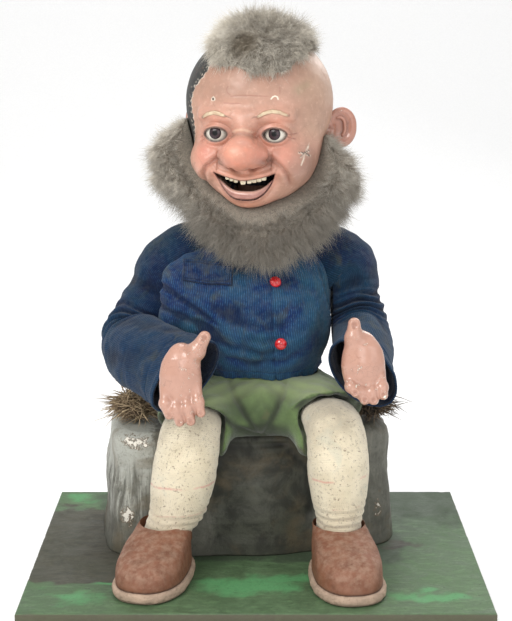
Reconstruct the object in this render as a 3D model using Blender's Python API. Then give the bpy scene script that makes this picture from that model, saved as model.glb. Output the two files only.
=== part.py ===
"""An electric automaton: a bearded gnome who sits on a rock on a painted board.

Inside the torso a motor turns a camshaft through a pinion and a wheel. The cams lift two arm levers,
swing the head lever and push a rod up the hollow head shaft, which opens the jaw. The eyes swing
together on a link. Metres, +Z up, the figure looks along -Y, and the origin is the middle of the
board's underside.
"""

import math

import bmesh
import bpy
import numpy as np
from mathutils import Matrix, Vector

# Clearances
SEAT = 0.0003  # between two pieces that touch
RUN = 0.0003  # radial, between a shaft and its bearing
CLOTH_GAP = 0.0006  # between a garment and what it covers
HAIR_GAP = 0.00125  # between the fur and the head

# Board
BOARD_WIDTH = 0.497
BOARD_DEPTH = 0.384
BOARD_THICKNESS = 0.014

# Rock seat, a moulded shell that is open underneath
ROCK_X, ROCK_Y = -0.011, 0.069
ROCK_HALF_WIDTH = 0.166
ROCK_HALF_DEPTH = 0.090
ROCK_HEIGHT = 0.140
ROCK_WALL = 0.006
ROCK_EDGE = 0.016
ROCK_TURN = math.radians(7.0)
GROMMET_RISE = 0.026
GROMMET_BORE = 0.0042
GROMMET_BODY = 0.0065
GROMMET_FLANGE = 0.0095
GROMMET_LIP = 0.002

# Heights above the seat, which is the top of the rock
SEAT_Z = BOARD_THICKNESS + SEAT + ROCK_HEIGHT
BLOCK_HEIGHT = 0.060
BLOCK_HALF_WIDTH, BLOCK_HALF_DEPTH, BLOCK_Y = 0.062, 0.058, 0.064
HEM_RISE = 0.064
SHOULDER_RISE = 0.171
COLLAR_RISE = 0.208
HEAD_RISE = 0.351

# Torso
FIGURE_X = 0.003
NECK_Y = 0.060
SHOULDER_Y = 0.070
TORSO_ROUNDNESS = 2.6
TORSO_FOLD_Y = 0.050
FRONT_LIMIT_Y = 0.055
FOLD_HEIGHT = 0.0016
HEM_FLARE = 0.0040
JACKET_THICKNESS = 0.0028
SHELL_THICKNESS = 0.0035
SHELL_INSET = 0.0012
ARMHOLE_RADIUS = 0.0125
NECK_OPENING = 0.020
BACK_HEM_DROP = 0.014

# Frame of steel cheeks on a wooden block
CHEEK_HALF_SPAN = 0.046
CHEEK_Y = 0.068
DRIVE_Y = 0.090
CHEEK_THICKNESS = 0.003
CHEEK_FOOT = 0.014
CHEEK_TOP = 0.187
CHEEK_HALF_FOOT = 0.030
CHEEK_HALF_MIDDLE = 0.035
CHEEK_HALF_TOP = 0.020
BAR_HALF_DEPTH = 0.011
BAR_THICKNESS = 0.006
BAR_RISE = 0.180
BUSH_WALL = 0.002
BUSH_FLANGE = 0.0025

# Drive
MOTOR_RADIUS = 0.018
MOTOR_HALF_LENGTH = 0.030
MOTOR_LIFT = 0.002
CLAMP_THICKNESS = 0.002
CLAMP_WIDTH = 0.016
CLAMP_FOOT = 0.011
GEAR_MODULE = 0.002
PINION_TEETH = 6
WHEEL_TEETH = 30
GEAR_WIDTH = 0.006
GEAR_OFFSET = 0.038
TOOTH_SHARE = 0.43
MOTOR_SHAFT_RADIUS = 0.0025
CAMSHAFT_RADIUS = 0.004
CAM_WIDTH = 0.006
ARM_CAM_BASE, ARM_CAM_LOBE = 0.009, 0.016
JAW_CAM_BASE, JAW_CAM_LOBE = 0.0125, 0.0165
HEAD_CAM_RADIUS = 0.017
HEAD_CAM_TILT = 0.0025
LEFT_CAM_X, RIGHT_CAM_X = -0.034, 0.030
HEAD_CAM_X = 0.0135
ROCKER_PIN_Y, ROCKER_RISE = 0.046, 0.1392
ROCKER_PIN_RADIUS = 0.002
ROCKER_THICKNESS = 0.003
ROCKER_HALF_WIDTH = 0.0035
ROCKER_END_Y = 0.094

# Arms: one bent steel rod each, from the follower lever out through the shoulder to the hand
ROD_RADIUS = 0.004
LEVER_THICKNESS = 0.005
LEVER_HUB = 0.0075
ROLLER_RADIUS = 0.005
ROLLER_GAP = 0.0006
SLEEVE_PLANE = 0.0822
SLEEVE_THICKNESS = 0.0025
SLEEVE_STEP = 0.004
CUFF_TILT = {"left": 0.42, "right": -0.34}
WRIST_SOCKET = 0.012

# Hands
FINGER_RADIUS = 0.0062
FINGER_PITCH = 0.0100
THUMB_RADIUS = 0.0082
WRIST_RADIUS = 0.0122

# Legs and shoes
LEG_GAP = 0.0028
THIGH_HALF_WIDTH = 0.041
SHORTS_THICKNESS = 0.0025
SHOE_LENGTH = 0.134
SHOE_HALF_WIDTH = 0.040
SHOE_HEIGHT = 0.0435
SOLE_THICKNESS = 0.011
SOLE_RIM = 0.003
HEEL_BEHIND_ANKLE = 0.031
LEFT_TOE_OUT = math.radians(-15.0)
RIGHT_TOE_OUT = math.radians(9.0)

# Head
HEAD_TURN = math.radians(-11.0)
HEAD_WALL = 0.005
HEAD_WALL_LEAST = 0.0025
MASK_SEAM = 94.0
HEAD_COLUMNS = 38
SEAM_GAP = 0.35
EYE_CLEARANCE = 0.0005
EYE_HALF_WIDTH, EYE_HALF_HEIGHT = 0.0125, 0.0076
EYE_X, EYE_Y, EYE_Z = 0.0325, -0.063, -0.016
EYE_RADIUS = 0.016
EYE_PIN_RADIUS = 0.0015
EYE_PIN_REACH = 0.0205
EYE_ARM = 0.024
EYE_PEG_RADIUS = 0.0012
LINK_THICKNESS = 0.0016
LINK_HALF_WIDTH = 0.003
EYE_FRAME_SHEET = 0.0016
EYE_FRAME_HALF = 0.0360
EYE_FRAME_DEPTH = 0.0405
MOUTH_HALF_WIDTH = 0.0335
MOUTH_TOP, MOUTH_BOTTOM, MOUTH_CORNER = -0.0655, -0.0875, -0.0580
TEETH_HEIGHT = 0.0048
TEETH_HALF_WIDTH = 0.0225
TOOTH_COUNT = 9
TEETH_SET_BACK = 0.0026
LIP_HALF_WIDTH, LIP_HEIGHT, LIP_CLEARANCE = 0.026, 0.009, 0.0006
JAW_PIVOT_Y, JAW_PIVOT_Z = -0.015, -0.062
JAW_PIN_RADIUS = 0.002
JAW_ARM_X = 0.020
JAW_RANGE = 4.5
TURN_RANGE = 12.0
EYE_RANGE = 12.0
LIFT_RANGE = 25.0
JAW_ROD_RADIUS = 0.0012
BLOCK_BOTTOM, BLOCK_TOP = -0.0780, -0.0668
SHAFT_RADIUS = 0.005
SHAFT_BORE = 0.0018
SHAFT_FLANGE = 0.012
SHAFT_FLANGE_THICKNESS = 0.003
SHAFT_FOOT_RISE = 0.1465
SHAFT_STEM = 0.0003  # how far the head shaft stands above its block, under the jaw's cross bar
HEAD_LEVER_X, HEAD_LEVER_Y = 0.0225, 0.012
NECK_RADIUS = 0.024
NECK_WALL = 0.0038
NECK_CLEARANCE = 0.003
EAR_HEIGHT, EAR_REACH = 0.042, 0.036
EAR_X, EAR_Y, EAR_Z = 0.094, 0.016, -0.010
EAR_SPLAY = math.radians(24.0)
WIG_SIDE, WIG_FRONT, WIG_HEIGHT = 42.0, 50.0, 0.0165
# Angle from straight down, radius of the pad, and where it starts and ends from the face's middle
BEARD_OUTLINE = ((-97, 0.108, 72, 88), (-75, 0.135, 73, 92), (-58, 0.147, 72, 98), (-40, 0.155, 68, 92),
                 (-20, 0.168, 60, 80), (0, 0.178, 57, 71), (12, 0.184, 57, 72), (25, 0.170, 61, 82),
                 (45, 0.158, 69, 94), (60, 0.146, 72, 98), (75, 0.134, 73, 92), (97, 0.112, 72, 88))

# Fittings on the jacket
BUTTON_RADIUS = 0.0065
BUTTON_HEIGHT = 0.0055
UPPER_BUTTON = (0.018, 0.170)
LOWER_BUTTON = (0.0245, 0.105)
FLAP_CENTRE_X, FLAP_RISE = -0.047, 0.176
FLAP_HALF_WIDTH, FLAP_HEIGHT, FLAP_THICKNESS = 0.022, 0.019, 0.0022
FLAP_STAND_OFF = 0.0017
BUTTON_STAND_OFF = 0.0010

# Straw
STRAW_SPIKE = 0.30
LEFT_STRAW = (-0.139, 0.036, 0.010)
RIGHT_STRAW = (0.134, 0.042, 0.012)

# Worked out from the sizes above
HEM_Z = SEAT_Z + HEM_RISE
SHOULDER_Z = SEAT_Z + SHOULDER_RISE
HEAD_Z = SEAT_Z + HEAD_RISE
BLOCK_TOP_Z = SEAT_Z + SEAT + BLOCK_HEIGHT
MOTOR_Z = BLOCK_TOP_Z + MOTOR_LIFT + MOTOR_RADIUS
PINION_PITCH = GEAR_MODULE * PINION_TEETH / 2
WHEEL_PITCH = GEAR_MODULE * WHEEL_TEETH / 2
CAMSHAFT_Z = MOTOR_Z + PINION_PITCH + WHEEL_PITCH
CHEEK_X = CHEEK_HALF_SPAN + SEAT
SHAFT_FOOT_Z = SEAT_Z + SHAFT_FOOT_RISE
ROCKER_Z = SEAT_Z + ROCKER_RISE
BAR_Z = SEAT_Z + BAR_RISE
JAW_TAIL = -JAW_PIVOT_Y


def clear_scene():
    """Remove what the start-up scene holds."""
    for existing in list(bpy.data.objects):
        bpy.data.objects.remove(existing, do_unlink=True)


def finish_of(name, colour, roughness, metallic=0.0):
    """One plain material."""
    finish = bpy.data.materials.new(name)
    finish.use_nodes = True
    shader = finish.node_tree.nodes["Principled BSDF"]
    shader.inputs["Base Color"].default_value = (*colour, 1.0)
    shader.inputs["Roughness"].default_value = roughness
    shader.inputs["Metallic"].default_value = metallic
    finish.diffuse_color = (*colour, 1.0)
    return finish


def tidy(mesh):
    """Make the normals face outward and close the fans."""
    work = bmesh.new()
    work.from_mesh(mesh)
    bmesh.ops.dissolve_degenerate(work, dist=1e-6, edges=work.edges)
    bmesh.ops.recalc_face_normals(work, faces=work.faces)
    if work.calc_volume(signed=True) < 0.0:
        bmesh.ops.reverse_faces(work, faces=work.faces)
    work.to_mesh(mesh)
    work.free()


def place(name, shape, finish=None, pivot=(0.0, 0.0, 0.0)):
    """Add points and faces as one named object whose origin is its pivot."""
    points, faces = shape
    centre = np.array(pivot, dtype=float)
    mesh = bpy.data.meshes.new(name)
    mesh.from_pydata((np.array(points) - centre).tolist(), [], faces)
    tidy(mesh)
    if finish is not None:
        mesh.materials.append(finish)
    piece = bpy.data.objects.new(name, mesh)
    piece.location = centre.tolist()
    bpy.context.scene.collection.objects.link(piece)
    return piece


def combine(piece, tools, operation):
    """Join or cut a piece with each tool and keep only the piece."""
    keep = list(piece.data.materials)
    for tool in tools:
        step = piece.modifiers.new("combine", "BOOLEAN")
        step.operation = operation
        step.solver = "EXACT"
        step.object = tool
        bpy.context.view_layer.update()
        graph = bpy.context.evaluated_depsgraph_get()
        result = bpy.data.meshes.new_from_object(piece.evaluated_get(graph))
        piece.modifiers.clear()
        old = piece.data
        piece.data = result
        bpy.data.meshes.remove(old)
        bpy.data.objects.remove(tool, do_unlink=True)
    piece.data.materials.clear()
    for finish in keep:
        piece.data.materials.append(finish)
    for face in piece.data.polygons:
        face.material_index = 0
    work = bmesh.new()
    work.from_mesh(piece.data)
    bmesh.ops.remove_doubles(work, verts=work.verts, dist=1e-6)
    bmesh.ops.triangulate(work, faces=[face for face in work.faces if len(face.verts) > 4])
    work.to_mesh(piece.data)
    work.free()
    return piece


def skin(rings, loop=False):
    """Join rings of points with quads, then close the two ends with fans or join them up."""
    rings = np.asarray(rings, dtype=float)
    rows, count = rings.shape[:2]
    points = rings.reshape(-1, 3).tolist()
    faces = []
    for row in range(rows if loop else rows - 1):
        above = (row + 1) % rows
        for step in range(count):
            ahead = (step + 1) % count
            faces.append((row * count + step, row * count + ahead, above * count + ahead, above * count + step))
    if not loop:
        for row, turned in ((0, True), (rows - 1, False)):
            centre = len(points)
            points.append(rings[row].mean(axis=0).tolist())
            for step in range(count):
                one, two = row * count + step, row * count + (step + 1) % count
                faces.append((two, one, centre) if turned else (one, two, centre))
    return points, faces


def box(low, high):
    """A box between two corners."""
    (x0, y0, z0), (x1, y1, z1) = low, high
    ring = [(x0, y0), (x1, y0), (x1, y1), (x0, y1)]
    points = [(x, y, z0) for x, y in ring] + [(x, y, z1) for x, y in ring]
    sides = [(i, (i + 1) % 4, (i + 1) % 4 + 4, i + 4) for i in range(4)]
    return points, [(3, 2, 1, 0), (4, 5, 6, 7)] + sides


def prism(outline, low, high, axis="z"):
    """A flat outline pushed along an axis; the outline's two numbers are the other two axes in order."""
    count = len(outline)
    order = {"x": lambda a, b, c: (c, a, b), "y": lambda a, b, c: (a, c, b), "z": lambda a, b, c: (a, b, c)}
    put = order[axis]
    points = [put(a, b, low) for a, b in outline] + [put(a, b, high) for a, b in outline]
    sides = [(i, (i + 1) % count, (i + 1) % count + count, i + count) for i in range(count)]
    return points, [tuple(reversed(range(count))), tuple(range(count, 2 * count))] + sides


def frame_along(direction, side=None):
    """Two unit vectors across a direction."""
    direction = direction / np.linalg.norm(direction)
    if side is None:
        side = np.array((1.0, 0.0, 0.0)) if abs(direction[0]) < 0.9 else np.array((0.0, 1.0, 0.0))
    side = side - direction * side.dot(direction)
    side = side / np.linalg.norm(side)
    return side, np.cross(direction, side)


def rod(start, end, radius, count=16, radius_end=None):
    """A round bar between two points."""
    start, end = np.array(start, dtype=float), np.array(end, dtype=float)
    side, other = frame_along(end - start)
    turn = np.linspace(0.0, 2.0 * math.pi, count, endpoint=False)
    circle = np.cos(turn)[:, None] * side + np.sin(turn)[:, None] * other
    last = radius if radius_end is None else radius_end
    return skin([start + circle * radius, end + circle * last])


def spun(profile, centre, axis, count=24, loop=False):
    """A profile of (radius, height) pairs turned about an axis through a point."""
    axis = np.array(axis, dtype=float)
    side, other = frame_along(axis)
    turn = np.linspace(0.0, 2.0 * math.pi, count, endpoint=False)
    circle = np.cos(turn)[:, None] * side + np.sin(turn)[:, None] * other
    middle = np.array(centre, dtype=float)
    return skin([middle + axis * height + circle * radius for radius, height in profile], loop)


def spread(path, extra=1):
    """Put more points on a path with a Catmull-Rom curve; each row may carry radii after x, y, z."""
    path = np.array(path, dtype=float)
    first, last = 2 * path[0] - path[1], 2 * path[-1] - path[-2]
    full = np.vstack([first, path, last])
    rows = []
    for index in range(1, len(full) - 2):
        a, b, c, d = full[index - 1:index + 3]
        for part in range(extra + 1):
            t = part / (extra + 1)
            rows.append(0.5 * (2 * b + (c - a) * t + (2 * a - 5 * b + 4 * c - d) * t * t
                               + (3 * b - a - 3 * c + d) * t ** 3))
    rows.append(path[-1])
    return np.array(rows)


def swept_rings(path, count, side, grow=0.0, start_way=None):
    """Rings along a path of (x, y, z, half width, half height) rows, kept square to the path."""
    path = np.array(path, dtype=float)
    centres, sizes = path[:, :3], path[:, 3:]
    if sizes.shape[1] == 1:
        sizes = np.repeat(sizes, 2, axis=1)
    ways = np.gradient(centres, axis=0)
    if start_way is not None:
        ways[0] = start_way
    across = np.array(side, dtype=float)
    turn = np.linspace(0.0, 2.0 * math.pi, count, endpoint=False)
    rings = []
    for centre, way, size in zip(centres, ways, sizes):
        way = way / np.linalg.norm(way)
        across, up = frame_along(way, across)
        rings.append(centre + np.cos(turn)[:, None] * across * (size[0] + grow)
                     + np.sin(turn)[:, None] * up * (size[1] + grow))
    return np.array(rings)


def domed(path, count, side, grow=0.0):
    """A swept bar whose two ends are rounded."""
    path = np.array(path, dtype=float)
    head, tail = path[0].copy(), path[-1].copy()
    way_in = path[0][:3] - path[1][:3]
    way_out = path[-1][:3] - path[-2][:3]
    head[:3] += way_in / np.linalg.norm(way_in) * path[0][3] * 0.75
    tail[:3] += way_out / np.linalg.norm(way_out) * path[-1][3] * 0.75
    head[3:] *= 0.62
    tail[3:] *= 0.62
    return skin(swept_rings(np.vstack([head, path, tail]), count, side, grow))


def push_out(grid, distance):
    """Move a grid of closed rings along its own normals."""
    grid = np.asarray(grid, dtype=float)
    along = np.roll(grid, -1, axis=1) - np.roll(grid, 1, axis=1)
    upward = np.gradient(grid, axis=0)
    normal = np.cross(along, upward)
    normal /= np.linalg.norm(normal, axis=2, keepdims=True)
    if np.ndim(distance) == 2:
        distance = np.asarray(distance)[:, :, None]
    return grid + normal * distance


def rounded_ring(centre, half_x, half_y, height, power, turn):
    """A superellipse ring in a level plane."""
    cosine, sine = np.cos(turn), np.sin(turn)
    x = centre[0] + half_x * np.sign(cosine) * np.abs(cosine) ** (2.0 / power)
    y = centre[1] + half_y * np.sign(sine) * np.abs(sine) ** (2.0 / power)
    return np.stack([x, y, np.full_like(x, height)], axis=1)


# Head form

def ball_distance(points, centre, sizes):
    """Distance to an ellipsoid, close to exact near its skin."""
    local = (points - np.array(centre)) / np.array(sizes)
    outer = np.linalg.norm(local, axis=-1)
    slope = np.linalg.norm(local / np.array(sizes), axis=-1) + 1e-9
    return outer * (outer - 1.0) / slope


def bar_distance(points, start, end, radius):
    """Distance to a round bar with rounded ends."""
    start, end = np.array(start), np.array(end)
    way = end - start
    share = np.clip((points - start) @ way / way.dot(way), 0.0, 1.0)
    return np.linalg.norm(points - start - share[..., None] * way, axis=-1) - radius


def melt(one, two, width):
    """Smooth union of two distances."""
    share = np.clip(0.5 + 0.5 * (two - one) / width, 0.0, 1.0)
    return two + (one - two) * share - width * share * (1.0 - share)


def head_distance(points):
    """The head in its own frame: skull, jowls, cheeks, nose, brows, lids, lips and chin."""
    d = ball_distance(points, (0.0, 0.002, 0.014), (0.0835, 0.0850, 0.0810))
    d = melt(d, ball_distance(points, (0.0, -0.018, -0.042), (0.0660, 0.0640, 0.0500)), 0.022)
    d = melt(d, ball_distance(points, (0.0, 0.018, -0.046), (0.0520, 0.0520, 0.0440)), 0.020)
    d = melt(d, ball_distance(points, (0.0, -0.046, -0.066), (0.0450, 0.0345, 0.0270)), 0.012)
    d = melt(d, ball_distance(points, (0.0, -0.061, -0.080), (0.0240, 0.0210, 0.0165)), 0.012)
    for side in (-1.0, 1.0):
        d = melt(d, ball_distance(points, (side * 0.043, -0.060, -0.045), (0.0210, 0.0215, 0.0200)), 0.016)
        d = melt(d, bar_distance(points, (side * 0.012, -0.083, 0.004), (side * 0.048, -0.069, 0.004), 0.0062), 0.010)
        d = melt(d, ball_distance(points, (side * EYE_X, EYE_Y, EYE_Z), (0.0183, 0.0183, 0.0178)), 0.005)
        d = melt(d, ball_distance(points, (side * 0.0205, -0.092, -0.040), (0.0085, 0.0095, 0.0085)), 0.006)
        d = melt(d, bar_distance(points, (0.0, -0.0865, -0.0610), (side * 0.034, -0.0760, -0.0530), 0.0046), 0.008)
    d = melt(d, bar_distance(points, (0.0, -0.080, -0.002), (0.0, -0.094, -0.024), 0.0105), 0.010)
    d = melt(d, ball_distance(points, (0.0, -0.0990, -0.0350), (0.0235, 0.0215, 0.0185)), 0.007)
    return d


def head_radius(ways, level=0.0):
    """Outermost radius along each unit vector from the head's centre at which the distance is a level."""
    steps = np.linspace(0.020, 0.135, 70)
    found = np.full(len(ways), steps[0])
    values = np.stack([head_distance(ways * step) - level for step in steps], axis=1)
    inside = values < 0.0
    last = inside.shape[1] - 1 - np.argmax(inside[:, ::-1], axis=1)
    last = np.minimum(last, len(steps) - 2)
    rows = np.arange(len(ways))
    one, two = values[rows, last], values[rows, last + 1]
    share = np.where(two > one, -one / (two - one + 1e-12), 0.0)
    found = steps[last] + (steps[1] - steps[0]) * np.clip(share, 0.0, 1.0)
    return found


def face_ways(angles, count):
    """Unit vectors on rings about the -Y axis, one row for each angle from it."""
    turn = np.linspace(0.0, 2.0 * math.pi, count, endpoint=False)
    rows = []
    for angle in angles:
        rows.append(np.stack([math.sin(angle) * np.cos(turn), np.full_like(turn, -math.cos(angle)),
                              math.sin(angle) * np.sin(turn)], axis=1))
    return np.array(rows)


def head_grid(angles, count, level=0.0, add=0.0):
    """Points of the head's surface on rings about the -Y axis."""
    ways = face_ways(angles, count)
    radius = head_radius(ways.reshape(-1, 3), level).reshape(ways.shape[:2])
    return ways * (radius + add)[:, :, None]


def to_world(points):
    """Head frame to world."""
    points = np.asarray(points, dtype=float)
    cosine, sine = math.cos(HEAD_TURN), math.sin(HEAD_TURN)
    x = points[..., 0] * cosine - points[..., 1] * sine + FIGURE_X
    y = points[..., 0] * sine + points[..., 1] * cosine + NECK_Y
    return np.stack([x, y, points[..., 2] + HEAD_Z], axis=-1)


def turned(shape):
    """A shape given in the head's frame, put in the world."""
    points, faces = shape
    return to_world(points).tolist(), faces


HEAD_PIVOT = (FIGURE_X, NECK_Y, HEAD_Z)


# Base

def base_board():
    """The painted board."""
    return place("base_board", box((-BOARD_WIDTH / 2, -BOARD_DEPTH / 2, 0.0),
                                   (BOARD_WIDTH / 2, BOARD_DEPTH / 2, BOARD_THICKNESS)),
                 finish_of("board_paint", (0.10, 0.22, 0.10), 0.65))


def rock_ring(height, inset, grow, turn):
    """One level ring of the rock, with its lumps and the bulge between the legs."""
    rise = height / ROCK_HEIGHT
    half_x = ROCK_HALF_WIDTH - inset + grow
    half_y = ROCK_HALF_DEPTH - inset + grow
    ring = rounded_ring((0.0, 0.0), half_x, half_y, height, 5.0, turn)
    lump = 0.0022 * np.sin(3.0 * turn + 9.0 * rise) + 0.0014 * np.sin(7.0 * turn + 1.0 - 5.0 * rise)
    lump = lump * (1.0 - np.clip((rise - 0.86) / 0.14, 0.0, 1.0)) + 0.004 * (1.0 - rise) ** 2
    radius = np.hypot(ring[:, 0], ring[:, 1])
    ring[:, :2] *= (1.0 + lump / radius)[:, None]
    bulge = np.exp(-((ring[:, 0] - 0.016) / 0.026) ** 2) * np.clip(-ring[:, 1] / 0.08, 0.0, 1.0)
    ring[:, 1] -= 0.012 * bulge * math.sin(math.pi * min(1.0, 0.25 + 0.75 * rise))
    cosine, sine = math.cos(ROCK_TURN), math.sin(ROCK_TURN)
    x = ring[:, 0] * cosine - ring[:, 1] * sine + ROCK_X
    y = ring[:, 0] * sine + ring[:, 1] * cosine + ROCK_Y
    return np.stack([x, y, ring[:, 2] + BOARD_THICKNESS + SEAT], axis=1)


def rock_levels():
    """Height and inset of each ring of the rock, from the board up and over the edge."""
    levels = [(0.0, 0.0), (0.022, 0.002), (0.050, 0.003), (0.080, 0.004), (0.105, 0.005)]
    for share in (0.0, 0.35, 0.7, 1.0):
        bend = share * math.pi / 2
        levels.append((ROCK_HEIGHT - ROCK_EDGE + ROCK_EDGE * math.sin(bend),
                       0.006 + ROCK_EDGE * (1.0 - math.cos(bend))))
    return levels


def rock_seat():
    """The rock, a moulded shell open underneath with a hole for the mains cord."""
    turn = np.linspace(0.0, 2.0 * math.pi, 28, endpoint=False)
    outer = [rock_ring(height, inset, 0.0, turn) for height, inset in rock_levels()]
    outer += [rock_ring(ROCK_HEIGHT, 0.045, 0.0, turn), rock_ring(ROCK_HEIGHT, 0.070, 0.0, turn)]
    inner = []
    for height, inset in rock_levels()[:-1]:
        level = min(height, ROCK_HEIGHT - ROCK_WALL - 0.002)
        inner.append(rock_ring(level, inset, -ROCK_WALL, turn))
    inner[0][:, 2] = BOARD_THICKNESS + SEAT
    inner[-1] = rock_ring(ROCK_HEIGHT - ROCK_WALL, 0.030, -ROCK_WALL, turn)
    inner.append(rock_ring(ROCK_HEIGHT - ROCK_WALL, 0.060, -ROCK_WALL, turn))
    rock = place("rock_seat", skin(inner[::-1] + outer), finish_of("rock_paint", (0.33, 0.35, 0.30), 0.7))
    x, z = ROCK_X + 0.050, BOARD_THICKNESS + GROMMET_RISE
    cutter = place("cutter", rod((x, ROCK_Y + 0.05, z), (x, ROCK_Y + 0.14, z), GROMMET_BODY + SEAT, 20))
    combine(rock, [cutter], "DIFFERENCE")
    back = ROCK_Y + ROCK_HALF_DEPTH + 0.012
    bush = [(GROMMET_BORE, -0.020), (GROMMET_BODY, -0.020), (GROMMET_BODY, 0.0), (GROMMET_FLANGE, 0.0),
            (GROMMET_FLANGE, GROMMET_LIP), (GROMMET_BORE, GROMMET_LIP)]
    place("cord_grommet", spun(bush, (x, back, z), (0.0, 1.0, 0.0), 16, True),
          finish_of("grommet_rubber", (0.02, 0.02, 0.02), 0.6))


def straw(name, centre, sizes, seed):
    """A tuft of straw as one prickly lump with a flat foot on the rock."""
    work = bmesh.new()
    bmesh.ops.create_icosphere(work, subdivisions=2, radius=1.0)
    work.verts.ensure_lookup_table()
    rng = np.random.default_rng(seed)
    floor = SEAT_Z + SEAT
    points = []
    for vert in work.verts:
        spike = 1.0 - STRAW_SPIKE * float(rng.random())
        x, y, z = (centre[axis] + vert.co[axis] * sizes[axis] * spike for axis in range(3))
        z += SEAT_Z
        points.append((x, y, z))
    faces = [tuple(vert.index for vert in face.verts) for face in work.faces]
    work.free()
    piece = place(name, (points, faces), finish_of(name + "_straw", (0.22, 0.14, 0.07), 0.8))
    low = place("cutter", box((-1.0, -1.0, floor - 0.05), (1.0, 1.0, floor)))
    return combine(piece, [low], "DIFFERENCE")


# Legs

def stocking_path(side):
    """Rows of x, y, z, half width and half height from inside the shorts to inside the shoe."""
    s = SEAT_Z
    if side == "left":
        rows = [(-0.0665, -0.0240, s + 0.0215, 0.0280, 0.0195), (-0.0695, -0.0440, s + 0.0190, 0.0315, 0.0235),
                (-0.0725, -0.0600, s + 0.0085, 0.0335, 0.0280), (-0.0755, -0.0690, s - 0.0100, 0.0345, 0.0320),
                (-0.0790, -0.0710, s - 0.0300, 0.0350, 0.0335), (-0.0850, -0.0715, s - 0.0600, 0.0320, 0.0310),
                (-0.0935, -0.0720, s - 0.0830, 0.0260, 0.0265), (-0.0985, -0.0710, s - 0.0950, 0.0240, 0.0265),
                (-0.0990, -0.0705, s - 0.1040, 0.0240, 0.0265)]
    else:
        rows = [(0.0765, -0.0220, s + 0.0245, 0.0280, 0.0195), (0.0820, -0.0430, s + 0.0235, 0.0310, 0.0240),
                (0.0865, -0.0600, s + 0.0150, 0.0320, 0.0285), (0.0890, -0.0700, s - 0.0040, 0.0335, 0.0315),
                (0.0900, -0.0730, s - 0.0260, 0.0335, 0.0325), (0.0905, -0.0755, s - 0.0550, 0.0300, 0.0300),
                (0.0905, -0.0760, s - 0.0770, 0.0250, 0.0260), (0.0905, -0.0755, s - 0.0930, 0.0240, 0.0265),
                (0.0905, -0.0750, s - 0.1040, 0.0240, 0.0265)]
    return np.array(rows)


def thigh_path(side):
    """Rows of the leg of the shorts, from the hip to the opening above the knee."""
    s = SEAT_Z
    if side == "left":
        rows = [(-0.0360, 0.0620, s + 0.0305, 0.0340, 0.0290), (-0.0500, 0.0300, s + 0.0305, 0.0400, 0.0295),
                (-0.0600, 0.0000, s + 0.0290, THIGH_HALF_WIDTH, 0.0280),
                (-0.0665, -0.0240, s + 0.0262, 0.0405, 0.0255), (-0.0692, -0.0420, s + 0.0215, 0.0395, 0.0285)]
    else:
        rows = [(0.0400, 0.0620, s + 0.0305, 0.0340, 0.0290), (0.0550, 0.0300, s + 0.0315, 0.0400, 0.0300),
                (0.0660, 0.0000, s + 0.0305, THIGH_HALF_WIDTH, 0.0295),
                (0.0762, -0.0220, s + 0.0290, 0.0408, 0.0280), (0.0815, -0.0410, s + 0.0258, 0.0400, 0.0295)]
    return np.array(rows)


def lengthened(path, start, end):
    """The same path with its two ends moved on along their own directions."""
    path = path.copy()
    way_in = path[0, :3] - path[1, :3]
    way_out = path[-1, :3] - path[-2, :3]
    path[0, :3] += way_in / np.linalg.norm(way_in) * start
    path[-1, :3] += way_out / np.linalg.norm(way_out) * end
    return path


def stocking(side, finish):
    """One stuffed stocking."""
    return place("stocking_" + side, skin(swept_rings(stocking_path(side), 16, (1, 0, 0))), finish)


def stocking_space(side, clearance, finish=None):
    """The stocking grown by a clearance, as a cutter."""
    path = lengthened(stocking_path(side), clearance, clearance)
    return place("cutter", skin(swept_rings(path, 16, (1, 0, 0), clearance)), finish)


def hip_block():
    """The wooden block that carries the steel frame and sits on the rock."""
    turn = np.linspace(0.0, 2.0 * math.pi, 24, endpoint=False)
    rings = []
    for height, less in ((0.0, 0.002), (0.002, 0.0), (BLOCK_HEIGHT - 0.001, 0.0), (BLOCK_HEIGHT, 0.001)):
        rings.append(rounded_ring((FIGURE_X, BLOCK_Y), BLOCK_HALF_WIDTH - less, BLOCK_HALF_DEPTH - less,
                                  SEAT_Z + SEAT + height, TORSO_ROUNDNESS, turn))
    return place("hip_block", skin(rings), finish_of("block_wood", (0.45, 0.31, 0.18), 0.7))


def shorts():
    """The felt shorts: a ring round the block and two stuffed legs, recessed for the stockings."""
    turn = np.linspace(0.0, 2.0 * math.pi, 24, endpoint=False)
    grow = CLOTH_GAP + SHORTS_THICKNESS
    rings = []
    for height, less in ((0.0, 0.0012), (0.006, 0.0), (0.040, 0.0), (BLOCK_HEIGHT - 0.0008, 0.0006)):
        rings.append(rounded_ring((FIGURE_X, BLOCK_Y), BLOCK_HALF_WIDTH + grow - less,
                                  BLOCK_HALF_DEPTH + grow - less, SEAT_Z + SEAT + height, TORSO_ROUNDNESS, turn))
    piece = place("shorts", skin(rings), finish_of("shorts_felt", (0.13, 0.25, 0.07), 0.9))
    legs = [place("leg", skin(swept_rings(thigh_path(side), 18, (1, 0, 0)))) for side in ("left", "right")]
    combine(piece, legs, "UNION")
    rings = []
    for height in (-0.02, BLOCK_HEIGHT + 0.03):
        rings.append(rounded_ring((FIGURE_X, BLOCK_Y), BLOCK_HALF_WIDTH + CLOTH_GAP, BLOCK_HALF_DEPTH + CLOTH_GAP,
                                  SEAT_Z + SEAT + height, TORSO_ROUNDNESS, turn))
    return combine(piece, [place("cutter", skin(rings)), stocking_space("left", LEG_GAP),
                           stocking_space("right", LEG_GAP)], "DIFFERENCE")


def shoe_frame(side):
    """Ankle position and the toe's direction of one shoe."""
    x, y = stocking_path(side)[-1][:2]
    angle = LEFT_TOE_OUT if side == "left" else RIGHT_TOE_OUT
    return x, y, math.sin(angle), -math.cos(angle)


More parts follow.
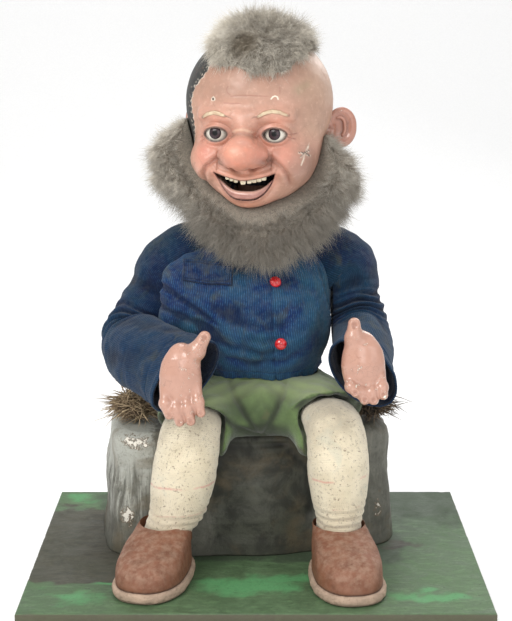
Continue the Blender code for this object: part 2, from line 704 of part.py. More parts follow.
def shoe_ring(side, height, share, grow, turn):
    """A ring of the shoe between the foot outline (share 0) and the ankle opening (share 1)."""
    x, y, along_x, along_y = shoe_frame(side)
    cosine, sine = np.cos(turn), np.sin(turn)
    forward = np.sign(cosine) * np.abs(cosine) ** (2.0 / 2.5)
    across = np.sign(sine) * np.abs(sine) ** (2.0 / 2.5)
    middle = SHOE_LENGTH / 2 - HEEL_BEHIND_ANKLE
    widen = 0.88 + 0.12 * np.clip((forward + 0.5) / 0.9, 0.0, 1.0)
    foot_u = middle + (SHOE_LENGTH / 2 + grow) * forward
    foot_v = (SHOE_HALF_WIDTH + grow) * across * widen
    ankle_u = 0.001 + 0.0300 * cosine
    ankle_v = 0.0285 * sine
    u = foot_u * (1.0 - share) + ankle_u * share
    v = foot_v * (1.0 - share) + ankle_v * share
    return np.stack([x + u * along_x - v * along_y, y + u * along_y + v * along_x,
                     np.full_like(u, height)], axis=1)


def shoe(side, leather, sole_finish):
    """A leather upper on a thick sole."""
    turn = np.linspace(0.0, 2.0 * math.pi, 20, endpoint=False)
    low = BOARD_THICKNESS + SEAT
    rings = [shoe_ring(side, low, 0.0, -0.0012, turn), shoe_ring(side, low + 0.0015, 0.0, 0.0, turn),
             shoe_ring(side, low + SOLE_THICKNESS - 0.0015, 0.0, 0.0, turn),
             shoe_ring(side, low + SOLE_THICKNESS, 0.0, -0.0012, turn)]
    place("shoe_sole_" + side, skin(rings), sole_finish)
    low += SOLE_THICKNESS + SEAT
    levels = ((0.0, 0.0, 0.0), (0.16, -0.01, 0.0), (0.36, 0.03, 0.0), (0.55, 0.16, 0.0), (0.72, 0.40, 0.0),
              (0.87, 0.72, 0.0), (1.0, 1.0, 0.0))
    rings = [shoe_ring(side, low + share * SHOE_HEIGHT, melt_share, -SOLE_RIM, turn)
             for share, melt_share, _ in levels]
    upper = place("shoe_upper_" + side, skin(rings), leather)
    return combine(upper, [stocking_space(side, CLOTH_GAP)], "DIFFERENCE")


# Torso

TORSO_ROWS = ((0.0603, 0.0615, 0.0575, 0.0640), (0.0700, 0.0660, 0.0640, 0.0630), (0.0850, 0.0735, 0.0730, 0.0620),
              (0.1000, 0.0780, 0.0780, 0.0610), (0.1200, 0.0785, 0.0790, 0.0610), (0.1400, 0.0785, 0.0760, 0.0620),
              (0.1580, 0.0785, 0.0700, 0.0640), (0.1730, 0.0780, 0.0620, 0.0660), (0.1870, 0.0730, 0.0530, 0.0670),
              (0.1970, 0.0620, 0.0450, 0.0665), (0.2040, 0.0460, 0.0360, 0.0635), (0.2080, 0.0300, 0.0270, 0.0610),
              (0.2090, NECK_OPENING, NECK_OPENING, 0.0600))


def torso_grid(columns, low=None, extra=0):
    """Rings of the papier-mache bust, from its foot on the block to the neck opening."""
    turn = np.linspace(0.0, 2.0 * math.pi, columns, endpoint=False)
    rows = np.array(TORSO_ROWS)
    if low is not None:
        first = [np.interp(low, rows[:, 0], rows[:, column]) for column in range(4)]
        rows = np.vstack([first, rows[rows[:, 0] > low + 0.002]])
    if extra:
        rows = spread(rows, extra)
    return np.array([rounded_ring((FIGURE_X, y), a, b, SEAT_Z + rise + SEAT,
                                  TORSO_ROUNDNESS if rise < 0.2 else 2.2, turn) for rise, a, b, y in rows]), rows


def shell_between(outer, inner):
    """A closed wall between two open surfaces of rings."""
    return skin(np.concatenate([outer, inner[::-1]]), True)


def armhole_cutters():
    """Two bars that open the shoulders."""
    return [place("cutter", rod((FIGURE_X + side * 0.05, SHOULDER_Y, SHOULDER_Z),
                                (FIGURE_X + side * 0.11, SHOULDER_Y, SHOULDER_Z), ARMHOLE_RADIUS, 12))
            for side in (-1, 1)]


def torso_shell():
    """The hollow bust under the jacket."""
    grid, _ = torso_grid(18)
    grid[1:-1] = push_out(grid, -SHELL_INSET)[1:-1]
    inner = push_out(grid, -SHELL_THICKNESS)
    inner[0, :, 2] = grid[0, :, 2]
    inner[-1, :, 2] = grid[-1, :, 2] - SHELL_THICKNESS
    inner[-1, :, :2] = grid[-1, :, :2]
    piece = place("torso_shell", shell_between(grid, inner), finish_of("bust_card", (0.55, 0.47, 0.36), 0.85))
    return combine(piece, armhole_cutters(), "DIFFERENCE")


def fold_height(grid):
    """Height of the jacket's folds: slack rolls that cross the belly and pulls from each armhole."""
    x = grid[..., 0] - FIGURE_X
    front = np.clip((TORSO_FOLD_Y - grid[..., 1]) / 0.05, 0.0, 1.0)
    rise = grid[..., 2] - SEAT_Z
    roll = np.sin(2.0 * math.pi * (rise / 0.030 + x * 3.0)) * np.exp(-((rise - 0.090) / 0.030) ** 2)
    pull = np.sin(2.0 * math.pi * (rise / 0.042 - np.abs(x) * 9.0)) * np.exp(-((rise - 0.150) / 0.030) ** 2)
    side = np.clip((np.abs(x) - 0.062) / 0.016, 0.0, 1.0)
    return FOLD_HEIGHT * (0.5 + 0.5 * (roll * 0.9 + pull * 0.6) * front) * (1.0 - side)


def jacket_surfaces(columns=28, extra=0):
    """Outer and inner rings of the jacket."""
    grid, rows = torso_grid(columns, HEM_RISE, extra)
    flare = HEM_FLARE * np.clip((0.088 - rows[:, 0]) / 0.024, 0.0, 1.0) ** 1.5
    flare = np.repeat(flare[:, None], columns, axis=1)
    outer = push_out(grid, flare + CLOTH_GAP + JACKET_THICKNESS + fold_height(grid))
    inner = push_out(grid, flare + CLOTH_GAP)
    drop = BACK_HEM_DROP * np.clip((grid[0, :, 1] - 0.085) / 0.03, 0.0, 1.0)
    outer[0, :, 2] = grid[0, :, 2] - drop
    inner[0, :, 2] = grid[0, :, 2] - drop
    return outer, inner


def jacket_body():
    """The needlecord jacket without its sleeves."""
    outer, inner = jacket_surfaces()
    piece = place("jacket_body", shell_between(outer, inner), finish_of("jacket_cord", (0.025, 0.055, 0.16), 0.85))
    return combine(piece, armhole_cutters(), "DIFFERENCE")


def front_point(grid, x, rise):
    """Point and outward normal on the front of a ring grid at an x and a rise above the seat."""
    row = int(np.clip(np.searchsorted(grid[:, :, 2].mean(axis=1), SEAT_Z + rise), 1, len(grid) - 1))
    below, above = grid[row - 1], grid[row]
    share = (SEAT_Z + rise - below[:, 2].mean()) / (above[:, 2].mean() - below[:, 2].mean())
    ring = below + (above - below) * share
    front = np.where(ring[:, 1] < FRONT_LIMIT_Y)[0]
    order = front[np.argsort(ring[front, 0])]
    y = np.interp(x, ring[order, 0], ring[order, 1])
    dx = np.interp(x + 0.004, ring[order, 0], ring[order, 1]) - np.interp(x - 0.004, ring[order, 0], ring[order, 1])
    dz = (np.interp(x, above[order, 0], above[order, 1]) - np.interp(x, below[order, 0], below[order, 1]))
    dz = dz / (above[order, 2].mean() - below[order, 2].mean())
    normal = np.array((dx / 0.008, -1.0, dz))
    return np.array((x, y, SEAT_Z + rise)), normal / np.linalg.norm(normal)


def button(name, x, rise, finish):
    """A small dome that stands on the jacket front."""
    outer, _ = jacket_surfaces()
    point, normal = front_point(outer, x, rise)
    profile = [(BUTTON_RADIUS * 0.92, 0.0), (BUTTON_RADIUS, 0.0010), (BUTTON_RADIUS * 0.96, 0.0022),
               (BUTTON_RADIUS * 0.78, 0.0038), (BUTTON_RADIUS * 0.45, 0.0050), (BUTTON_RADIUS * 0.12, BUTTON_HEIGHT)]
    return place(name, spun(profile, point + normal * BUTTON_STAND_OFF, normal, 12), finish)


def closed_patch(inner, outer):
    """A solid between two open grids of the same size."""
    rows, count = inner.shape[:2]
    points = np.concatenate([inner.reshape(-1, 3), outer.reshape(-1, 3)]).tolist()
    base = rows * count
    faces = []
    for row in range(rows - 1):
        for step in range(count - 1):
            a, b = row * count + step, row * count + step + 1
            c, d = a + count, b + count
            faces.append((a, c, d, b))
            faces.append((base + a, base + b, base + d, base + c))
    rim = [step for step in range(count)]
    rim += [row * count + count - 1 for row in range(1, rows)]
    rim += [(rows - 1) * count + step for step in range(count - 2, -1, -1)]
    rim += [row * count for row in range(rows - 2, 0, -1)]
    for index, one in enumerate(rim):
        two = rim[(index + 1) % len(rim)]
        faces.append((one, two, base + two, base + one))
    return points, faces


def pocket_flap():
    """The flap of the chest pocket, lying on the jacket, with a shallow V below."""
    outer, _ = jacket_surfaces()
    inner, top = [], []
    for row in range(4):
        level = row / 3
        inner_row, top_row = [], []
        for step in range(7):
            part = step / 3 - 1.0
            x = FIGURE_X + FLAP_CENTRE_X + part * FLAP_HALF_WIDTH
            low = FLAP_RISE - FLAP_HEIGHT * (1.0 - 0.28 * abs(part))
            rise = low + (FLAP_RISE - low) * level
            point, normal = front_point(outer, x, rise)
            inner_row.append(point + normal * FLAP_STAND_OFF)
            top_row.append(point + normal * (FLAP_STAND_OFF + FLAP_THICKNESS))
        inner.append(inner_row)
        top.append(top_row)
    return place("pocket_flap", closed_patch(np.array(inner), np.array(top)),
                 finish_of("flap_cord", (0.02, 0.045, 0.14), 0.85))


# Frame and drive

def cheek(side, steel):
    """One upright side plate of the frame, with its bearings for the shafts."""
    inner = FIGURE_X + side * CHEEK_X
    outer = FIGURE_X + side * (CHEEK_X + CHEEK_THICKNESS)
    low, high = BLOCK_TOP_Z + SEAT, SEAT_Z + CHEEK_TOP
    outline = [(CHEEK_Y - CHEEK_HALF_FOOT, low), (CHEEK_Y + CHEEK_HALF_FOOT, low),
               (CHEEK_Y + CHEEK_HALF_MIDDLE, low + 0.014), (CHEEK_Y + CHEEK_HALF_MIDDLE, low + 0.068),
               (CHEEK_Y + CHEEK_HALF_TOP, high), (CHEEK_Y - CHEEK_HALF_TOP, high),
               (CHEEK_Y - CHEEK_HALF_MIDDLE, low + 0.068), (CHEEK_Y - CHEEK_HALF_MIDDLE, low + 0.014)]
    name = "frame_cheek_left" if side < 0 else "frame_cheek_right"
    plate = place(name, prism(outline, min(inner, outer), max(inner, outer), "x"), steel)
    ends = sorted((inner - side * CHEEK_FOOT, inner + side * CHEEK_THICKNESS / 2))
    foot = place("foot", box((ends[0], CHEEK_Y - CHEEK_HALF_FOOT * 0.5, low),
                             (ends[1], CHEEK_Y + CHEEK_HALF_FOOT * 0.3, low + CHEEK_THICKNESS)))
    combine(plate, [foot], "UNION")
    bores = [(SHOULDER_Y, SHOULDER_Z, ROD_RADIUS + RUN), (DRIVE_Y, CAMSHAFT_Z, CAMSHAFT_RADIUS + RUN),
             (ROCKER_PIN_Y, ROCKER_Z, ROCKER_PIN_RADIUS + SEAT)]
    cutters = [place("cutter", rod((inner - side * 0.02, y, z), (inner + side * 0.02, y, z), radius, 12))
               for y, z, radius in bores]
    return combine(plate, cutters, "DIFFERENCE")


def top_bar(steel, brass):
    """The bar between the cheeks, and the flanged bush in it that carries the head."""
    piece = place("frame_top_bar", box((FIGURE_X - CHEEK_HALF_SPAN, NECK_Y - BAR_HALF_DEPTH, BAR_Z),
                                       (FIGURE_X + CHEEK_HALF_SPAN, NECK_Y + BAR_HALF_DEPTH, BAR_Z + BAR_THICKNESS)),
                  steel)
    outer = SHAFT_RADIUS + RUN + BUSH_WALL
    combine(piece, [place("cutter", rod((FIGURE_X, NECK_Y, BAR_Z - 0.01), (FIGURE_X, NECK_Y, BAR_Z + 0.02),
                                        outer + SEAT, 16))], "DIFFERENCE")
    top = BAR_THICKNESS + SEAT
    profile = [(SHAFT_RADIUS + RUN, -0.001), (outer, -0.001), (outer, top), (outer + BUSH_FLANGE, top),
               (outer + BUSH_FLANGE, top + 0.0015), (SHAFT_RADIUS + RUN, top + 0.0015)]
    place("neck_bush", spun(profile, (FIGURE_X, NECK_Y, BAR_Z), (0, 0, 1), 16, True), brass)


def gear_outline(teeth, phase):
    """Outline of a straight-sided gear, centred on (0, 0), with a tooth at the phase angle."""
    pitch = GEAR_MODULE * teeth / 2.0
    root, tip = pitch - GEAR_MODULE * 1.05, pitch + GEAR_MODULE * 0.80
    step = 2.0 * math.pi / teeth
    points = []
    for tooth in range(teeth):
        middle = phase + tooth * step
        for radius, half in ((root, 0.32), (tip, TOOTH_SHARE - 0.30), (tip, 0.30 - TOOTH_SHARE), (root, -0.32)):
            angle = middle - step * half
            points.append((radius * math.cos(angle), radius * math.sin(angle)))
    return points


def gear(name, teeth, centre, phase, bore, finish):
    """A gear across the X axis with a bore."""
    y, z = centre
    outline = [(y + a, z + b) for a, b in gear_outline(teeth, phase)]
    low = FIGURE_X + GEAR_OFFSET - GEAR_WIDTH / 2
    piece = place(name, prism(outline, low, low + GEAR_WIDTH, "x"), finish, (low + GEAR_WIDTH / 2, y, z))
    cutter = place("cutter", rod((low - 0.01, y, z), (low + GEAR_WIDTH + 0.01, y, z), bore, 20))
    return combine(piece, [cutter], "DIFFERENCE")


def cam(name, x, base, lobe, peak, finish, lean=0.0):
    """A plate cam on the camshaft: a base circle with one rounded lobe at the peak angle."""
    count = 14
    turn = np.linspace(0.0, 2.0 * math.pi, count, endpoint=False)
    swell = np.clip(np.cos(turn - peak), 0.0, 1.0) ** 2
    radius = base + (lobe - base) * swell
    bore = CAMSHAFT_RADIUS + SEAT
    rings = []
    for size, offset in ((radius, -0.5), (radius, 0.5), (np.full(count, bore), 0.5), (np.full(count, bore), -0.5)):
        y, z = np.cos(turn) * size, np.sin(turn) * size
        rings.append(np.stack([FIGURE_X + x + offset * CAM_WIDTH + lean * y / lobe, DRIVE_Y + y, CAMSHAFT_Z + z], axis=1))
    return place(name, skin(np.array(rings), True), finish, (FIGURE_X + x, DRIVE_Y, CAMSHAFT_Z))


def drive(steel, brass):
    """Motor, cradle, pinion, camshaft, wheel and cams."""
    paint = finish_of("motor_enamel", (0.10, 0.10, 0.11), 0.45)
    wood = finish_of("cradle_wood", (0.42, 0.29, 0.17), 0.75)
    half = MOTOR_HALF_LENGTH
    profile = [(0.0060, -half - 0.0030), (0.0065, -half), (MOTOR_RADIUS - 0.002, -half), (MOTOR_RADIUS, -half + 0.002),
               (MOTOR_RADIUS, half - 0.002), (MOTOR_RADIUS - 0.002, half), (0.0065, half), (0.0060, half + 0.0030)]
    motor = place("motor", spun(profile, (FIGURE_X, DRIVE_Y, MOTOR_Z), (1, 0, 0), 16), paint)
    shaft_bore = rod((FIGURE_X + half - 0.010, DRIVE_Y, MOTOR_Z), (FIGURE_X + half + 0.02, DRIVE_Y, MOTOR_Z),
                     MOTOR_SHAFT_RADIUS + RUN, 16)
    combine(motor, [place("cutter", shaft_bore)], "DIFFERENCE")
    cradle = place("motor_cradle", box((FIGURE_X - CLAMP_WIDTH / 2, DRIVE_Y - MOTOR_RADIUS - CLAMP_FOOT / 3,
                                        BLOCK_TOP_Z + SEAT),
                                       (FIGURE_X + CLAMP_WIDTH / 2, DRIVE_Y + MOTOR_RADIUS + CLAMP_FOOT / 3,
                                        MOTOR_Z - 0.002)), wood)
    combine(cradle, [place("cutter", rod((FIGURE_X - 0.04, DRIVE_Y, MOTOR_Z), (FIGURE_X + 0.04, DRIVE_Y, MOTOR_Z),
                                         MOTOR_RADIUS + SEAT, 16))], "DIFFERENCE")
    start = FIGURE_X + half - 0.008
    place("motor_shaft", rod((start, DRIVE_Y, MOTOR_Z), (FIGURE_X + GEAR_OFFSET + 0.005, DRIVE_Y, MOTOR_Z),
                             MOTOR_SHAFT_RADIUS, 16), steel, (start, DRIVE_Y, MOTOR_Z))
    gear("motor_pinion", PINION_TEETH, (DRIVE_Y, MOTOR_Z), math.pi / 2, MOTOR_SHAFT_RADIUS + SEAT, brass)
    reach = CHEEK_X + CHEEK_THICKNESS + 0.004
    place("camshaft", rod((FIGURE_X - reach, DRIVE_Y, CAMSHAFT_Z), (FIGURE_X + reach, DRIVE_Y, CAMSHAFT_Z),
                          CAMSHAFT_RADIUS, 20), steel, (FIGURE_X, DRIVE_Y, CAMSHAFT_Z))
    gear("cam_wheel", WHEEL_TEETH, (DRIVE_Y, CAMSHAFT_Z), -math.pi / 2 + math.pi / WHEEL_TEETH,
         CAMSHAFT_RADIUS + SEAT, brass)
    fibre = finish_of("cam_fibre", (0.22, 0.10, 0.05), 0.6)
    cam("cam_arm_left", LEFT_CAM_X, ARM_CAM_BASE, ARM_CAM_LOBE, math.radians(70.0), fibre)
    cam("cam_arm_right", RIGHT_CAM_X, ARM_CAM_BASE, ARM_CAM_LOBE, math.radians(250.0), fibre)
    cam("cam_head", HEAD_CAM_X, HEAD_CAM_RADIUS, HEAD_CAM_RADIUS, 0.0, fibre, HEAD_CAM_TILT)
    cam("cam_jaw", 0.0, JAW_CAM_BASE, JAW_CAM_LOBE, math.radians(90.0), fibre)


def rocker(steel, brass):
    """The jaw rocker on its pin between the cheeks."""
    reach = CHEEK_X + CHEEK_THICKNESS
    place("rocker_pin", rod((FIGURE_X - reach, ROCKER_PIN_Y, ROCKER_Z), (FIGURE_X + reach, ROCKER_PIN_Y, ROCKER_Z),
                            ROCKER_PIN_RADIUS, 16), steel)
    pivot = (FIGURE_X, ROCKER_PIN_Y, ROCKER_Z)
    half = ROCKER_THICKNESS / 2
    piece = place("jaw_rocker", rod((FIGURE_X - ROCKER_HALF_WIDTH, ROCKER_PIN_Y, ROCKER_Z),
                                    (FIGURE_X + ROCKER_HALF_WIDTH, ROCKER_PIN_Y, ROCKER_Z), 0.0042, 20), brass, pivot)
    bar = place("bar", box((FIGURE_X - ROCKER_HALF_WIDTH * 0.8, ROCKER_PIN_Y + 0.0005, ROCKER_Z - half),
                           (FIGURE_X + ROCKER_HALF_WIDTH * 0.8, ROCKER_END_Y, ROCKER_Z + half)))
    combine(piece, [bar], "UNION")
    bore = place("cutter", rod((FIGURE_X - 0.01, ROCKER_PIN_Y, ROCKER_Z), (FIGURE_X + 0.01, ROCKER_PIN_Y, ROCKER_Z),
                               ROCKER_PIN_RADIUS + RUN, 20))
    return combine(piece, [bore], "DIFFERENCE")


# Arms

def arm_pivot(side):
    """The point of the shoulder axis in the plane of the sleeve's inner face."""
    sign = -1.0 if side == "left" else 1.0
    return FIGURE_X + sign * SLEEVE_PLANE, SHOULDER_Y, SHOULDER_Z


def roller_offset():
    """How far the follower's roller hangs below the shoulder axis, clear of the cam's largest radius."""
    reach = ARM_CAM_LOBE + ROLLER_GAP + ROLLER_RADIUS
    return SHOULDER_Z - CAMSHAFT_Z - math.sqrt(reach ** 2 - (DRIVE_Y - SHOULDER_Y) ** 2)


def arm_rod(side, steel):
    """The bent arm rod with its follower lever, one piece of steel."""
    sign = -1.0 if side == "left" else 1.0
    cam_x = LEFT_CAM_X if side == "left" else RIGHT_CAM_X
    y, z = SHOULDER_Y, SHOULDER_Z
    start = FIGURE_X + cam_x - sign * (LEVER_THICKNESS / 2 + 0.001)
    if side == "left":
        path = [(start, y, z), (start - 0.02, y, z), (-0.0700, y, z), (-0.0980, y, z), (-0.1150, 0.0680, 0.3160),
                (-0.1270, 0.0620, 0.2900), (-0.1320, 0.0480, 0.2620), (-0.1240, 0.0150, 0.2500),
                (-0.1060, -0.0300, 0.2450), (-0.0880, -0.0660, 0.2440), (-0.0815, -0.0880, 0.2440)]
    else:
        path = [(start, y, z), (start + 0.02, y, z), (0.0760, y, z), (0.0980, y, z), (0.1080, 0.0680, 0.3140),
                (0.1150, 0.0600, 0.2860), (0.1180, 0.0420, 0.2620), (0.1185, 0.0100, 0.2530),
                (0.1185, -0.0250, 0.2500), (0.1175, -0.0550, 0.2500), (0.1160, -0.0760, 0.2500)]
    rows = np.array([(*point, ROD_RADIUS) for point in path])
    piece = place("arm_rod_" + side, skin(swept_rings(rows, 8, (0, 1, 0))), steel, arm_pivot(side))
    drop = roller_offset()
    outline = []
    for step in range(9):
        angle = math.pi * step / 8
        outline.append((y + LEVER_HUB * math.cos(angle), z + LEVER_HUB * math.sin(angle)))
    for step in range(7):
        angle = math.pi + math.pi * step / 6
        outline.append((y + ROLLER_RADIUS * math.cos(angle), z - drop + ROLLER_RADIUS * math.sin(angle)))
    low = FIGURE_X + cam_x - LEVER_THICKNESS / 2
    lever = place("lever", prism(outline, low, low + LEVER_THICKNESS, "x"))
    return combine(piece, [lever], "UNION")


def sleeve_path(side):
    """Rows of x, y, z, half width and half height down the middle of one sleeve."""
    if side == "left":
        return np.array([(FIGURE_X - SLEEVE_PLANE, 0.0720, 0.3120, 0.0440, 0.0440),
                         (-0.1000, 0.0720, 0.3080, 0.0435, 0.0440), (-0.1210, 0.0680, 0.2880, 0.0400, 0.0400),
                         (-0.1365, 0.0590, 0.2625, 0.0365, 0.0370), (-0.1395, 0.0385, 0.2460, 0.0365, 0.0385),
                         (-0.1290, 0.0080, 0.2440, 0.0400, 0.0400), (-0.1090, -0.0300, 0.2450, 0.0380, 0.0400),
                         (-0.0860, -0.0620, 0.2430, 0.0300, 0.0460), (-0.0750, -0.0800, 0.2400, 0.0240, 0.0500)])
    return np.array([(FIGURE_X + SLEEVE_PLANE, 0.0720, 0.3120, 0.0430, 0.0430),
                     (0.1000, 0.0720, 0.3085, 0.0410, 0.0420), (0.1115, 0.0660, 0.2870, 0.0360, 0.0360),
                     (0.1170, 0.0520, 0.2660, 0.0345, 0.0345), (0.1195, 0.0300, 0.2530, 0.0340, 0.0345),
                     (0.1200, 0.0000, 0.2490, 0.0345, 0.0350), (0.1200, -0.0250, 0.2465, 0.0320, 0.0370),
                     (0.1190, -0.0450, 0.2430, 0.0260, 0.0440), (0.1185, -0.0600, 0.2410, 0.0225, 0.0480)])


def sleeve_rings(side, columns=16, extra=0):
    """Rings of a sleeve's outside, held outside the plane beside the jacket."""
    sign = -1.0 if side == "left" else 1.0
    rows = spread(sleeve_path(side), extra)
    rings = swept_rings(rows, columns, (0, 1, 0), 0.0, (sign, 0.0, 0.0))
    turn = np.linspace(0.0, 2.0 * math.pi, columns, endpoint=False)
    share = np.linspace(0.0, 1.0, len(rings))
    centre = rows[:, None, :3]
    fold = 0.035 * np.sin(2.0 * math.pi * share * 5.5)[:, None] * np.clip(np.cos(turn - 2.2), 0.0, 1.0)[None, :]
    fold *= np.sin(math.pi * share)[:, None]
    rings = centre + (rings - centre) * (1.0 + fold[:, :, None])
    tilt = CUFF_TILT[side] * np.clip((share - 0.72) / 0.28, 0.0, 1.0) ** 1.3
    rings[..., 0] += (rings[..., 2] - rows[:, None, 2]) * tilt[:, None]
    relief = np.clip((0.010 - rings[..., 1]) * 1.3, 0.0, 0.05)
    limit = FIGURE_X + sign * (SLEEVE_PLANE + SLEEVE_STEP - relief)
    rings[..., 0] = np.where(sign * (rings[..., 0] - limit) < 0.0, limit, rings[..., 0])
    rings[0, :, 0] = FIGURE_X + sign * SLEEVE_PLANE
    return rings


def sleeve(side, finish):
    """A hollow sleeve that widens to its gathered cuff."""
    outer = sleeve_rings(side)
    way = outer - outer.mean(axis=1, keepdims=True)
    inner = outer - way / np.linalg.norm(way, axis=2, keepdims=True) * SLEEVE_THICKNESS
    return place("sleeve_" + side, shell_between(outer, inner), finish, arm_pivot(side))


def hand(side, finish):
    """A hand with the thumb up and four curled fingers, socketed on the arm rod."""
    if side == "left":
        wrist = [(-0.0815, -0.0800, 0.2440, 0.0118), (-0.0800, -0.0980, 0.2475, 0.0122), (-0.0790, -0.1120, 0.2500, 0.0128)]
        palm = [(-0.0780, -0.1130, 0.2720, 0.0130, 0.0100), (-0.0785, -0.1165, 0.2620, 0.0190, 0.0128),
                (-0.0790, -0.1185, 0.2480, 0.0208, 0.0132), (-0.0790, -0.1195, 0.2330, 0.0200, 0.0105)]
        fingers = [[(-0.0945, -0.1190, 0.2350, 0.0058), (-0.0940, -0.1270, 0.2200, 0.0057), (-0.0905, -0.1310, 0.2090, 0.0052)],
                   [(-0.0840, -0.1195, 0.2330, 0.0062), (-0.0825, -0.1285, 0.2150, 0.0060), (-0.0795, -0.1320, 0.2020, 0.0054)],
                   [(-0.0735, -0.1195, 0.2340, 0.0062), (-0.0715, -0.1290, 0.2160, 0.0060), (-0.0680, -0.1325, 0.2030, 0.0054)],
                   [(-0.0635, -0.1190, 0.2380, 0.0060), (-0.0605, -0.1275, 0.2220, 0.0058), (-0.0575, -0.1300, 0.2110, 0.0052)]]
        thumb = [(-0.0710, -0.1150, 0.2620, 0.0092), (-0.0620, -0.1210, 0.2750, 0.0085), (-0.0535, -0.1215, 0.2895, 0.0066)]
    else:
        wrist = [(0.1160, -0.0680, 0.2500, 0.0118), (0.1150, -0.0850, 0.2520, 0.0122), (0.1145, -0.0970, 0.2545, 0.0128)]
        palm = [(0.1120, -0.0940, 0.2800, 0.0130, 0.0100), (0.1125, -0.0980, 0.2700, 0.0200, 0.0128),
                (0.1130, -0.1000, 0.2560, 0.0220, 0.0132), (0.1140, -0.1010, 0.2410, 0.0208, 0.0105)]
        fingers = [[(0.0985, -0.1005, 0.2440, 0.0058), (0.1000, -0.1100, 0.2340, 0.0057), (0.1045, -0.1160, 0.2290, 0.0052)],
                   [(0.1090, -0.1010, 0.2410, 0.0062), (0.1105, -0.1110, 0.2280, 0.0060), (0.1140, -0.1170, 0.2215, 0.0054)],
                   [(0.1195, -0.1010, 0.2410, 0.0062), (0.1215, -0.1110, 0.2280, 0.0060), (0.1235, -0.1165, 0.2210, 0.0054)],
                   [(0.1300, -0.1000, 0.2450, 0.0060), (0.1325, -0.1090, 0.2330, 0.0058), (0.1335, -0.1150, 0.2260, 0.0052)]]
        thumb = [(0.1060, -0.0960, 0.2700, 0.0092), (0.1030, -0.1000, 0.2840, 0.0088), (0.1030, -0.1000, 0.2990, 0.0068)]
    piece = place("hand_" + side, domed(np.array(palm), 12, (1, 0, 0)), finish, arm_pivot(side))
    tools = [place("finger", domed(np.array(bones), 6, (1, 0, 0))) for bones in fingers]
    tools.append(place("thumb", domed(np.array(thumb), 7, (1, 0, 0))))
    tools.append(place("wrist", domed(np.array(wrist), 8, (1, 0, 0))))
    combine(piece, tools, "UNION")
    path = {"left": [(-0.1060, -0.0300, 0.2450), (-0.0880, -0.0660, 0.2440), (-0.0815, -0.0880, 0.2440)],
            "right": [(0.1185, -0.0250, 0.2500), (0.1175, -0.0550, 0.2500), (0.1160, -0.0760, 0.2500)]}[side]
    rows = lengthened(np.array([(*point, ROD_RADIUS + SEAT) for point in path]), 0.0, SEAT)
    socket = place("cutter", skin(swept_rings(rows, 8, (0, 1, 0))))
    return combine(piece, [socket], "DIFFERENCE")


# Head

def arc(low, high, step):
    """Angles from low to high in even steps of about a step, all in degrees, given in radians."""
    count = max(2, int(round((high - low) / step)) + 1)
    return np.radians(np.linspace(low, high, count))


def head_solid(name, level, columns=52, add=0.0):
    """The whole head form as one closed solid, for use as a cutter."""
    return place(name, turned(skin(head_grid(arc(6.0, 170.0, 8.2), columns, level, add))))


def mouth_top(x):
    """Height of the mouth's upper edge."""
    return MOUTH_TOP + (MOUTH_CORNER - MOUTH_TOP) * (x / MOUTH_HALF_WIDTH) ** 2


def mouth_low(x):
    """Height of the mouth's lower edge."""
    return MOUTH_BOTTOM + (MOUTH_CORNER - MOUTH_BOTTOM) * (x / MOUTH_HALF_WIDTH) ** 2


def mouth_outline(inset):
    """The mouth opening as (x, z) points."""
    half = MOUTH_HALF_WIDTH - inset * 1.5
    xs = np.linspace(-half, half, 12)
    top = [(x, mouth_top(x) - inset) for x in xs]
    low = [(x, mouth_low(x) + inset) for x in xs[::-1]]
    top[0] = low[-1] = (-half, (mouth_top(half) + mouth_low(half)) / 2)
    top[-1] = low[0] = (half, (mouth_top(half) + mouth_low(half)) / 2)
    return top + low[1:-1]


def eye_outline(side):
    """The almond opening of one eye as (x, z) points."""
    points = []
    for step in range(20):
        angle = 2.0 * math.pi * step / 20
        height = EYE_HALF_HEIGHT * math.sin(angle) * (1.0 - 0.25 * abs(math.cos(angle)) ** 3)
        points.append((side * EYE_X + EYE_HALF_WIDTH * math.cos(angle), EYE_Z + height))
    return points


def neck_cutter(clearance):
    """A bar where the neck tube enters the head."""
    return place("cutter", turned(rod((0, 0, -0.16), (0, 0, -0.058), NECK_RADIUS + clearance, 18)))


def face_mask(finish):
    """The painted face, a thin shell with openings for the eyes and the mouth."""
    outer = head_grid(arc(6.0, MASK_SEAM, 6.3), HEAD_COLUMNS)
    angles = arc(12.0, MASK_SEAM, 13.7)
    inner = head_grid(angles, HEAD_COLUMNS, -HEAD_WALL)
    for shift in np.radians((-6.9, -3.4, 3.4, 6.9)):
        beside = np.linalg.norm(head_grid(angles + shift, HEAD_COLUMNS), axis=2) - HEAD_WALL_LEAST
        reach = np.linalg.norm(inner, axis=2)
        inner *= (np.minimum(reach, beside) / reach)[:, :, None]
    seam = face_ways(np.radians([MASK_SEAM]), HEAD_COLUMNS)[0]
    inner[-1] = seam * (head_radius(seam) - HEAD_WALL)[:, None]
    piece = place("face_mask", turned(skin(np.concatenate([inner, outer[::-1]]))), finish, HEAD_PIVOT)
    cutters = [place("cutter", turned(prism(mouth_outline(0.0), -0.13, -0.045, "y")))]
    for side in (-1.0, 1.0):
        ball = spun([(math.sin(a) * (EYE_RADIUS + EYE_CLEARANCE), -math.cos(a) * (EYE_RADIUS + EYE_CLEARANCE))
                     for a in np.radians(np.linspace(14, 166, 8))], (side * EYE_X, EYE_Y, EYE_Z), (0, 0, 1), 14)
        cutters.append(place("cutter", turned(ball)))
        cutters.append(place("cutter", turned(prism(eye_outline(side), -0.13, EYE_Y, "y"))))
    cutters.append(neck_cutter(SEAT + 0.0003))
    return combine(piece, cutters, "DIFFERENCE")


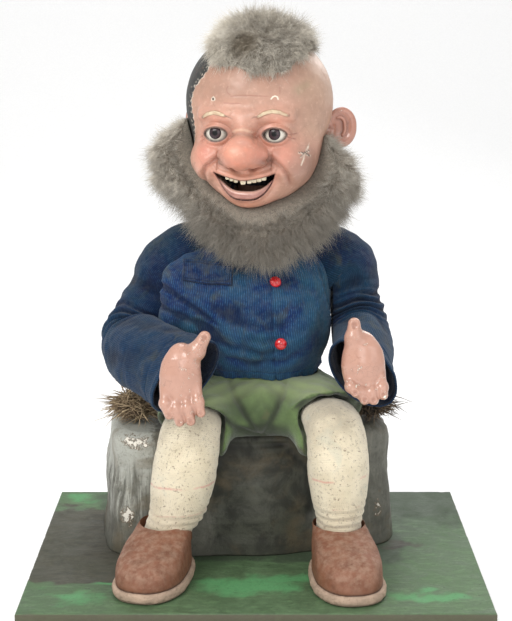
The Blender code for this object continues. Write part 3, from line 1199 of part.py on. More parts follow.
def head_back(finish):
    """The back shell of the head, butted to the mask at the seam before the ears."""
    outer = head_grid(arc(MASK_SEAM + SEAM_GAP, 170.0, 12.5), HEAD_COLUMNS)
    inner = head_grid(arc(MASK_SEAM + SEAM_GAP, 165.0, 23.0), HEAD_COLUMNS, -HEAD_WALL)
    seam = face_ways(np.radians([MASK_SEAM + SEAM_GAP]), HEAD_COLUMNS)[0]
    inner[0] = seam * (head_radius(seam) - HEAD_WALL)[:, None]
    piece = place("head_back", turned(skin(np.concatenate([inner[::-1], outer]))), finish, HEAD_PIVOT)
    return combine(piece, [neck_cutter(SEAT + 0.0003)], "DIFFERENCE")


def ear(side, finish):
    """One ear, a dished disc that butts on the head."""
    name = "ear_left" if side < 0 else "ear_right"
    turn = np.linspace(0.0, 2.0 * math.pi, 12, endpoint=False)
    rings = []
    for size, lift in ((0.25, -0.0035), (0.80, -0.0042), (1.0, -0.0010), (1.0, 0.0015), (0.84, 0.0038), (0.62, 0.0012),
                       (0.22, 0.0004)):
        out = EAR_REACH / 2 * size * np.cos(turn)
        up = EAR_HEIGHT / 2 * size * np.sin(turn) * (1.0 + 0.12 * np.sin(turn))
        x = side * (EAR_X + out * math.cos(EAR_SPLAY) + lift * math.sin(EAR_SPLAY))
        y = EAR_Y - lift * math.cos(EAR_SPLAY) + out * math.sin(EAR_SPLAY)
        rings.append(np.stack([x, y, EAR_Z + up], axis=1))
    piece = place(name, turned(skin(np.array(rings))), finish, HEAD_PIVOT)
    return combine(piece, [head_solid("cutter", 0.0, HEAD_COLUMNS, SEAT + 0.0006)], "DIFFERENCE")


def inner_face_y(x, z):
    """Where the mask's inner face lies ahead of a point inside the head."""
    ys = np.linspace(-0.125, -0.03, 400)
    line = np.stack([np.full_like(ys, x), ys, np.full_like(ys, z)], axis=1)
    return float(ys[int(np.argmax(head_distance(line) < -HEAD_WALL))])


def upper_teeth(finish):
    """The row of upper teeth behind the upper lip."""
    rings = []
    for x in np.linspace(-TEETH_HALF_WIDTH, TEETH_HALF_WIDTH, TOOTH_COUNT + 2):
        top = mouth_top(x) + 0.0035
        low = mouth_top(x) - TEETH_HEIGHT * (1.0 - 0.35 * (x / TEETH_HALF_WIDTH) ** 2)
        front = max(inner_face_y(x, top), inner_face_y(x, low)) + TEETH_SET_BACK
        rings.append([(x, front, low), (x, front + 0.0028, low), (x, front + 0.0028, top), (x, front, top)])
    return place("upper_teeth", turned(skin(np.array(rings))), finish, HEAD_PIVOT)


def beard(finish):
    """The beard, one lumpy pad round the jaw from ear to ear."""
    gammas = np.linspace(-97.0, 97.0, 23)
    outline = np.array(BEARD_OUTLINE)
    inner, outer = [], []
    for row, gamma in enumerate(gammas):
        size = np.interp(gamma, outline[:, 0], outline[:, 1])
        start = np.interp(gamma, outline[:, 0], outline[:, 2])
        end = np.interp(gamma, outline[:, 0], outline[:, 3])
        share = np.linspace(0.0, 1.0, 7)
        angle = np.radians(start + (end - start) * share)
        swing = math.radians(gamma)
        ways = np.stack([np.sin(angle) * math.sin(swing), -np.cos(angle), -np.sin(angle) * math.cos(swing)], axis=1)
        base = head_radius(ways) + HAIR_GAP
        lump = 1.0 + 0.06 * np.sin(share * 9.0 + row * 1.9) + 0.05 * np.sin(row * 2.7 + share * 4.0)
        ends = min(1.0, (row + 0.35) / 2.0, (len(gammas) - row - 0.65) / 2.0)
        swell = np.clip(np.sin(math.pi * np.clip(share, 0.02, 0.98)), 0.0, 1.0) ** 0.55
        full = np.maximum(size * lump - base, 0.004) * swell * ends + 0.002
        inner.append(ways * base[:, None])
        outer.append(ways * (base + full)[:, None])
    return place("beard", turned(closed_patch(np.array(inner), np.array(outer))), finish, HEAD_PIVOT)


def wig(finish):
    """The tuft of hair on the crown."""
    columns = 18
    turn = np.linspace(0.0, 2.0 * math.pi, columns, endpoint=False)
    top = np.array((0.10, -0.10, 1.0))
    top /= np.linalg.norm(top)
    side, ahead = frame_along(top, np.array((1.0, 0.0, 0.0)))
    reach = np.radians(WIG_SIDE + (WIG_FRONT - WIG_SIDE) * np.clip(-np.sin(turn), 0.0, 1.0) ** 2)
    inner, outer = [], []
    for row, share in enumerate((0.10, 0.32, 0.54, 0.74, 0.90, 1.0)):
        angle = reach * share
        ways = (np.cos(angle)[:, None] * top + (np.sin(angle) * np.cos(turn))[:, None] * side
                + (np.sin(angle) * np.sin(turn))[:, None] * ahead)
        base = head_radius(ways) + HAIR_GAP
        lump = 1.0 + 0.14 * np.sin(turn * 4.0 + row * 1.7) + 0.10 * np.sin(turn * 7.0 - row)
        full = WIG_HEIGHT * (1.0 - share ** 3 * 0.93) * lump + 0.0015
        inner.append(ways * base[:, None])
        outer.append(ways * (base + full)[:, None])
    return place("wig", turned(skin(np.array(inner + outer[::-1]))), finish, HEAD_PIVOT)


def head_core(steel, brass, wood):
    """Head shaft, its lever, the wooden block inside the head, the neck tube and the frame of the eyes."""
    foot, block_low = SHAFT_FOOT_Z, HEAD_Z + BLOCK_BOTTOM
    collar = BAR_Z + BAR_THICKNESS + SEAT + 0.0015 + RUN
    flange = block_low - SEAT - SHAFT_FLANGE_THICKNESS
    profile = [(SHAFT_BORE, foot), (SHAFT_RADIUS, foot), (SHAFT_RADIUS, collar), (SHAFT_RADIUS + 0.0038, collar),
               (SHAFT_RADIUS + 0.0038, collar + 0.004), (SHAFT_RADIUS, collar + 0.004), (SHAFT_RADIUS, flange),
               (SHAFT_FLANGE, flange), (SHAFT_FLANGE, flange + SHAFT_FLANGE_THICKNESS),
               (SHAFT_RADIUS, flange + SHAFT_FLANGE_THICKNESS), (SHAFT_RADIUS, HEAD_Z + BLOCK_TOP + SHAFT_STEM),
               (SHAFT_BORE, HEAD_Z + BLOCK_TOP + SHAFT_STEM)]
    place("head_shaft", spun(profile, (FIGURE_X, NECK_Y, 0.0), (0, 0, 1), 12, True), steel, HEAD_PIVOT)
    low = foot + 0.0010
    lever = place("head_lever", rod((FIGURE_X, NECK_Y, low), (FIGURE_X, NECK_Y, low + 0.005), 0.0095, 12), brass,
                  HEAD_PIVOT)
    tip = np.array((FIGURE_X + HEAD_LEVER_X, NECK_Y + HEAD_LEVER_Y, low + 0.0025))
    arm = place("arm", rod((FIGURE_X + 0.004, NECK_Y + 0.002, low + 0.0025), tip + (0.0015, 0.0008, 0.0), 0.0022, 8))
    finger = place("finger", rod(tip + (0, 0, 0.0020), (tip[0], tip[1], CAMSHAFT_Z + HEAD_CAM_RADIUS + 0.003), 0.0018, 8))
    combine(lever, [arm, finger], "UNION")
    combine(lever, [place("cutter", rod((FIGURE_X, NECK_Y, low - 0.01), (FIGURE_X, NECK_Y, low + 0.02),
                                        SHAFT_RADIUS + SEAT, 12))], "DIFFERENCE")
    radius = NECK_RADIUS
    profile = [(SHAFT_RADIUS + SEAT, BLOCK_BOTTOM), (radius, BLOCK_BOTTOM), (radius, BLOCK_TOP),
               (SHAFT_RADIUS + SEAT, BLOCK_TOP)]
    place("head_block", turned(spun(profile, (0, 0, 0), (0, 0, 1), 18, True)), wood, HEAD_PIVOT)
    low = SEAT_Z + TORSO_ROWS[-1][0] + CLOTH_GAP + JACKET_THICKNESS + NECK_CLEARANCE - HEAD_Z
    profile = [(radius - NECK_WALL, low), (radius, low), (radius, BLOCK_BOTTOM - SEAT), (radius - NECK_WALL, BLOCK_BOTTOM - SEAT)]
    place("neck_tube", turned(spun(profile, (0, 0, 0), (0, 0, 1), 18, True)),
          finish_of("neck_card", (0.42, 0.27, 0.20), 0.7), HEAD_PIVOT)
    front, back, sheet = EYE_Y - 0.0028, EYE_Y + EYE_FRAME_DEPTH, EYE_FRAME_SHEET
    top, low = EYE_Z + 0.0180, EYE_Z - 0.0180
    outline = [(front, top), (back, top), (back, low), (front, low), (front, low - sheet), (back + sheet, low - sheet),
               (back + sheet, top + sheet), (front, top + sheet)]
    piece = place("eye_frame", turned(prism(outline, -EYE_FRAME_HALF, EYE_FRAME_HALF, "x")), steel, HEAD_PIVOT)
    leg = place("leg", turned(box((-0.008, back + 0.0002, BLOCK_TOP + SEAT), (0.008, back + sheet - 0.0002, low + 0.004))))
    combine(piece, [leg], "UNION")
    pins = [place("cutter", turned(rod((side * EYE_X, EYE_Y, EYE_Z - 0.03), (side * EYE_X, EYE_Y, EYE_Z + 0.03),
                                       EYE_PIN_RADIUS + RUN, 14))) for side in (-1, 1)]
    combine(piece, pins, "DIFFERENCE")


def eye_pivot(side):
    """The middle of one eye in the world."""
    return tuple(to_world(np.array((side * EYE_X, EYE_Y, EYE_Z))))


def eyes(steel, brass):
    """Glass eyes on upright pins, each pin with an arm, and the link that joins the two arms."""
    glass = finish_of("eye_glass", (0.75, 0.72, 0.66), 0.08)
    arm_low = EYE_Z + 0.0180 + EYE_FRAME_SHEET + SEAT
    for side in (-1, 1):
        word = "left" if side < 0 else "right"
        pivot = eye_pivot(side)
        x = side * EYE_X
        ball = spun([(math.sin(a) * EYE_RADIUS, -math.cos(a) * EYE_RADIUS) for a in np.radians(np.linspace(14, 166, 8))],
                    (x, EYE_Y, EYE_Z), (0, 0, 1), 14)
        globe = place("eyeball_" + word, turned(ball), glass, pivot)
        combine(globe, [place("cutter", turned(rod((x, EYE_Y, EYE_Z - 0.03), (x, EYE_Y, EYE_Z + 0.03),
                                                   EYE_PIN_RADIUS + SEAT, 14)))], "DIFFERENCE")
        pin = place("eye_pin_" + word, turned(rod((x, EYE_Y, EYE_Z - EYE_PIN_REACH), (x, EYE_Y, arm_low + 0.0022),
                                                  EYE_PIN_RADIUS, 14)), brass, pivot)
        arm = place("arm", turned(box((x - 0.0022, EYE_Y - 0.0022, arm_low), (x + 0.0022, EYE_Y + EYE_ARM + 0.0022,
                                                                           arm_low + 0.0018))))
        peg = place("peg", turned(rod((x, EYE_Y + EYE_ARM, arm_low + 0.0006), (x, EYE_Y + EYE_ARM, arm_low + 0.0050),
                                      EYE_PEG_RADIUS, 12)))
        combine(pin, [arm, peg], "UNION")
    low = arm_low + 0.0018 + SEAT
    y = EYE_Y + EYE_ARM
    link = place("eye_link", turned(box((-EYE_X - 0.004, y - LINK_HALF_WIDTH, low), (EYE_X + 0.004, y + LINK_HALF_WIDTH,
                                                                                   low + LINK_THICKNESS))),
                 steel, tuple(to_world(np.array((0.0, y, low)))))
    slots = []
    for side in (-1, 1):
        x = side * EYE_X
        half_x, half_y = EYE_PEG_RADIUS + RUN, EYE_PEG_RADIUS + 0.0009
        slots.append(place("cutter", turned(box((x - half_x, y - half_y, low - 0.01), (x + half_x, y + half_y, low + 0.01)))))
    combine(link, slots, "DIFFERENCE")


def jaw(lip_finish, steel, brass):
    """The lower lip and jaw, its pivot post and the push rod in the head shaft."""
    rings = []
    half = LIP_HALF_WIDTH
    for x in np.linspace(-half, half, 11):
        low = mouth_low(x) + LIP_CLEARANCE
        high = low + max(LIP_HEIGHT * (1.0 - (x / half) ** 2), 0.0008)
        middle = (low + high) / 2
        outer = inner_face_y(x, middle) - HEAD_WALL - 0.0006
        rings.append([(x, outer + 0.0008, low), (x, -0.058, low), (x, -0.058, high), (x, outer + 0.0022, high),
                      (x, outer, middle)])
    pivot = tuple(to_world(np.array((0.0, JAW_PIVOT_Y, JAW_PIVOT_Z))))
    piece = place("lower_jaw", turned(skin(np.array(rings))), lip_finish, pivot)
    tools = []
    for side in (-1, 1):
        x = side * JAW_ARM_X
        low = mouth_low(JAW_ARM_X) + LIP_CLEARANCE + 0.0006
        outline = [(-0.062, low), (-0.062, low + 0.0022), (-0.050, low + 0.0060), (JAW_PIVOT_Y - 0.003, JAW_PIVOT_Z + 0.0046),
                   (JAW_PIVOT_Y + 0.003, JAW_PIVOT_Z + 0.0046), (0.0022, JAW_PIVOT_Z + 0.0022), (0.0022, JAW_PIVOT_Z - 0.0022),
                   (JAW_PIVOT_Y + 0.003, JAW_PIVOT_Z - 0.0040), (JAW_PIVOT_Y - 0.003, JAW_PIVOT_Z - 0.0040)]
        tools.append(place("arm", turned(prism(outline, x - 0.002, x + 0.002, "x"))))
    tools.append(place("cross", turned(rod((-JAW_ARM_X - 0.0008, 0.0, JAW_PIVOT_Z), (JAW_ARM_X + 0.0008, 0.0, JAW_PIVOT_Z),
                                           0.0018, 12))))
    combine(piece, tools, "UNION")
    combine(piece, [place("cutter", turned(rod((-0.05, JAW_PIVOT_Y, JAW_PIVOT_Z), (0.05, JAW_PIVOT_Y, JAW_PIVOT_Z),
                                               JAW_PIN_RADIUS + RUN, 16)))], "DIFFERENCE")
    post = place("jaw_post", turned(box((-0.009, JAW_PIVOT_Y - 0.0042, BLOCK_TOP + SEAT),
                                        (0.009, JAW_PIVOT_Y + 0.0042, JAW_PIVOT_Z + 0.0042))), steel, HEAD_PIVOT)
    combine(post, [place("pin", turned(rod((-JAW_ARM_X - 0.0045, JAW_PIVOT_Y, JAW_PIVOT_Z),
                                           (JAW_ARM_X + 0.0045, JAW_PIVOT_Y, JAW_PIVOT_Z), JAW_PIN_RADIUS, 16)))], "UNION")
    foot = ROCKER_Z + ROCKER_THICKNESS / 2 + SEAT
    top = HEAD_Z + JAW_PIVOT_Z - 0.0018 - SEAT
    profile = [(0.0008, foot), (0.0030, foot + 0.0004), (0.0030, foot + 0.0016), (JAW_ROD_RADIUS, foot + 0.0020),
               (JAW_ROD_RADIUS, top - 0.0004), (0.0006, top)]
    place("jaw_rod", spun(profile, (FIGURE_X, NECK_Y, 0.0), (0, 0, 1), 14), brass, (FIGURE_X, NECK_Y, foot))


def build():
    """Make every sub-part."""
    clear_scene()
    steel = finish_of("bright_steel", (0.52, 0.52, 0.53), 0.35, 1.0)
    brass = finish_of("plain_brass", (0.62, 0.47, 0.22), 0.35, 1.0)
    base_board()
    rock_seat()
    straw("straw_left", LEFT_STRAW, (0.031, 0.036, 0.028), 5)
    straw("straw_right", RIGHT_STRAW, (0.024, 0.034, 0.032), 9)
    wool = finish_of("stocking_wool", (0.52, 0.46, 0.37), 0.95)
    leather = finish_of("shoe_leather", (0.26, 0.09, 0.045), 0.6)
    sole = finish_of("shoe_sole", (0.48, 0.35, 0.27), 0.85)
    for side in ("left", "right"):
        stocking(side, wool)
        shoe(side, leather, sole)
    hip_block()
    shorts()
    for side in (-1, 1):
        cheek(side, steel)
    top_bar(steel, brass)
    drive(steel, brass)
    rocker(steel, brass)
    torso_shell()
    jacket_body()
    pocket_flap()
    red = finish_of("button_red", (0.55, 0.02, 0.03), 0.3)
    button("button_upper", *UPPER_BUTTON, red)
    button("button_lower", *LOWER_BUTTON, red)
    cord = finish_of("sleeve_cord", (0.03, 0.065, 0.18), 0.85)
    skin_paint = finish_of("hand_paint", (0.62, 0.30, 0.20), 0.35)
    for side in ("left", "right"):
        arm_rod(side, steel)
        sleeve(side, cord)
        hand(side, skin_paint)
    face_mask(finish_of("face_paint", (0.62, 0.31, 0.20), 0.35))
    head_back(finish_of("head_back_paint", (0.05, 0.04, 0.04), 0.5))
    ear_paint = finish_of("ear_paint", (0.50, 0.22, 0.15), 0.35)
    ear(-1.0, ear_paint)
    ear(1.0, ear_paint)
    upper_teeth(finish_of("teeth_paint", (0.78, 0.70, 0.52), 0.4))
    beard(finish_of("beard_fur", (0.42, 0.37, 0.32), 0.95))
    wig(finish_of("wig_fur", (0.40, 0.36, 0.31), 0.95))
    head_core(steel, brass, finish_of("head_block_wood", (0.45, 0.31, 0.18), 0.7))
    eyes(steel, brass)
    jaw(finish_of("lip_paint", (0.45, 0.13, 0.10), 0.35), steel, brass)


build()
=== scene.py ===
"""A seated dwarf automaton for a shop window: the surfaces and finishes over its packed frame.

Every surface is worked out with numpy as a whole grid, in metres, in the frame of the packed
model: +Z up, the figure looks to -Y. Each function's docstring gives its formula in words.
"""
import math

import bpy
import numpy as np
from bpy.props import FloatProperty, FloatVectorProperty, IntProperty, PointerProperty
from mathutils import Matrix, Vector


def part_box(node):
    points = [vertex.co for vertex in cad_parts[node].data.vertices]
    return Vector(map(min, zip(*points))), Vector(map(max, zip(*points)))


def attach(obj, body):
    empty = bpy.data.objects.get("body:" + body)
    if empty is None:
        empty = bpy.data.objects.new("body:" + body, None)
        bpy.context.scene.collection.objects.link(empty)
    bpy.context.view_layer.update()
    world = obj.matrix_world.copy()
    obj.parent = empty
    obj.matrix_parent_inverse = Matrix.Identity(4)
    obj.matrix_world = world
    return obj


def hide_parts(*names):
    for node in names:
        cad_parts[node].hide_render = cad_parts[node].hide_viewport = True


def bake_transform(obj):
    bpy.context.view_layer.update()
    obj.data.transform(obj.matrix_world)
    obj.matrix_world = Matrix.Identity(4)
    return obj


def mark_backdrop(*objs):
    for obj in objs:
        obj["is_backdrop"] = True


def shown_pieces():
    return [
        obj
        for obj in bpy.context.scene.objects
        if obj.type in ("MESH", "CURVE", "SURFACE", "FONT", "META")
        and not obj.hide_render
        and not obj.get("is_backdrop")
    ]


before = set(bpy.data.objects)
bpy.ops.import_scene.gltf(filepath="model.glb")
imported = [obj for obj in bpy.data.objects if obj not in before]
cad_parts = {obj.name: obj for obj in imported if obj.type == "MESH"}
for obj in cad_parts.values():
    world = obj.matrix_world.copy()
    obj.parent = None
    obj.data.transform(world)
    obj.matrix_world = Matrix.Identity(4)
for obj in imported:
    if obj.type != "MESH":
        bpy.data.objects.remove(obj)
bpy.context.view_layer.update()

bl_info = {
    "name": "Seated dwarf automaton",
    "version": (1, 0, 0),
    "blender": (4, 5, 0),
    "location": "View3D > Sidebar > Automaton",
    "description": "Builds the surfaces and finishes of an electric shop-window dwarf",
    "category": "Object",
}

TAU = 2.0 * math.pi

# Places that the packed solids were built from
FIGURE_X = 0.003
SEAT_Z = 0.1543
GAP = 0.0003
NECK_Y = 0.060
HEAD_Z = 0.5053
HEAD_TURN = math.radians(-11.0)


# Grids and meshes

def ease(value, low, high):
    """0 below low, 1 above high, and 3t^2 - 2t^3 of the share between them."""
    share = np.clip((np.asarray(value, dtype=float) - low) / (high - low), 0.0, 1.0)
    return share * share * (3.0 - 2.0 * share)


def bell(value, centre, width):
    """A bell curve, exp of minus the squared distance from the centre over the width."""
    return np.exp(-((np.asarray(value, dtype=float) - centre) / width) ** 2)


def waves(points, seed, scale, octaves=3):
    """Smooth seeded noise near -1 to 1: a sum of sines along random directions, each octave finer and weaker."""
    rng = np.random.default_rng(seed)
    total = np.zeros(points.shape[:-1])
    strength = 1.0
    for octave in range(octaves):
        ways = rng.normal(size=(7, 3))
        ways /= np.linalg.norm(ways, axis=1, keepdims=True)
        pitch = TAU / scale * 2.0 ** octave * rng.uniform(0.7, 1.3, 7)
        start = rng.uniform(0.0, TAU, 7)
        bend = np.sin(points @ ways[::-1].T * pitch * 0.37 + start[::-1])
        total += strength * np.sin(points @ ways.T * pitch + start + 1.3 * bend).sum(axis=-1) / 3.7
        strength *= 0.5
    return total / 1.6


def curve(rows, count):
    """Catmull-Rom curve through rows, read at evenly spaced parameters; extra columns are carried along."""
    rows = np.asarray(rows, dtype=float)
    full = np.vstack([2 * rows[0] - rows[1], rows, 2 * rows[-1] - rows[-2]])
    place = np.linspace(0.0, len(rows) - 1.0, count)
    index = np.minimum(place.astype(int), len(rows) - 2)
    t = (place - index)[:, None]
    a, b, c, d = (full[index + step] for step in range(4))
    return 0.5 * (2 * b + (c - a) * t + (2 * a - 5 * b + 4 * c - d) * t * t + (3 * b - a - 3 * c + d) * t ** 3)


def across_of(way, side):
    """Two unit vectors square to a direction, the first as near to side as it can be."""
    side = side - way * (side * way).sum(axis=-1, keepdims=True)
    side = side / np.linalg.norm(side, axis=-1, keepdims=True)
    return side, np.cross(way, side)


def tube(rows, columns, side, start_way=None):
    """Rings about a path of x, y, z, half width, half height: centre + cos(a) w across + sin(a) h up,
    where across is carried from ring to ring without twist."""
    centres, sizes = rows[:, :3], rows[:, 3:5]
    ways = np.gradient(centres, axis=0)
    if start_way is not None:
        ways[0] = start_way
    ways /= np.linalg.norm(ways, axis=1, keepdims=True)
    turn = np.linspace(0.0, TAU, columns, endpoint=False)
    across = np.array(side, dtype=float)
    rings = np.empty((len(rows), columns, 3))
    for index, way in enumerate(ways):
        across, up = across_of(way, across)
        rings[index] = (centres[index] + np.cos(turn)[:, None] * across * sizes[index, 0]
                        + np.sin(turn)[:, None] * up * sizes[index, 1])
    return rings


def ring_of(centre_x, centre_y, half_x, half_y, power, turn):
    """Superellipse in plan: x and y are the half sizes times the signed 2/power powers of cosine and sine."""
    cosine, sine = np.cos(turn), np.sin(turn)
    x = centre_x + half_x * np.sign(cosine) * np.abs(cosine) ** (2.0 / power)
    y = centre_y + half_y * np.sign(sine) * np.abs(sine) ** (2.0 / power)
    return x, y


def normals_of(grid, wrap=True):
    """Unit normals of a grid of rings: cross product of the step along the ring and the step up the rows."""
    if wrap:
        along = np.roll(grid, -1, axis=1) - np.roll(grid, 1, axis=1)
    else:
        along = np.gradient(grid, axis=1)
    normal = np.cross(along, np.gradient(grid, axis=0))
    return normal / (np.linalg.norm(normal, axis=2, keepdims=True) + 1e-12)


def push(grid, height, wrap=True):
    """Move each point of a grid along its normal by a height."""
    return grid + normals_of(grid, wrap) * np.asarray(height)[..., None]


def mesh_of(name, points, faces, smooth=True):
    """A mesh from an array of points and an array of faces of equal size."""
    mesh = bpy.data.meshes.new(name)
    points = np.asarray(points, dtype=np.float32)
    faces = np.asarray(faces, dtype=np.int32)
    mesh.vertices.add(len(points))
    mesh.vertices.foreach_set("co", points.ravel())
    mesh.loops.add(faces.size)
    mesh.loops.foreach_set("vertex_index", faces.ravel())
    mesh.polygons.add(len(faces))
    mesh.polygons.foreach_set("loop_start", np.arange(len(faces), dtype=np.int32) * faces.shape[1])
    mesh.update(calc_edges=True)
    mesh.validate()
    if smooth:
        mesh.polygons.foreach_set("use_smooth", np.ones(len(mesh.polygons), dtype=bool))
    return mesh


def object_of(name, mesh, body, material):
    """Link a mesh as an object at the origin that rides on a body."""
    piece = bpy.data.objects.new(name, mesh)
    bpy.context.scene.collection.objects.link(piece)
    mesh.materials.append(material)
    if body is not None:
        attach(piece, body)
    return piece


def grid_faces(rows, columns, wrap=False, loop=False):
    """Quads of a grid; wrap joins the last column to the first, loop the last row to the first."""
    r = np.arange(rows if loop else rows - 1)[:, None]
    c = np.arange(columns if wrap else columns - 1)[None, :]
    above, ahead = (r + 1) % rows, (c + 1) % columns
    quads = np.stack([r * columns + c, r * columns + ahead, above * columns + ahead, above * columns + c], axis=-1)
    return quads.reshape(-1, 4)


def set_uv(mesh, u, v, rows, columns, wrap, loop):
    """Give each corner its u and v; the arrays hold one more column or row where the grid closes."""
    r = np.arange(rows if loop else rows - 1)[:, None]
    c = np.arange(columns if wrap else columns - 1)[None, :]
    corners = np.stack([np.stack([a[r, c], a[r, c + 1], a[r + 1, c + 1], a[r + 1, c]], axis=-1) for a in (u, v)],
                       axis=-1)
    layer = mesh.uv_layers.new(name="UVMap")
    flat = np.zeros((len(mesh.loops), 2), dtype=np.float32)
    flat[:corners.size // 2] = corners.reshape(-1, 2)
    layer.uv.foreach_set("vector", flat.ravel())


def lengths(grid, wrap=True):
    """Distance run round each ring and up each column, in metres, for use as u and v."""
    ahead = np.concatenate([grid, grid[:, :1]], axis=1) if wrap else grid
    u = np.concatenate([np.zeros((len(grid), 1)), np.cumsum(np.linalg.norm(np.diff(ahead, axis=1), axis=2), axis=1)],
                       axis=1)
    rise = np.linalg.norm(np.diff(ahead, axis=0), axis=2).mean(axis=1)
    v = np.concatenate([[0.0], np.cumsum(rise)])[:, None] * np.ones((1, ahead.shape[1]))
    u = u / u[:, -1:] * u[:, -1].mean()
    return u, v


def paint_points(mesh, values, name="paint"):
    """Store a colour for each point."""
    layer = mesh.color_attributes.new(name=name, type="FLOAT_COLOR", domain="POINT")
    full = np.ones((len(mesh.vertices), 4), dtype=np.float32)
    full[:, :values.shape[1]] = values
    layer.data.foreach_set("color", full.ravel())


def fan_faces(row, columns, centre, turned=False):
    """Quads that close a ring with an even number of points, each from the centre point over two steps."""
    step = np.arange(0, columns, 2)
    one, two, three = (row * columns + (step + k) % columns for k in range(3))
    fan = np.stack([np.full_like(step, centre), one, two, three], axis=1)
    return fan[:, ::-1] if turned else fan


def skin_mesh(name, rings, close=(True, True), uv=None):
    """A mesh from rings of points, its first and last rings closed by a fan of triangles drawn as quads."""
    rows, columns = rings.shape[:2]
    points = rings.reshape(-1, 3)
    faces = grid_faces(rows, columns, wrap=True)
    extra = []
    for row, shut, turned in ((0, close[0], True), (rows - 1, close[1], False)):
        if not shut:
            continue
        centre = len(points)
        points = np.vstack([points, rings[row].mean(axis=0)])
        extra.append(fan_faces(row, columns, centre, turned))
    mesh = mesh_of(name, points, np.vstack([faces, *extra]) if extra else faces)
    if uv is not None:
        set_uv(mesh, *uv, rows, columns, True, False)
    return mesh


def shell_mesh(name, outer, inner, uv=None):
    """A closed wall between two grids of rings: out along one, back along the other, joined at both ends."""
    both = np.concatenate([outer, inner[::-1]])
    rows, columns = both.shape[:2]
    mesh = mesh_of(name, both.reshape(-1, 3), grid_faces(rows, columns, wrap=True, loop=True))
    if uv is not None:
        u, v = uv
        u = np.concatenate([u, u[::-1], u[:1]])
        v = np.concatenate([v, v[::-1], v[:1]])
        set_uv(mesh, u, v, rows, columns, True, True)
    return mesh


def patch_mesh(name, outer, inner, uv=None):
    """A closed wall between two open grids of one size, its four edges closed."""
    rows, columns = outer.shape[:2]
    top = grid_faces(rows, columns)
    base = rows * columns
    rim = np.concatenate([np.arange(columns), np.arange(1, rows) * columns + columns - 1,
                          (rows - 1) * columns + np.arange(columns - 2, -1, -1),
                          np.arange(rows - 2, 0, -1) * columns])
    ahead = np.roll(rim, -1)
    sides = np.stack([ahead, rim, base + rim, base + ahead], axis=1)
    mesh = mesh_of(name, np.vstack([outer.reshape(-1, 3), inner.reshape(-1, 3)]),
                   np.vstack([top, top[:, ::-1] + base, sides]))
    if uv is not None:
        set_uv(mesh, *uv, rows, columns, False, False)
    return mesh


def cloth_area(mesh):
    """Half of a closed wall's area, which is the cloth's own."""
    area = np.empty(len(mesh.polygons))
    mesh.polygons.foreach_get("area", area)
    return float(area.sum()) / 2.0


def strands(name, roots, ways, bends, lengths_of, width, sides=3, parts=4, curl=None):
    """Thin closed tapered hairs or straws. A hair's line is root + way s L + bend s^2 L with s from 0 to 1,
    plus a curl that grows with s; its ring radius is width (1 - 0.85 s), and its tip is a point."""
    count = len(roots)
    share = np.linspace(0.0, 1.0, parts + 1)
    line = (roots[:, None] + ways[:, None] * (share * 1.0)[None, :, None] * lengths_of[:, None, None]
            + bends[:, None] * (share ** 2)[None, :, None] * lengths_of[:, None, None])
    if curl is not None:
        line += curl(share)
    way = np.gradient(line, axis=1)
    way /= np.linalg.norm(way, axis=2, keepdims=True) + 1e-12
    helper = np.where(np.abs(way[..., 2:3]) < 0.8, np.array((0.0, 0.0, 1.0)), np.array((1.0, 0.0, 0.0)))
    across, up = across_of(way, helper)
    turn = np.linspace(0.0, TAU, sides, endpoint=False)
    radius = (np.asarray(width).reshape(-1, 1) * (1.0 - 0.85 * share[None, :]))[:, :parts]
    rings = (line[:, :parts, None] + (np.cos(turn)[:, None] * across[:, :parts, None]
                                      + np.sin(turn)[:, None] * up[:, :parts, None]) * radius[:, :, None, None])
    each = parts * sides + 1
    points = np.concatenate([rings.reshape(count, -1, 3), line[:, -1:]], axis=1)
    one = []
    for row in range(parts - 1):
        for step in range(sides):
            ahead = (step + 1) % sides
            a, b = row * sides + step, row * sides + ahead
            one += [(a, b, b + sides), (a, b + sides, a + sides)]
    last = (parts - 1) * sides
    one += [(last + step, last + (step + 1) % sides, each - 1) for step in range(sides)]
    one += [(0, step + 1, step) for step in range(1, sides - 1)]
    faces = (np.array(one)[None] + (np.arange(count) * each)[:, None, None]).reshape(-1, 3)
    mesh = mesh_of(name, points.reshape(-1, 3), faces)
    rng = np.random.default_rng(len(roots))
    tone = rng.random(count)[:, None] * np.ones((1, each))
    along = np.concatenate([np.repeat(share[:parts], sides), [1.0]])[None] * np.ones((count, 1))
    paint_points(mesh, np.stack([tone, along, np.zeros_like(tone)], axis=-1).reshape(-1, 3), "strand")
    return mesh


# Smooth solids from a distance

def ball_distance(points, centre, sizes):
    """Distance to an ellipsoid, close to exact near its skin."""
    local = (points - np.array(centre)) / np.array(sizes)
    outer = np.linalg.norm(local, axis=-1)
    slope = np.linalg.norm(local / np.array(sizes), axis=-1) + 1e-9
    return outer * (outer - 1.0) / slope


def bar_distance(points, start, end, radius, radius_end=None):
    """Distance to a round bar with rounded ends, its radius changing evenly along it."""
    start, end = np.array(start, dtype=float), np.array(end, dtype=float)
    way = end - start
    share = np.clip((points - start) @ way / way.dot(way), 0.0, 1.0)
    size = radius if radius_end is None else radius + (radius_end - radius) * share
    return np.linalg.norm(points - start - share[..., None] * way, axis=-1) - size


def melt(one, two, width):
    """Smooth union of two distances: the lesser, rounded off over a width."""
    share = np.clip(0.5 + 0.5 * (two - one) / width, 0.0, 1.0)
    return two + (one - two) * share - width * share * (1.0 - share)


def carve(one, two, width):
    """Smooth cut of the second distance out of the first."""
    return -melt(-one, two, width)


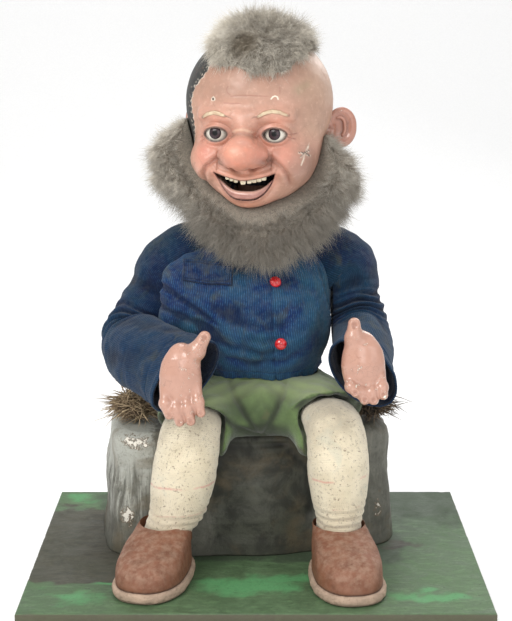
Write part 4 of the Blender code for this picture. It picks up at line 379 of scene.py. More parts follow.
def net(distance, low, high, step):
    """Surface nets: where a cell of a lattice crosses distance 0 it gets one point, the mean of its edges'
    crossings, and each crossed lattice edge gives a quad of the four cells round it."""
    axes = [np.arange(low[k], high[k] + step, step) for k in range(3)]
    lattice = np.stack(np.meshgrid(*axes, indexing="ij"), axis=-1)
    value = distance(lattice.reshape(-1, 3)).reshape(lattice.shape[:3])
    inside = value < 0.0
    shape = tuple(n - 1 for n in value.shape)
    total, hits = np.zeros(shape + (3,)), np.zeros(shape)
    cuts = []
    for axis in range(3):
        one = [slice(None)] * 3
        two = [slice(None)] * 3
        one[axis], two[axis] = slice(0, -1), slice(1, None)
        cut = inside[tuple(one)] != inside[tuple(two)]
        cuts.append(cut)
        a, b = value[tuple(one)], value[tuple(two)]
        share = np.where(cut, a / np.where(cut, a - b, 1.0), 0.0)
        point = lattice[tuple(one)] + share[..., None] * (lattice[tuple(two)] - lattice[tuple(one)])
        others = [k for k in range(3) if k != axis]
        for first in (0, 1):
            for second in (0, 1):
                pick = [slice(None)] * 3
                pick[others[0]] = slice(first, first + shape[others[0]])
                pick[others[1]] = slice(second, second + shape[others[1]])
                total += np.where(cut[tuple(pick)][..., None], point[tuple(pick)], 0.0)
                hits += cut[tuple(pick)]
    used = hits > 0
    number = np.full(shape, -1)
    number[used] = np.arange(used.sum())
    points = total[used] / hits[used][:, None]
    faces = []
    for axis in range(3):
        u, v = (axis + 1) % 3, (axis + 2) % 3
        where = np.argwhere(cuts[axis])
        where = where[(where[:, u] > 0) & (where[:, v] > 0) & (where[:, u] < shape[u]) & (where[:, v] < shape[v])]
        corners = []
        for du, dv in ((1, 1), (0, 1), (0, 0), (1, 0)):
            cell = where.copy()
            cell[:, u] -= du
            cell[:, v] -= dv
            corners.append(number[cell[:, 0], cell[:, 1], cell[:, 2]])
        quad = np.stack(corners, axis=1)
        out = inside[where[:, 0], where[:, 1], where[:, 2]]
        faces.append(np.where(out[:, None], quad, quad[:, ::-1]))
    for _ in range(2):
        value = distance(points)
        slope = np.stack([distance(points + np.eye(3)[k] * 1e-4) - value for k in range(3)], axis=1) / 1e-4
        size = np.maximum((slope ** 2).sum(axis=1), 0.3)
        points = points - slope * np.clip(value / size, -step, step)[:, None] * 0.9
    return points, np.vstack(faces)


def to_world(points):
    """Head frame to world: turned about the neck, then moved to the head's centre."""
    cosine, sine = math.cos(HEAD_TURN), math.sin(HEAD_TURN)
    x = points[..., 0] * cosine - points[..., 1] * sine + FIGURE_X
    y = points[..., 0] * sine + points[..., 1] * cosine + NECK_Y
    return np.stack([x, y, points[..., 2] + HEAD_Z], axis=-1)


# Finishes

def toned(colour, by):
    """A colour scaled by one factor, or by a factor for each of its channels."""
    return tuple(c * f for c, f in zip(colour, by if isinstance(by, tuple) else (by,) * len(colour)))


def put(tree, kind, sockets=None, **settings):
    """Add a node, set its properties and its inputs; an input given as a socket is linked to it."""
    made = tree.nodes.new(kind)
    for key, value in settings.items():
        setattr(made, key, value)
    for key, value in (sockets or {}).items():
        if isinstance(value, bpy.types.NodeSocket):
            tree.links.new(value, made.inputs[key])
        else:
            made.inputs[key].default_value = value
    return made


def sum_of(tree, operation, one, two=0.0, three=0.0):
    """One Math node."""
    return put(tree, "ShaderNodeMath", {0: one, 1: two, 2: three}, operation=operation).outputs[0]


def noise(tree, vector, scale, detail=4.0, roughness=0.55, distortion=0.0):
    """Fractal noise near 0.5."""
    return put(tree, "ShaderNodeTexNoise", {"Vector": vector, "Scale": scale, "Detail": detail,
                                            "Roughness": roughness, "Distortion": distortion}).outputs["Fac"]


def span(tree, value, low, high, bottom=0.0, top=1.0):
    """Map a value from low..high to bottom..top, clamped."""
    return put(tree, "ShaderNodeMapRange", {"Value": value, "From Min": low, "From Max": high, "To Min": bottom,
                                            "To Max": top}, interpolation_type="SMOOTHSTEP").outputs[0]


def blend_of(tree, share, one, two, way="MIX"):
    """Mix two colours by a share."""
    one, two = ((*c, 1.0) if isinstance(c, tuple) and len(c) == 3 else c for c in (one, two))
    return put(tree, "ShaderNodeMix", {0: share, 6: one, 7: two}, data_type="RGBA", blend_type=way).outputs[2]


def effect(name, inputs, outputs, fill):
    """A shader node group, made once: inputs are (name, type, value), outputs (name, type)."""
    found = bpy.data.node_groups.get(name)
    if found is not None:
        return found
    tree = bpy.data.node_groups.new(name, "ShaderNodeTree")
    for label, kind, value in inputs:
        socket = tree.interface.new_socket(label, in_out="INPUT", socket_type="NodeSocket" + kind)
        if value is not None:
            socket.default_value = value
    for label, kind in outputs:
        tree.interface.new_socket(label, in_out="OUTPUT", socket_type="NodeSocket" + kind)
    fill(tree, tree.nodes.new("NodeGroupInput").outputs, tree.nodes.new("NodeGroupOutput").inputs)
    return tree


def use(tree, group, **sockets):
    """Place a node group and give back its outputs."""
    made = tree.nodes.new("ShaderNodeGroup")
    made.node_tree = group
    for key, value in sockets.items():
        key = key.replace("_", " ")
        if isinstance(value, bpy.types.NodeSocket):
            tree.links.new(value, made.inputs[key])
        else:
            made.inputs[key].default_value = value
    return made.outputs


def mottle():
    """Soft patches: noise at one scale, bent by a coarser one, cut between two levels."""
    def fill(tree, take, give):
        bent = noise(tree, take["Vector"], take["Scale"], 5.0, 0.6, 0.6)
        mask = put(tree, "ShaderNodeMapRange", {"Value": bent, "From Min": take["Low"], "From Max": take["High"]},
                   interpolation_type="SMOOTHSTEP").outputs[0]
        tree.links.new(mask, give["Mask"])
    return effect("Mottle", [("Vector", "Vector", None), ("Scale", "Float", 20.0), ("Low", "Float", 0.45),
                             ("High", "Float", 0.6)], [("Mask", "Float")], fill)


def chips():
    """Flaked paint: small cells of random size kept where a random level is low, their rims a little wider."""
    def fill(tree, take, give):
        bent = noise(tree, take["Vector"], sum_of(tree, "MULTIPLY", take["Scale"], 2.3), 4.0, 0.7)
        cell = put(tree, "ShaderNodeTexVoronoi", {"Vector": take["Vector"], "Scale": take["Scale"],
                                                  "Randomness": 1.0})
        gate = noise(tree, take["Vector"], sum_of(tree, "MULTIPLY", take["Scale"], 0.21), 2.0)
        gate = sum_of(tree, "MULTIPLY", span(tree, gate, 0.42, 0.62), take["Amount"])
        edge = sum_of(tree, "ADD", cell.outputs["Distance"], sum_of(tree, "MULTIPLY", bent, 0.55))
        for label, more in (("Chip", 0.0), ("Rim", 0.10)):
            level = sum_of(tree, "ADD", gate, more)
            mask = sum_of(tree, "MULTIPLY", span(tree, sum_of(tree, "SUBTRACT", level, edge), 0.0, 0.04),
                          sum_of(tree, "GREATER_THAN", gate, 0.05))
            tree.links.new(mask, give[label])
    return effect("Paint chips", [("Vector", "Vector", None), ("Scale", "Float", 80.0), ("Amount", "Float", 0.4)],
                  [("Chip", "Float"), ("Rim", "Float")], fill)


def needlecord():
    """Corduroy: a rounded rib every pitch of u, the rib's line wandering a little, with a fine twill across it."""
    def fill(tree, take, give):
        parts = put(tree, "ShaderNodeSeparateXYZ", {0: take["UV"]}).outputs
        wander = sum_of(tree, "MULTIPLY", noise(tree, take["UV"], 30.0, 2.0), 0.0012)
        turn = sum_of(tree, "DIVIDE", sum_of(tree, "ADD", parts[0], wander), take["Pitch"])
        wave = sum_of(tree, "COSINE", sum_of(tree, "MULTIPLY", turn, TAU))
        rib = sum_of(tree, "POWER", sum_of(tree, "MULTIPLY_ADD", wave, 0.5, 0.5), 0.6)
        rub = noise(tree, take["UV"], 260.0, 5.0, 0.7)
        tuft = noise(tree, take["UV"], 1400.0, 2.0, 0.6)
        height = sum_of(tree, "ADD", sum_of(tree, "MULTIPLY", rib, span(tree, rub, 0.25, 0.7, 0.45, 1.0)),
                        sum_of(tree, "MULTIPLY", tuft, 0.22))
        tree.links.new(height, give["Height"])
        tree.links.new(rib, give["Rib"])
        tree.links.new(rub, give["Rub"])
    return effect("Needlecord", [("UV", "Vector", None), ("Pitch", "Float", 0.0021)],
                  [("Height", "Float"), ("Rib", "Float"), ("Rub", "Float")], fill)


def knitting():
    """Knitted wool: rows of stitches, each a pair of slanted loops, under a fuzz of fine noise."""
    def fill(tree, take, give):
        parts = put(tree, "ShaderNodeSeparateXYZ", {0: take["UV"]}).outputs
        column = sum_of(tree, "MULTIPLY", sum_of(tree, "DIVIDE", parts[0], take["Pitch"]), TAU)
        slant = sum_of(tree, "MULTIPLY", sum_of(tree, "COSINE", column), 1.1)
        row = sum_of(tree, "MULTIPLY", sum_of(tree, "DIVIDE", parts[1], take["Pitch"]), TAU * 1.15)
        stitch = sum_of(tree, "SINE", sum_of(tree, "ADD", row, slant))
        rib = sum_of(tree, "ABSOLUTE", sum_of(tree, "SINE", sum_of(tree, "MULTIPLY", column, 0.5)))
        fuzz = noise(tree, take["UV"], 900.0, 4.0, 0.75)
        height = sum_of(tree, "ADD", sum_of(tree, "MULTIPLY", sum_of(tree, "MULTIPLY_ADD", stitch, 0.5, 0.5), rib),
                        sum_of(tree, "MULTIPLY", fuzz, 0.9))
        tree.links.new(height, give["Height"])
        tree.links.new(fuzz, give["Fuzz"])
    return effect("Knitting", [("UV", "Vector", None), ("Pitch", "Float", 0.0018)],
                  [("Height", "Float"), ("Fuzz", "Float")], fill)


def dust():
    """Dust that lies where the surface looks up: the normal's height times patchy noise."""
    def fill(tree, take, give):
        normal = put(tree, "ShaderNodeNewGeometry").outputs["Normal"]
        up = put(tree, "ShaderNodeSeparateXYZ", {0: normal}).outputs[2]
        patch = noise(tree, take["Vector"], take["Scale"], 6.0, 0.7)
        lie = sum_of(tree, "MULTIPLY", span(tree, up, -0.2, 0.9, 0.25, 1.0), span(tree, patch, 0.38, 0.66))
        tree.links.new(sum_of(tree, "MULTIPLY", lie, take["Amount"]), give["Mask"])
    return effect("Dust", [("Vector", "Vector", None), ("Scale", "Float", 40.0), ("Amount", "Float", 0.5)],
                  [("Mask", "Float")], fill)


def finish(name, fill, **sockets):
    """A material: its Principled shader with plain values, then fill(tree, shader, object coordinates)."""
    made = bpy.data.materials.new(name)
    made.use_nodes = True
    tree = made.node_tree
    shader = tree.nodes["Principled BSDF"]
    for key, value in sockets.items():
        shader.inputs[key.replace("_", " ")].default_value = value
    fill(tree, shader, put(tree, "ShaderNodeTexCoord").outputs["Object"])
    return made


def feed(tree, shader, colour=None, roughness=None, height=None, depth=0.0005, strength=0.6, metallic=None):
    """Link a colour, a roughness and a height, the last through a Bump node, to the shader."""
    for socket, label in ((colour, "Base Color"), (roughness, "Roughness"), (metallic, "Metallic")):
        if socket is not None:
            tree.links.new(socket, shader.inputs[label])
    if height is not None:
        bump = put(tree, "ShaderNodeBump", {"Height": height, "Distance": depth, "Strength": strength})
        tree.links.new(bump.outputs["Normal"], shader.inputs["Normal"])


def layer(tree, name):
    """A colour stored on the points."""
    return put(tree, "ShaderNodeAttribute", attribute_name=name).outputs["Color"]


def uv_of(tree):
    """The piece's own UV map, in metres."""
    return put(tree, "ShaderNodeUVMap", uv_map="UVMap").outputs["UV"]


def stretched(tree, vector, scale):
    """A vector scaled by axis, for grain and streaks."""
    return put(tree, "ShaderNodeMapping", {"Vector": vector, "Scale": scale}).outputs["Vector"]


def wood_finish(name, light, dark, along=(6.0, 60.0, 60.0)):
    """Planed wood: stretched noise for the grain, finer pores over it."""
    def fill(tree, shader, place):
        grain = noise(tree, stretched(tree, place, along), 5.0, 6.0, 0.6, 1.2)
        pores = noise(tree, stretched(tree, place, tuple(6.0 * a for a in along)), 8.0, 3.0)
        colour = blend_of(tree, span(tree, grain, 0.3, 0.7), light, dark)
        colour = blend_of(tree, span(tree, pores, 0.55, 0.75, 0.0, 0.5), colour, toned(dark, 0.5))
        feed(tree, shader, colour, span(tree, grain, 0.3, 0.7, 0.62, 0.82), grain, 0.0003)
    return finish(name, fill)


def metal_finish(name, light, dark, rough=0.3, across=(400.0, 40.0, 40.0)):
    """Worked metal: fine lathe or file lines, a dull film in patches and a few dark specks."""
    def fill(tree, shader, place):
        line = noise(tree, stretched(tree, place, across), 6.0, 3.0, 0.6)
        film = use(tree, mottle(), Vector=place, Scale=60.0, Low=0.42, High=0.66)["Mask"]
        speck = use(tree, mottle(), Vector=place, Scale=420.0, Low=0.66, High=0.72)["Mask"]
        colour = blend_of(tree, film, light, dark)
        colour = blend_of(tree, speck, colour, toned(dark, 0.35))
        level = sum_of(tree, "ADD", span(tree, line, 0.3, 0.7, rough, rough + 0.18),
                       sum_of(tree, "MULTIPLY", film, 0.22))
        feed(tree, shader, colour, level, line, 0.0001, 0.3)
    return finish(name, fill, Metallic=1.0)


def plain_finish(name, light, dark, rough=0.6, scale=90.0, depth=0.0002, fine=900.0, **sockets):
    """Moulded or painted stuff: two tones in patches, with a fine surface."""
    def fill(tree, shader, place):
        patch = use(tree, mottle(), Vector=place, Scale=scale, Low=0.38, High=0.64)["Mask"]
        tooth = noise(tree, place, fine, 4.0, 0.7)
        feed(tree, shader, blend_of(tree, patch, light, dark), span(tree, patch, 0.0, 1.0, rough - 0.08, rough + 0.08),
             tooth, depth, 0.4)
    return finish(name, fill, **sockets)


# Board, rock and straw

def board_finish(green, brown):
    """Green paint brushed on a board: the painted zones come from the points, brown, dark with painted shade round
    and behind the rock, and bright, broken up by noise; under them brush lines, dark and pale specks, flakes and
    a bare lower edge."""
    def fill(tree, shader, place):
        parts = put(tree, "ShaderNodeSeparateXYZ", {0: place}).outputs
        zones = put(tree, "ShaderNodeSeparateColor", {0: layer(tree, "paint")}).outputs
        brush = noise(tree, stretched(tree, place, (16.0, 46.0, 46.0)), 3.0, 6.0, 0.7, 0.8)
        patch = noise(tree, place, 26.0, 7.0, 0.68, 0.6)
        fine = noise(tree, place, 210.0, 5.0, 0.75)
        light = tuple(min(1.0, 1.5 * c) for c in green)
        colour = blend_of(tree, span(tree, patch, 0.34, 0.66), toned(green, 0.72), green)
        colour = blend_of(tree, span(tree, brush, 0.46, 0.66, 0.0, 0.55), colour, light)

        def zone(index, low, high):
            broken = sum_of(tree, "ADD", zones[index], sum_of(tree, "MULTIPLY_ADD", patch, 0.9, -0.45))
            return span(tree, broken, low, high)
        colour = blend_of(tree, zone(2, 0.30, 0.95), colour, (0.080, 0.245, 0.095))
        # painted shade round the rock's foot and behind it
        colour = blend_of(tree, sum_of(tree, "MULTIPLY", zone(1, 0.25, 0.85), 0.85), colour, (0.042, 0.062, 0.036))
        colour = blend_of(tree, sum_of(tree, "MULTIPLY", zone(0, 0.30, 0.75), 0.92), colour, blend_of(
            tree, span(tree, brush, 0.35, 0.68), brown, toned(brown, 0.5)))
        colour = blend_of(tree, span(tree, fine, 0.52, 0.72, 0.0, 0.45), colour, (0.032, 0.040, 0.024))
        colour = blend_of(tree, span(tree, fine, 0.42, 0.28, 0.0, 0.30), colour, (0.20, 0.24, 0.16))
        dark = use(tree, mottle(), Vector=place, Scale=260.0, Low=0.66, High=0.70)["Mask"]
        colour = blend_of(tree, sum_of(tree, "MULTIPLY", dark, 0.8), colour, (0.014, 0.018, 0.012))
        flake = use(tree, chips(), Vector=place, Scale=150.0, Amount=0.25)
        edge = span(tree, parts[2], 0.0124, 0.0137, 1.0, 0.0)
        colour = blend_of(tree, flake["Rim"], colour, (0.035, 0.05, 0.03))
        colour = blend_of(tree, flake["Chip"], colour, (0.26, 0.22, 0.15))
        colour = blend_of(tree, sum_of(tree, "MULTIPLY", edge, 0.8), colour, (0.075, 0.06, 0.038))
        height = sum_of(tree, "SUBTRACT", sum_of(tree, "ADD", brush, sum_of(tree, "MULTIPLY", fine, 0.8)),
                        sum_of(tree, "MULTIPLY", flake["Chip"], 0.8))
        feed(tree, shader, colour, span(tree, patch, 0.3, 0.7, 0.50, 0.75), height, 0.0006, 0.6)
    return finish("Board paint", fill)


def board_piece(settings):
    """The board: a flat grid whose height falls in a quarter circle of 1.6 mm to its edges, with worn dents."""
    low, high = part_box("base_board")
    near = np.array((0.0, 0.0003, 0.0008, 0.0016, 0.003))

    def line(a, b, count):
        middle = np.linspace(a + 0.006, b - 0.006, count)
        return np.concatenate([a + near, middle, b - near[::-1]])

    x, y = np.meshgrid(line(low[0], high[0], 150), line(low[1], high[1], 116))
    edge = np.minimum(np.minimum(x - low[0], high[0] - x), np.minimum(y - low[1], high[1] - y))
    bend = 0.0016
    inside = np.clip(edge, 0.0, bend)
    flat = np.stack([x, y, np.zeros_like(x)], axis=-1)
    worn = np.clip(waves(flat, 3, 0.030) - 0.15, 0.0, 1.0) * bell(edge, 0.0, 0.004) * 0.0012
    z = high[2] - bend + np.sqrt(np.maximum(bend ** 2 - (bend - inside) ** 2, 0.0)) - worn
    z += 0.00012 * waves(flat, 4, 0.06) * ease(edge, 0.002, 0.01) - 0.0001
    top = np.stack([x, y, z], axis=-1)
    bottom = np.stack([x, y, np.full_like(z, low[2])], axis=-1)
    wx, wy = x + 0.020 * waves(flat, 6, 0.055), y + 0.018 * waves(flat, 7, 0.050)
    brown_zone = ease(wx, -0.118, -0.150) * ease(wy, -0.128, -0.090) * ease(wy, 0.150, 0.118)
    brown_zone = np.maximum(brown_zone, 0.75 * bell(wx, 0.170, 0.050) * bell(wy, 0.000, 0.016))
    room = np.hypot(np.clip(np.abs(wx - ROCK_X) - 0.160, 0.0, None), np.clip(np.abs(wy - ROCK_Y) - 0.085, 0.0, None))
    # painted shade: dark near the rock's foot and behind it on the right
    rock_shade_zone = np.maximum(ease(room, 0.052, 0.004), 0.9 * ease(wy, 0.030, 0.120) * ease(wx, 0.110, 0.160))
    bright_zone = np.zeros_like(x)
    for at_x, at_y, wide, deep in ((-0.012, -0.118, 0.070, 0.030), (0.040, -0.098, 0.045, 0.016),
                                   (-0.196, -0.150, 0.036, 0.024), (-0.160, -0.112, 0.030, 0.014),
                                   (0.190, -0.150, 0.050, 0.020), (-0.222, 0.165, 0.030, 0.020)):
        bright_zone = np.maximum(bright_zone, bell(wx, at_x, wide) * bell(wy, at_y, deep))
    mesh = patch_mesh("Board", top, bottom)
    tint = np.zeros((len(mesh.vertices), 3))
    tint[:x.size] = np.stack([brown_zone, rock_shade_zone, bright_zone], axis=-1).reshape(-1, 3)
    paint_points(mesh, tint)
    piece = object_of("Board", mesh, "base", board_finish(tuple(settings.green), tuple(settings.brown)))
    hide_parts("base_board")


ROCK_X, ROCK_Y = -0.011, 0.069
ROCK_HALF, ROCK_EDGE, ROCK_ANGLE = (0.166, 0.090), 0.016, math.radians(7.0)


def rock_finish(grey, moss):
    """Painted papier-mache: grey run down with whitish streaks on its left, dark between the legs with olive and rust
    clouds, darker low down, painted shade in its creases and dents and a painted highlight on its proud lumps;
    plaster shows in a few flaked places."""
    def fill(tree, shader, place):
        parts = put(tree, "ShaderNodeSeparateXYZ", {0: place}).outputs
        patch = noise(tree, place, 30.0, 7.0, 0.68, 0.5)
        streak = noise(tree, stretched(tree, place, (70.0, 70.0, 7.0)), 2.0, 6.0, 0.65, 0.6)
        fine = noise(tree, place, 330.0, 6.0, 0.75)
        marks = put(tree, "ShaderNodeSeparateColor", {0: layer(tree, "paint")}).outputs
        zones = put(tree, "ShaderNodeSeparateColor", {0: layer(tree, "zones")}).outputs
        colour = blend_of(tree, span(tree, patch, 0.36, 0.64), grey, toned(grey, 0.66))
        colour = blend_of(tree, sum_of(tree, "MULTIPLY", span(tree, streak, 0.50, 0.64), 0.45), colour,
                          toned(grey, 1.5))
        left = span(tree, sum_of(tree, "ADD", zones[1], sum_of(tree, "MULTIPLY_ADD", streak, 1.7, -0.95)), 0.30, 0.80)
        colour = blend_of(tree, sum_of(tree, "MULTIPLY", left, 0.9), colour, (0.40, 0.405, 0.36))
        centre = sum_of(tree, "ADD", zones[0], sum_of(tree, "MULTIPLY_ADD", patch, 0.8, -0.4))
        colour = blend_of(tree, sum_of(tree, "MULTIPLY", span(tree, centre, 0.20, 0.80), 0.92), colour, blend_of(
            tree, span(tree, patch, 0.40, 0.58), toned(moss, 1.10), toned(moss, 0.42)))
        rust = use(tree, mottle(), Vector=place, Scale=19.0, Low=0.48, High=0.66)["Mask"]
        colour = blend_of(tree, sum_of(tree, "MULTIPLY", rust, 0.55), colour, (0.120, 0.088, 0.045))
        # painted shade in the creases, dents and sagging folds, then a painted highlight on the proud lumps
        colour = blend_of(tree, marks[0], colour, (0.018, 0.018, 0.013))
        colour = blend_of(tree, sum_of(tree, "MULTIPLY", marks[1], 0.25), colour, (0.24, 0.24, 0.20))
        # darker towards the bottom
        low = span(tree, sum_of(tree, "ADD", parts[2], sum_of(tree, "MULTIPLY", patch, 0.03)), 0.028, 0.050, 1.0, 0.0)
        colour = blend_of(tree, sum_of(tree, "MULTIPLY", low, 0.6), colour, (0.032, 0.036, 0.022))
        colour = blend_of(tree, span(tree, fine, 0.50, 0.72, 0.0, 0.55), colour, (0.022, 0.022, 0.016))
        flaked = sum_of(tree, "ADD", zones[2],
                        sum_of(tree, "MULTIPLY_ADD", noise(tree, place, 190.0, 4.0, 0.7), 1.6, -0.8))
        chip, rim = span(tree, flaked, 0.50, 0.56), span(tree, flaked, 0.36, 0.48)
        colour = blend_of(tree, rim, colour, (0.12, 0.085, 0.05))
        colour = blend_of(tree, chip, colour, (0.72, 0.68, 0.60))
        height = sum_of(tree, "SUBTRACT", sum_of(tree, "ADD", sum_of(tree, "MULTIPLY", patch, 0.6), fine), chip)
        feed(tree, shader, colour, span(tree, patch, 0.3, 0.7, 0.50, 0.78), height, 0.0010, 0.55)
    return finish("Rock paint", fill)


def rock_ring(height, inset, turn):
    """Ring of the rock: a superellipse with lumps that turn with height, and a bulge between the legs."""
    rock_height, half_width, half_depth, angle = 0.140, ROCK_HALF[0], ROCK_HALF[1], ROCK_ANGLE
    rise = height / rock_height
    x, y = ring_of(0.0, 0.0, half_width - inset, half_depth - inset, 5.0, turn)
    lump = 0.0012 * np.sin(3.0 * turn + 9.0 * rise) + 0.0008 * np.sin(7.0 * turn + 1.0 - 5.0 * rise)
    lump = lump * (1.0 - np.clip((rise - 0.86) / 0.14, 0.0, 1.0)) + 0.004 * (1.0 - rise) ** 2
    scale = 1.0 + lump / np.hypot(x, y)
    x, y = x * scale, y * scale
    bulge = np.exp(-((x - 0.016) / 0.026) ** 2) * np.clip(-y / 0.08, 0.0, 1.0)
    y = y - 0.012 * bulge * math.sin(math.pi * min(1.0, 0.25 + 0.75 * rise))
    cosine, sine = math.cos(angle), math.sin(angle)
    return np.stack([x * cosine - y * sine + ROCK_X, x * sine + y * cosine + ROCK_Y,
                     np.full_like(x, height + 0.014 + GAP)], axis=1)


def rock_piece(settings):
    """The rock: the solid's own rings read finely, then pushed along the normals by seeded noise, by two
    creases beside the bulge and by sagging folds under the seat's front edge."""
    turn = np.linspace(0.0, TAU, 420, endpoint=False)
    levels = [(0.0, 0.0), (0.022, 0.002), (0.050, 0.003), (0.080, 0.004), (0.105, 0.005)]
    for share in (0.0, 0.35, 0.7, 1.0):
        levels.append((0.140 - ROCK_EDGE + ROCK_EDGE * math.sin(share * math.pi / 2),
                       0.006 + ROCK_EDGE * (1.0 - math.cos(share * math.pi / 2))))
    levels += [(0.140, 0.045), (0.140, 0.070), (0.140, 0.085)]
    fine = curve(np.array(levels), 150)
    fine[:, 0] = np.clip(fine[:, 0], 0.0, 0.140)
    rings = np.array([rock_ring(height, inset, turn) for height, inset in fine])
    x, y, z = rings[..., 0], rings[..., 1], rings[..., 2] - 0.0143
    front = ease(-(y - 0.045), 0.0, 0.045)
    rise = z / 0.140
    side = ease(rise, 0.0, 0.10) * ease(rise, 1.02, 0.90)
    dent = 0.0014 * waves(rings, 11, 0.075) + 0.0006 * waves(rings, 12, 0.022)
    left_line = -0.0180 - 0.095 * (1.0 - rise) + 0.0015 * np.sin(rise * 19.0)
    right_line = np.minimum(0.0160 + 0.130 * (1.0 - rise), 0.0610) + 0.0015 * np.sin(rise * 17.0 + 1.0)
    crease = bell(x, left_line, 0.0046) + bell(x, right_line, 0.0042)
    crease = crease * ease(rise, 0.16, 0.34) * front
    sag = 0.5 + 0.5 * np.sin(TAU * (rise * 3.4 + 2.2 * ((x - 0.012) / 0.09) ** 2))
    sag = sag * bell(x, 0.012, 0.050) * ease(rise, 0.55, 0.70) * ease(rise, 0.97, 0.86) * front
    knob = ease(x, left_line, left_line + 0.020) * ease(x, right_line, right_line - 0.020) * ease(rise, 0.05,
                                                                                                  0.40) * front
    height = (dent - 0.0060 * crease - 0.0010 * sag + 0.0026 * knob) * side
    rings = push(rings, height)
    rings[..., 2] = np.clip(rings[..., 2], 0.0143, 0.1541)
    hole = ease(np.hypot(rings[..., 0] - 0.039, rings[..., 2] - 0.040), 0.0062, 0.0044) * ease(y, 0.10, 0.13)
    rings[..., 1] -= hole * 0.020
    # painted shade from the dents, creases and sagging folds
    hollow = np.clip(-(dent + 0.0005) / 0.0024, 0.0, 1.0) * 0.30 * side + np.clip(crease * 0.95 + sag * 0.18, 0,
                                                                                  1) * side
    x, y = rings[..., 0], rings[..., 1]
    middle = ease(x, -0.062, -0.036) * ease(x, 0.078, 0.056) * ease(0.02 - y, 0.0, 0.02)
    pale = ease(x, -0.098, -0.128) * ease(rise, 0.16, 0.34) * (0.55 + 0.45 * ease(rise, 0.5, 0.9))
    flaked = np.maximum(0.72 * bell(x, -0.146, 0.009) * bell(z, 0.046, 0.012) * ease(0.03 - y, 0.0, 0.02),
                        ease(x, 0.132, 0.143) * bell(z, 0.046, 0.030) * ease(0.02 - y, 0.0, 0.02) * 0.95)
    flaked = np.maximum(flaked, 0.66 * bell(x, -0.135, 0.022) * bell(z, 0.130, 0.008) * ease(0.05 - y, 0.0, 0.02))
    # painted highlight where the lumps stand proud
    proud = np.clip(dent / 0.0030, 0.0, 1.0) * side
    mesh = skin_mesh("Rock", rings)
    for name, values in (("paint", (hollow, proud, rise)), ("zones", (middle, pale, flaked))):
        tint = np.zeros((len(mesh.vertices), 3))
        tint[:hollow.size] = np.stack(values, axis=-1).reshape(-1, 3)
        paint_points(mesh, tint, name)
    piece = object_of("Rock", mesh, "base", rock_finish(tuple(settings.grey), tuple(settings.moss)))
    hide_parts("rock_seat")


def straw_finish(name, light, dark):
    """Dry straw: each stalk its own tone between light and dark."""
    def fill(tree, shader, place):
        tone = put(tree, "ShaderNodeSeparateColor", {0: layer(tree, "strand")}).outputs
        grain = noise(tree, place, 700.0, 3.0)
        colour = blend_of(tree, tone[0], dark, light)
        colour = blend_of(tree, span(tree, grain, 0.45, 0.7, 0.0, 0.6), colour, toned(dark, 0.4))
        feed(tree, shader, colour, span(tree, grain, 0.3, 0.7, 0.6, 0.85), grain, 0.0003)
    return finish(name, fill)


def straw_piece(node, name, colours, seed, count, stray):
    """A tuft of stalks: roots in the lower half of the solid's ellipsoid, leaning outward and curling down."""
    low, high = (np.array(p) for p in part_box(node))
    centre, half = (low + high) / 2.0, (high - low) / 2.0
    rng = np.random.default_rng(seed)
    way = rng.normal(size=(count, 3))
    way /= np.linalg.norm(way, axis=1, keepdims=True)
    roots = centre + way * half * (rng.random((count, 1)) ** 0.6) * (0.80, 0.80, 0.72)
    roots[:, 2] = np.maximum(roots[:, 2], low[2] + 0.0006)
    lean = way * (0.22, 0.22, 0.10) + rng.normal(size=(count, 3)) * (1.0, 1.0, 0.34)
    lean /= np.linalg.norm(lean, axis=1, keepdims=True)
    length = rng.uniform(0.010, 0.030, count)
    free = rng.random(count) < stray
    length[free] *= rng.uniform(1.2, 1.7, free.sum())
    bend = rng.normal(size=(count, 3)) * 0.22
    bend[:, 2] -= 0.10
    tips = roots + (lean + bend) * length[:, None]
    over = np.clip((low[2] + 0.0005 - tips[:, 2]) / length, 0.0, None)
    bend[:, 2] += over
    width = rng.uniform(0.00050, 0.00130, count)
    light, dark = colours
    material = straw_finish(name + " stalks", light, dark)
    object_name = name.replace(" ", "_")
    piece = object_of(object_name, strands(object_name, roots, lean, bend, length, width, 4, 3), "base", material)
    turn = np.linspace(0.0, TAU, 60, endpoint=False)
    rise = np.linspace(0.02, 0.98, 26)
    ring = np.sin(rise * math.pi)[:, None]
    lump = np.stack([centre[0] + half[0] * 0.80 * ring * np.cos(turn), centre[1] + half[1] * 0.80 * ring * np.sin(turn),
                     low[2] + (high[2] - low[2]) * 0.80 * rise[:, None] * np.ones((1, 60))], axis=-1)
    lump = push(lump, 0.0020 * waves(lump, seed + 1, 0.012) - 0.001)
    lump[..., 2] = np.maximum(lump[..., 2], low[2])
    # the core is darker than the stalks: painted shade inside the tuft
    core = object_of(object_name + "_core", skin_mesh(object_name + "_core", lump), "base",
                     plain_finish(name + " core", toned(dark, 0.5), toned(dark, 0.25), 0.9,
                                  160.0, 0.001, 500.0))
    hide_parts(node)
    return core


# Shoes and legs

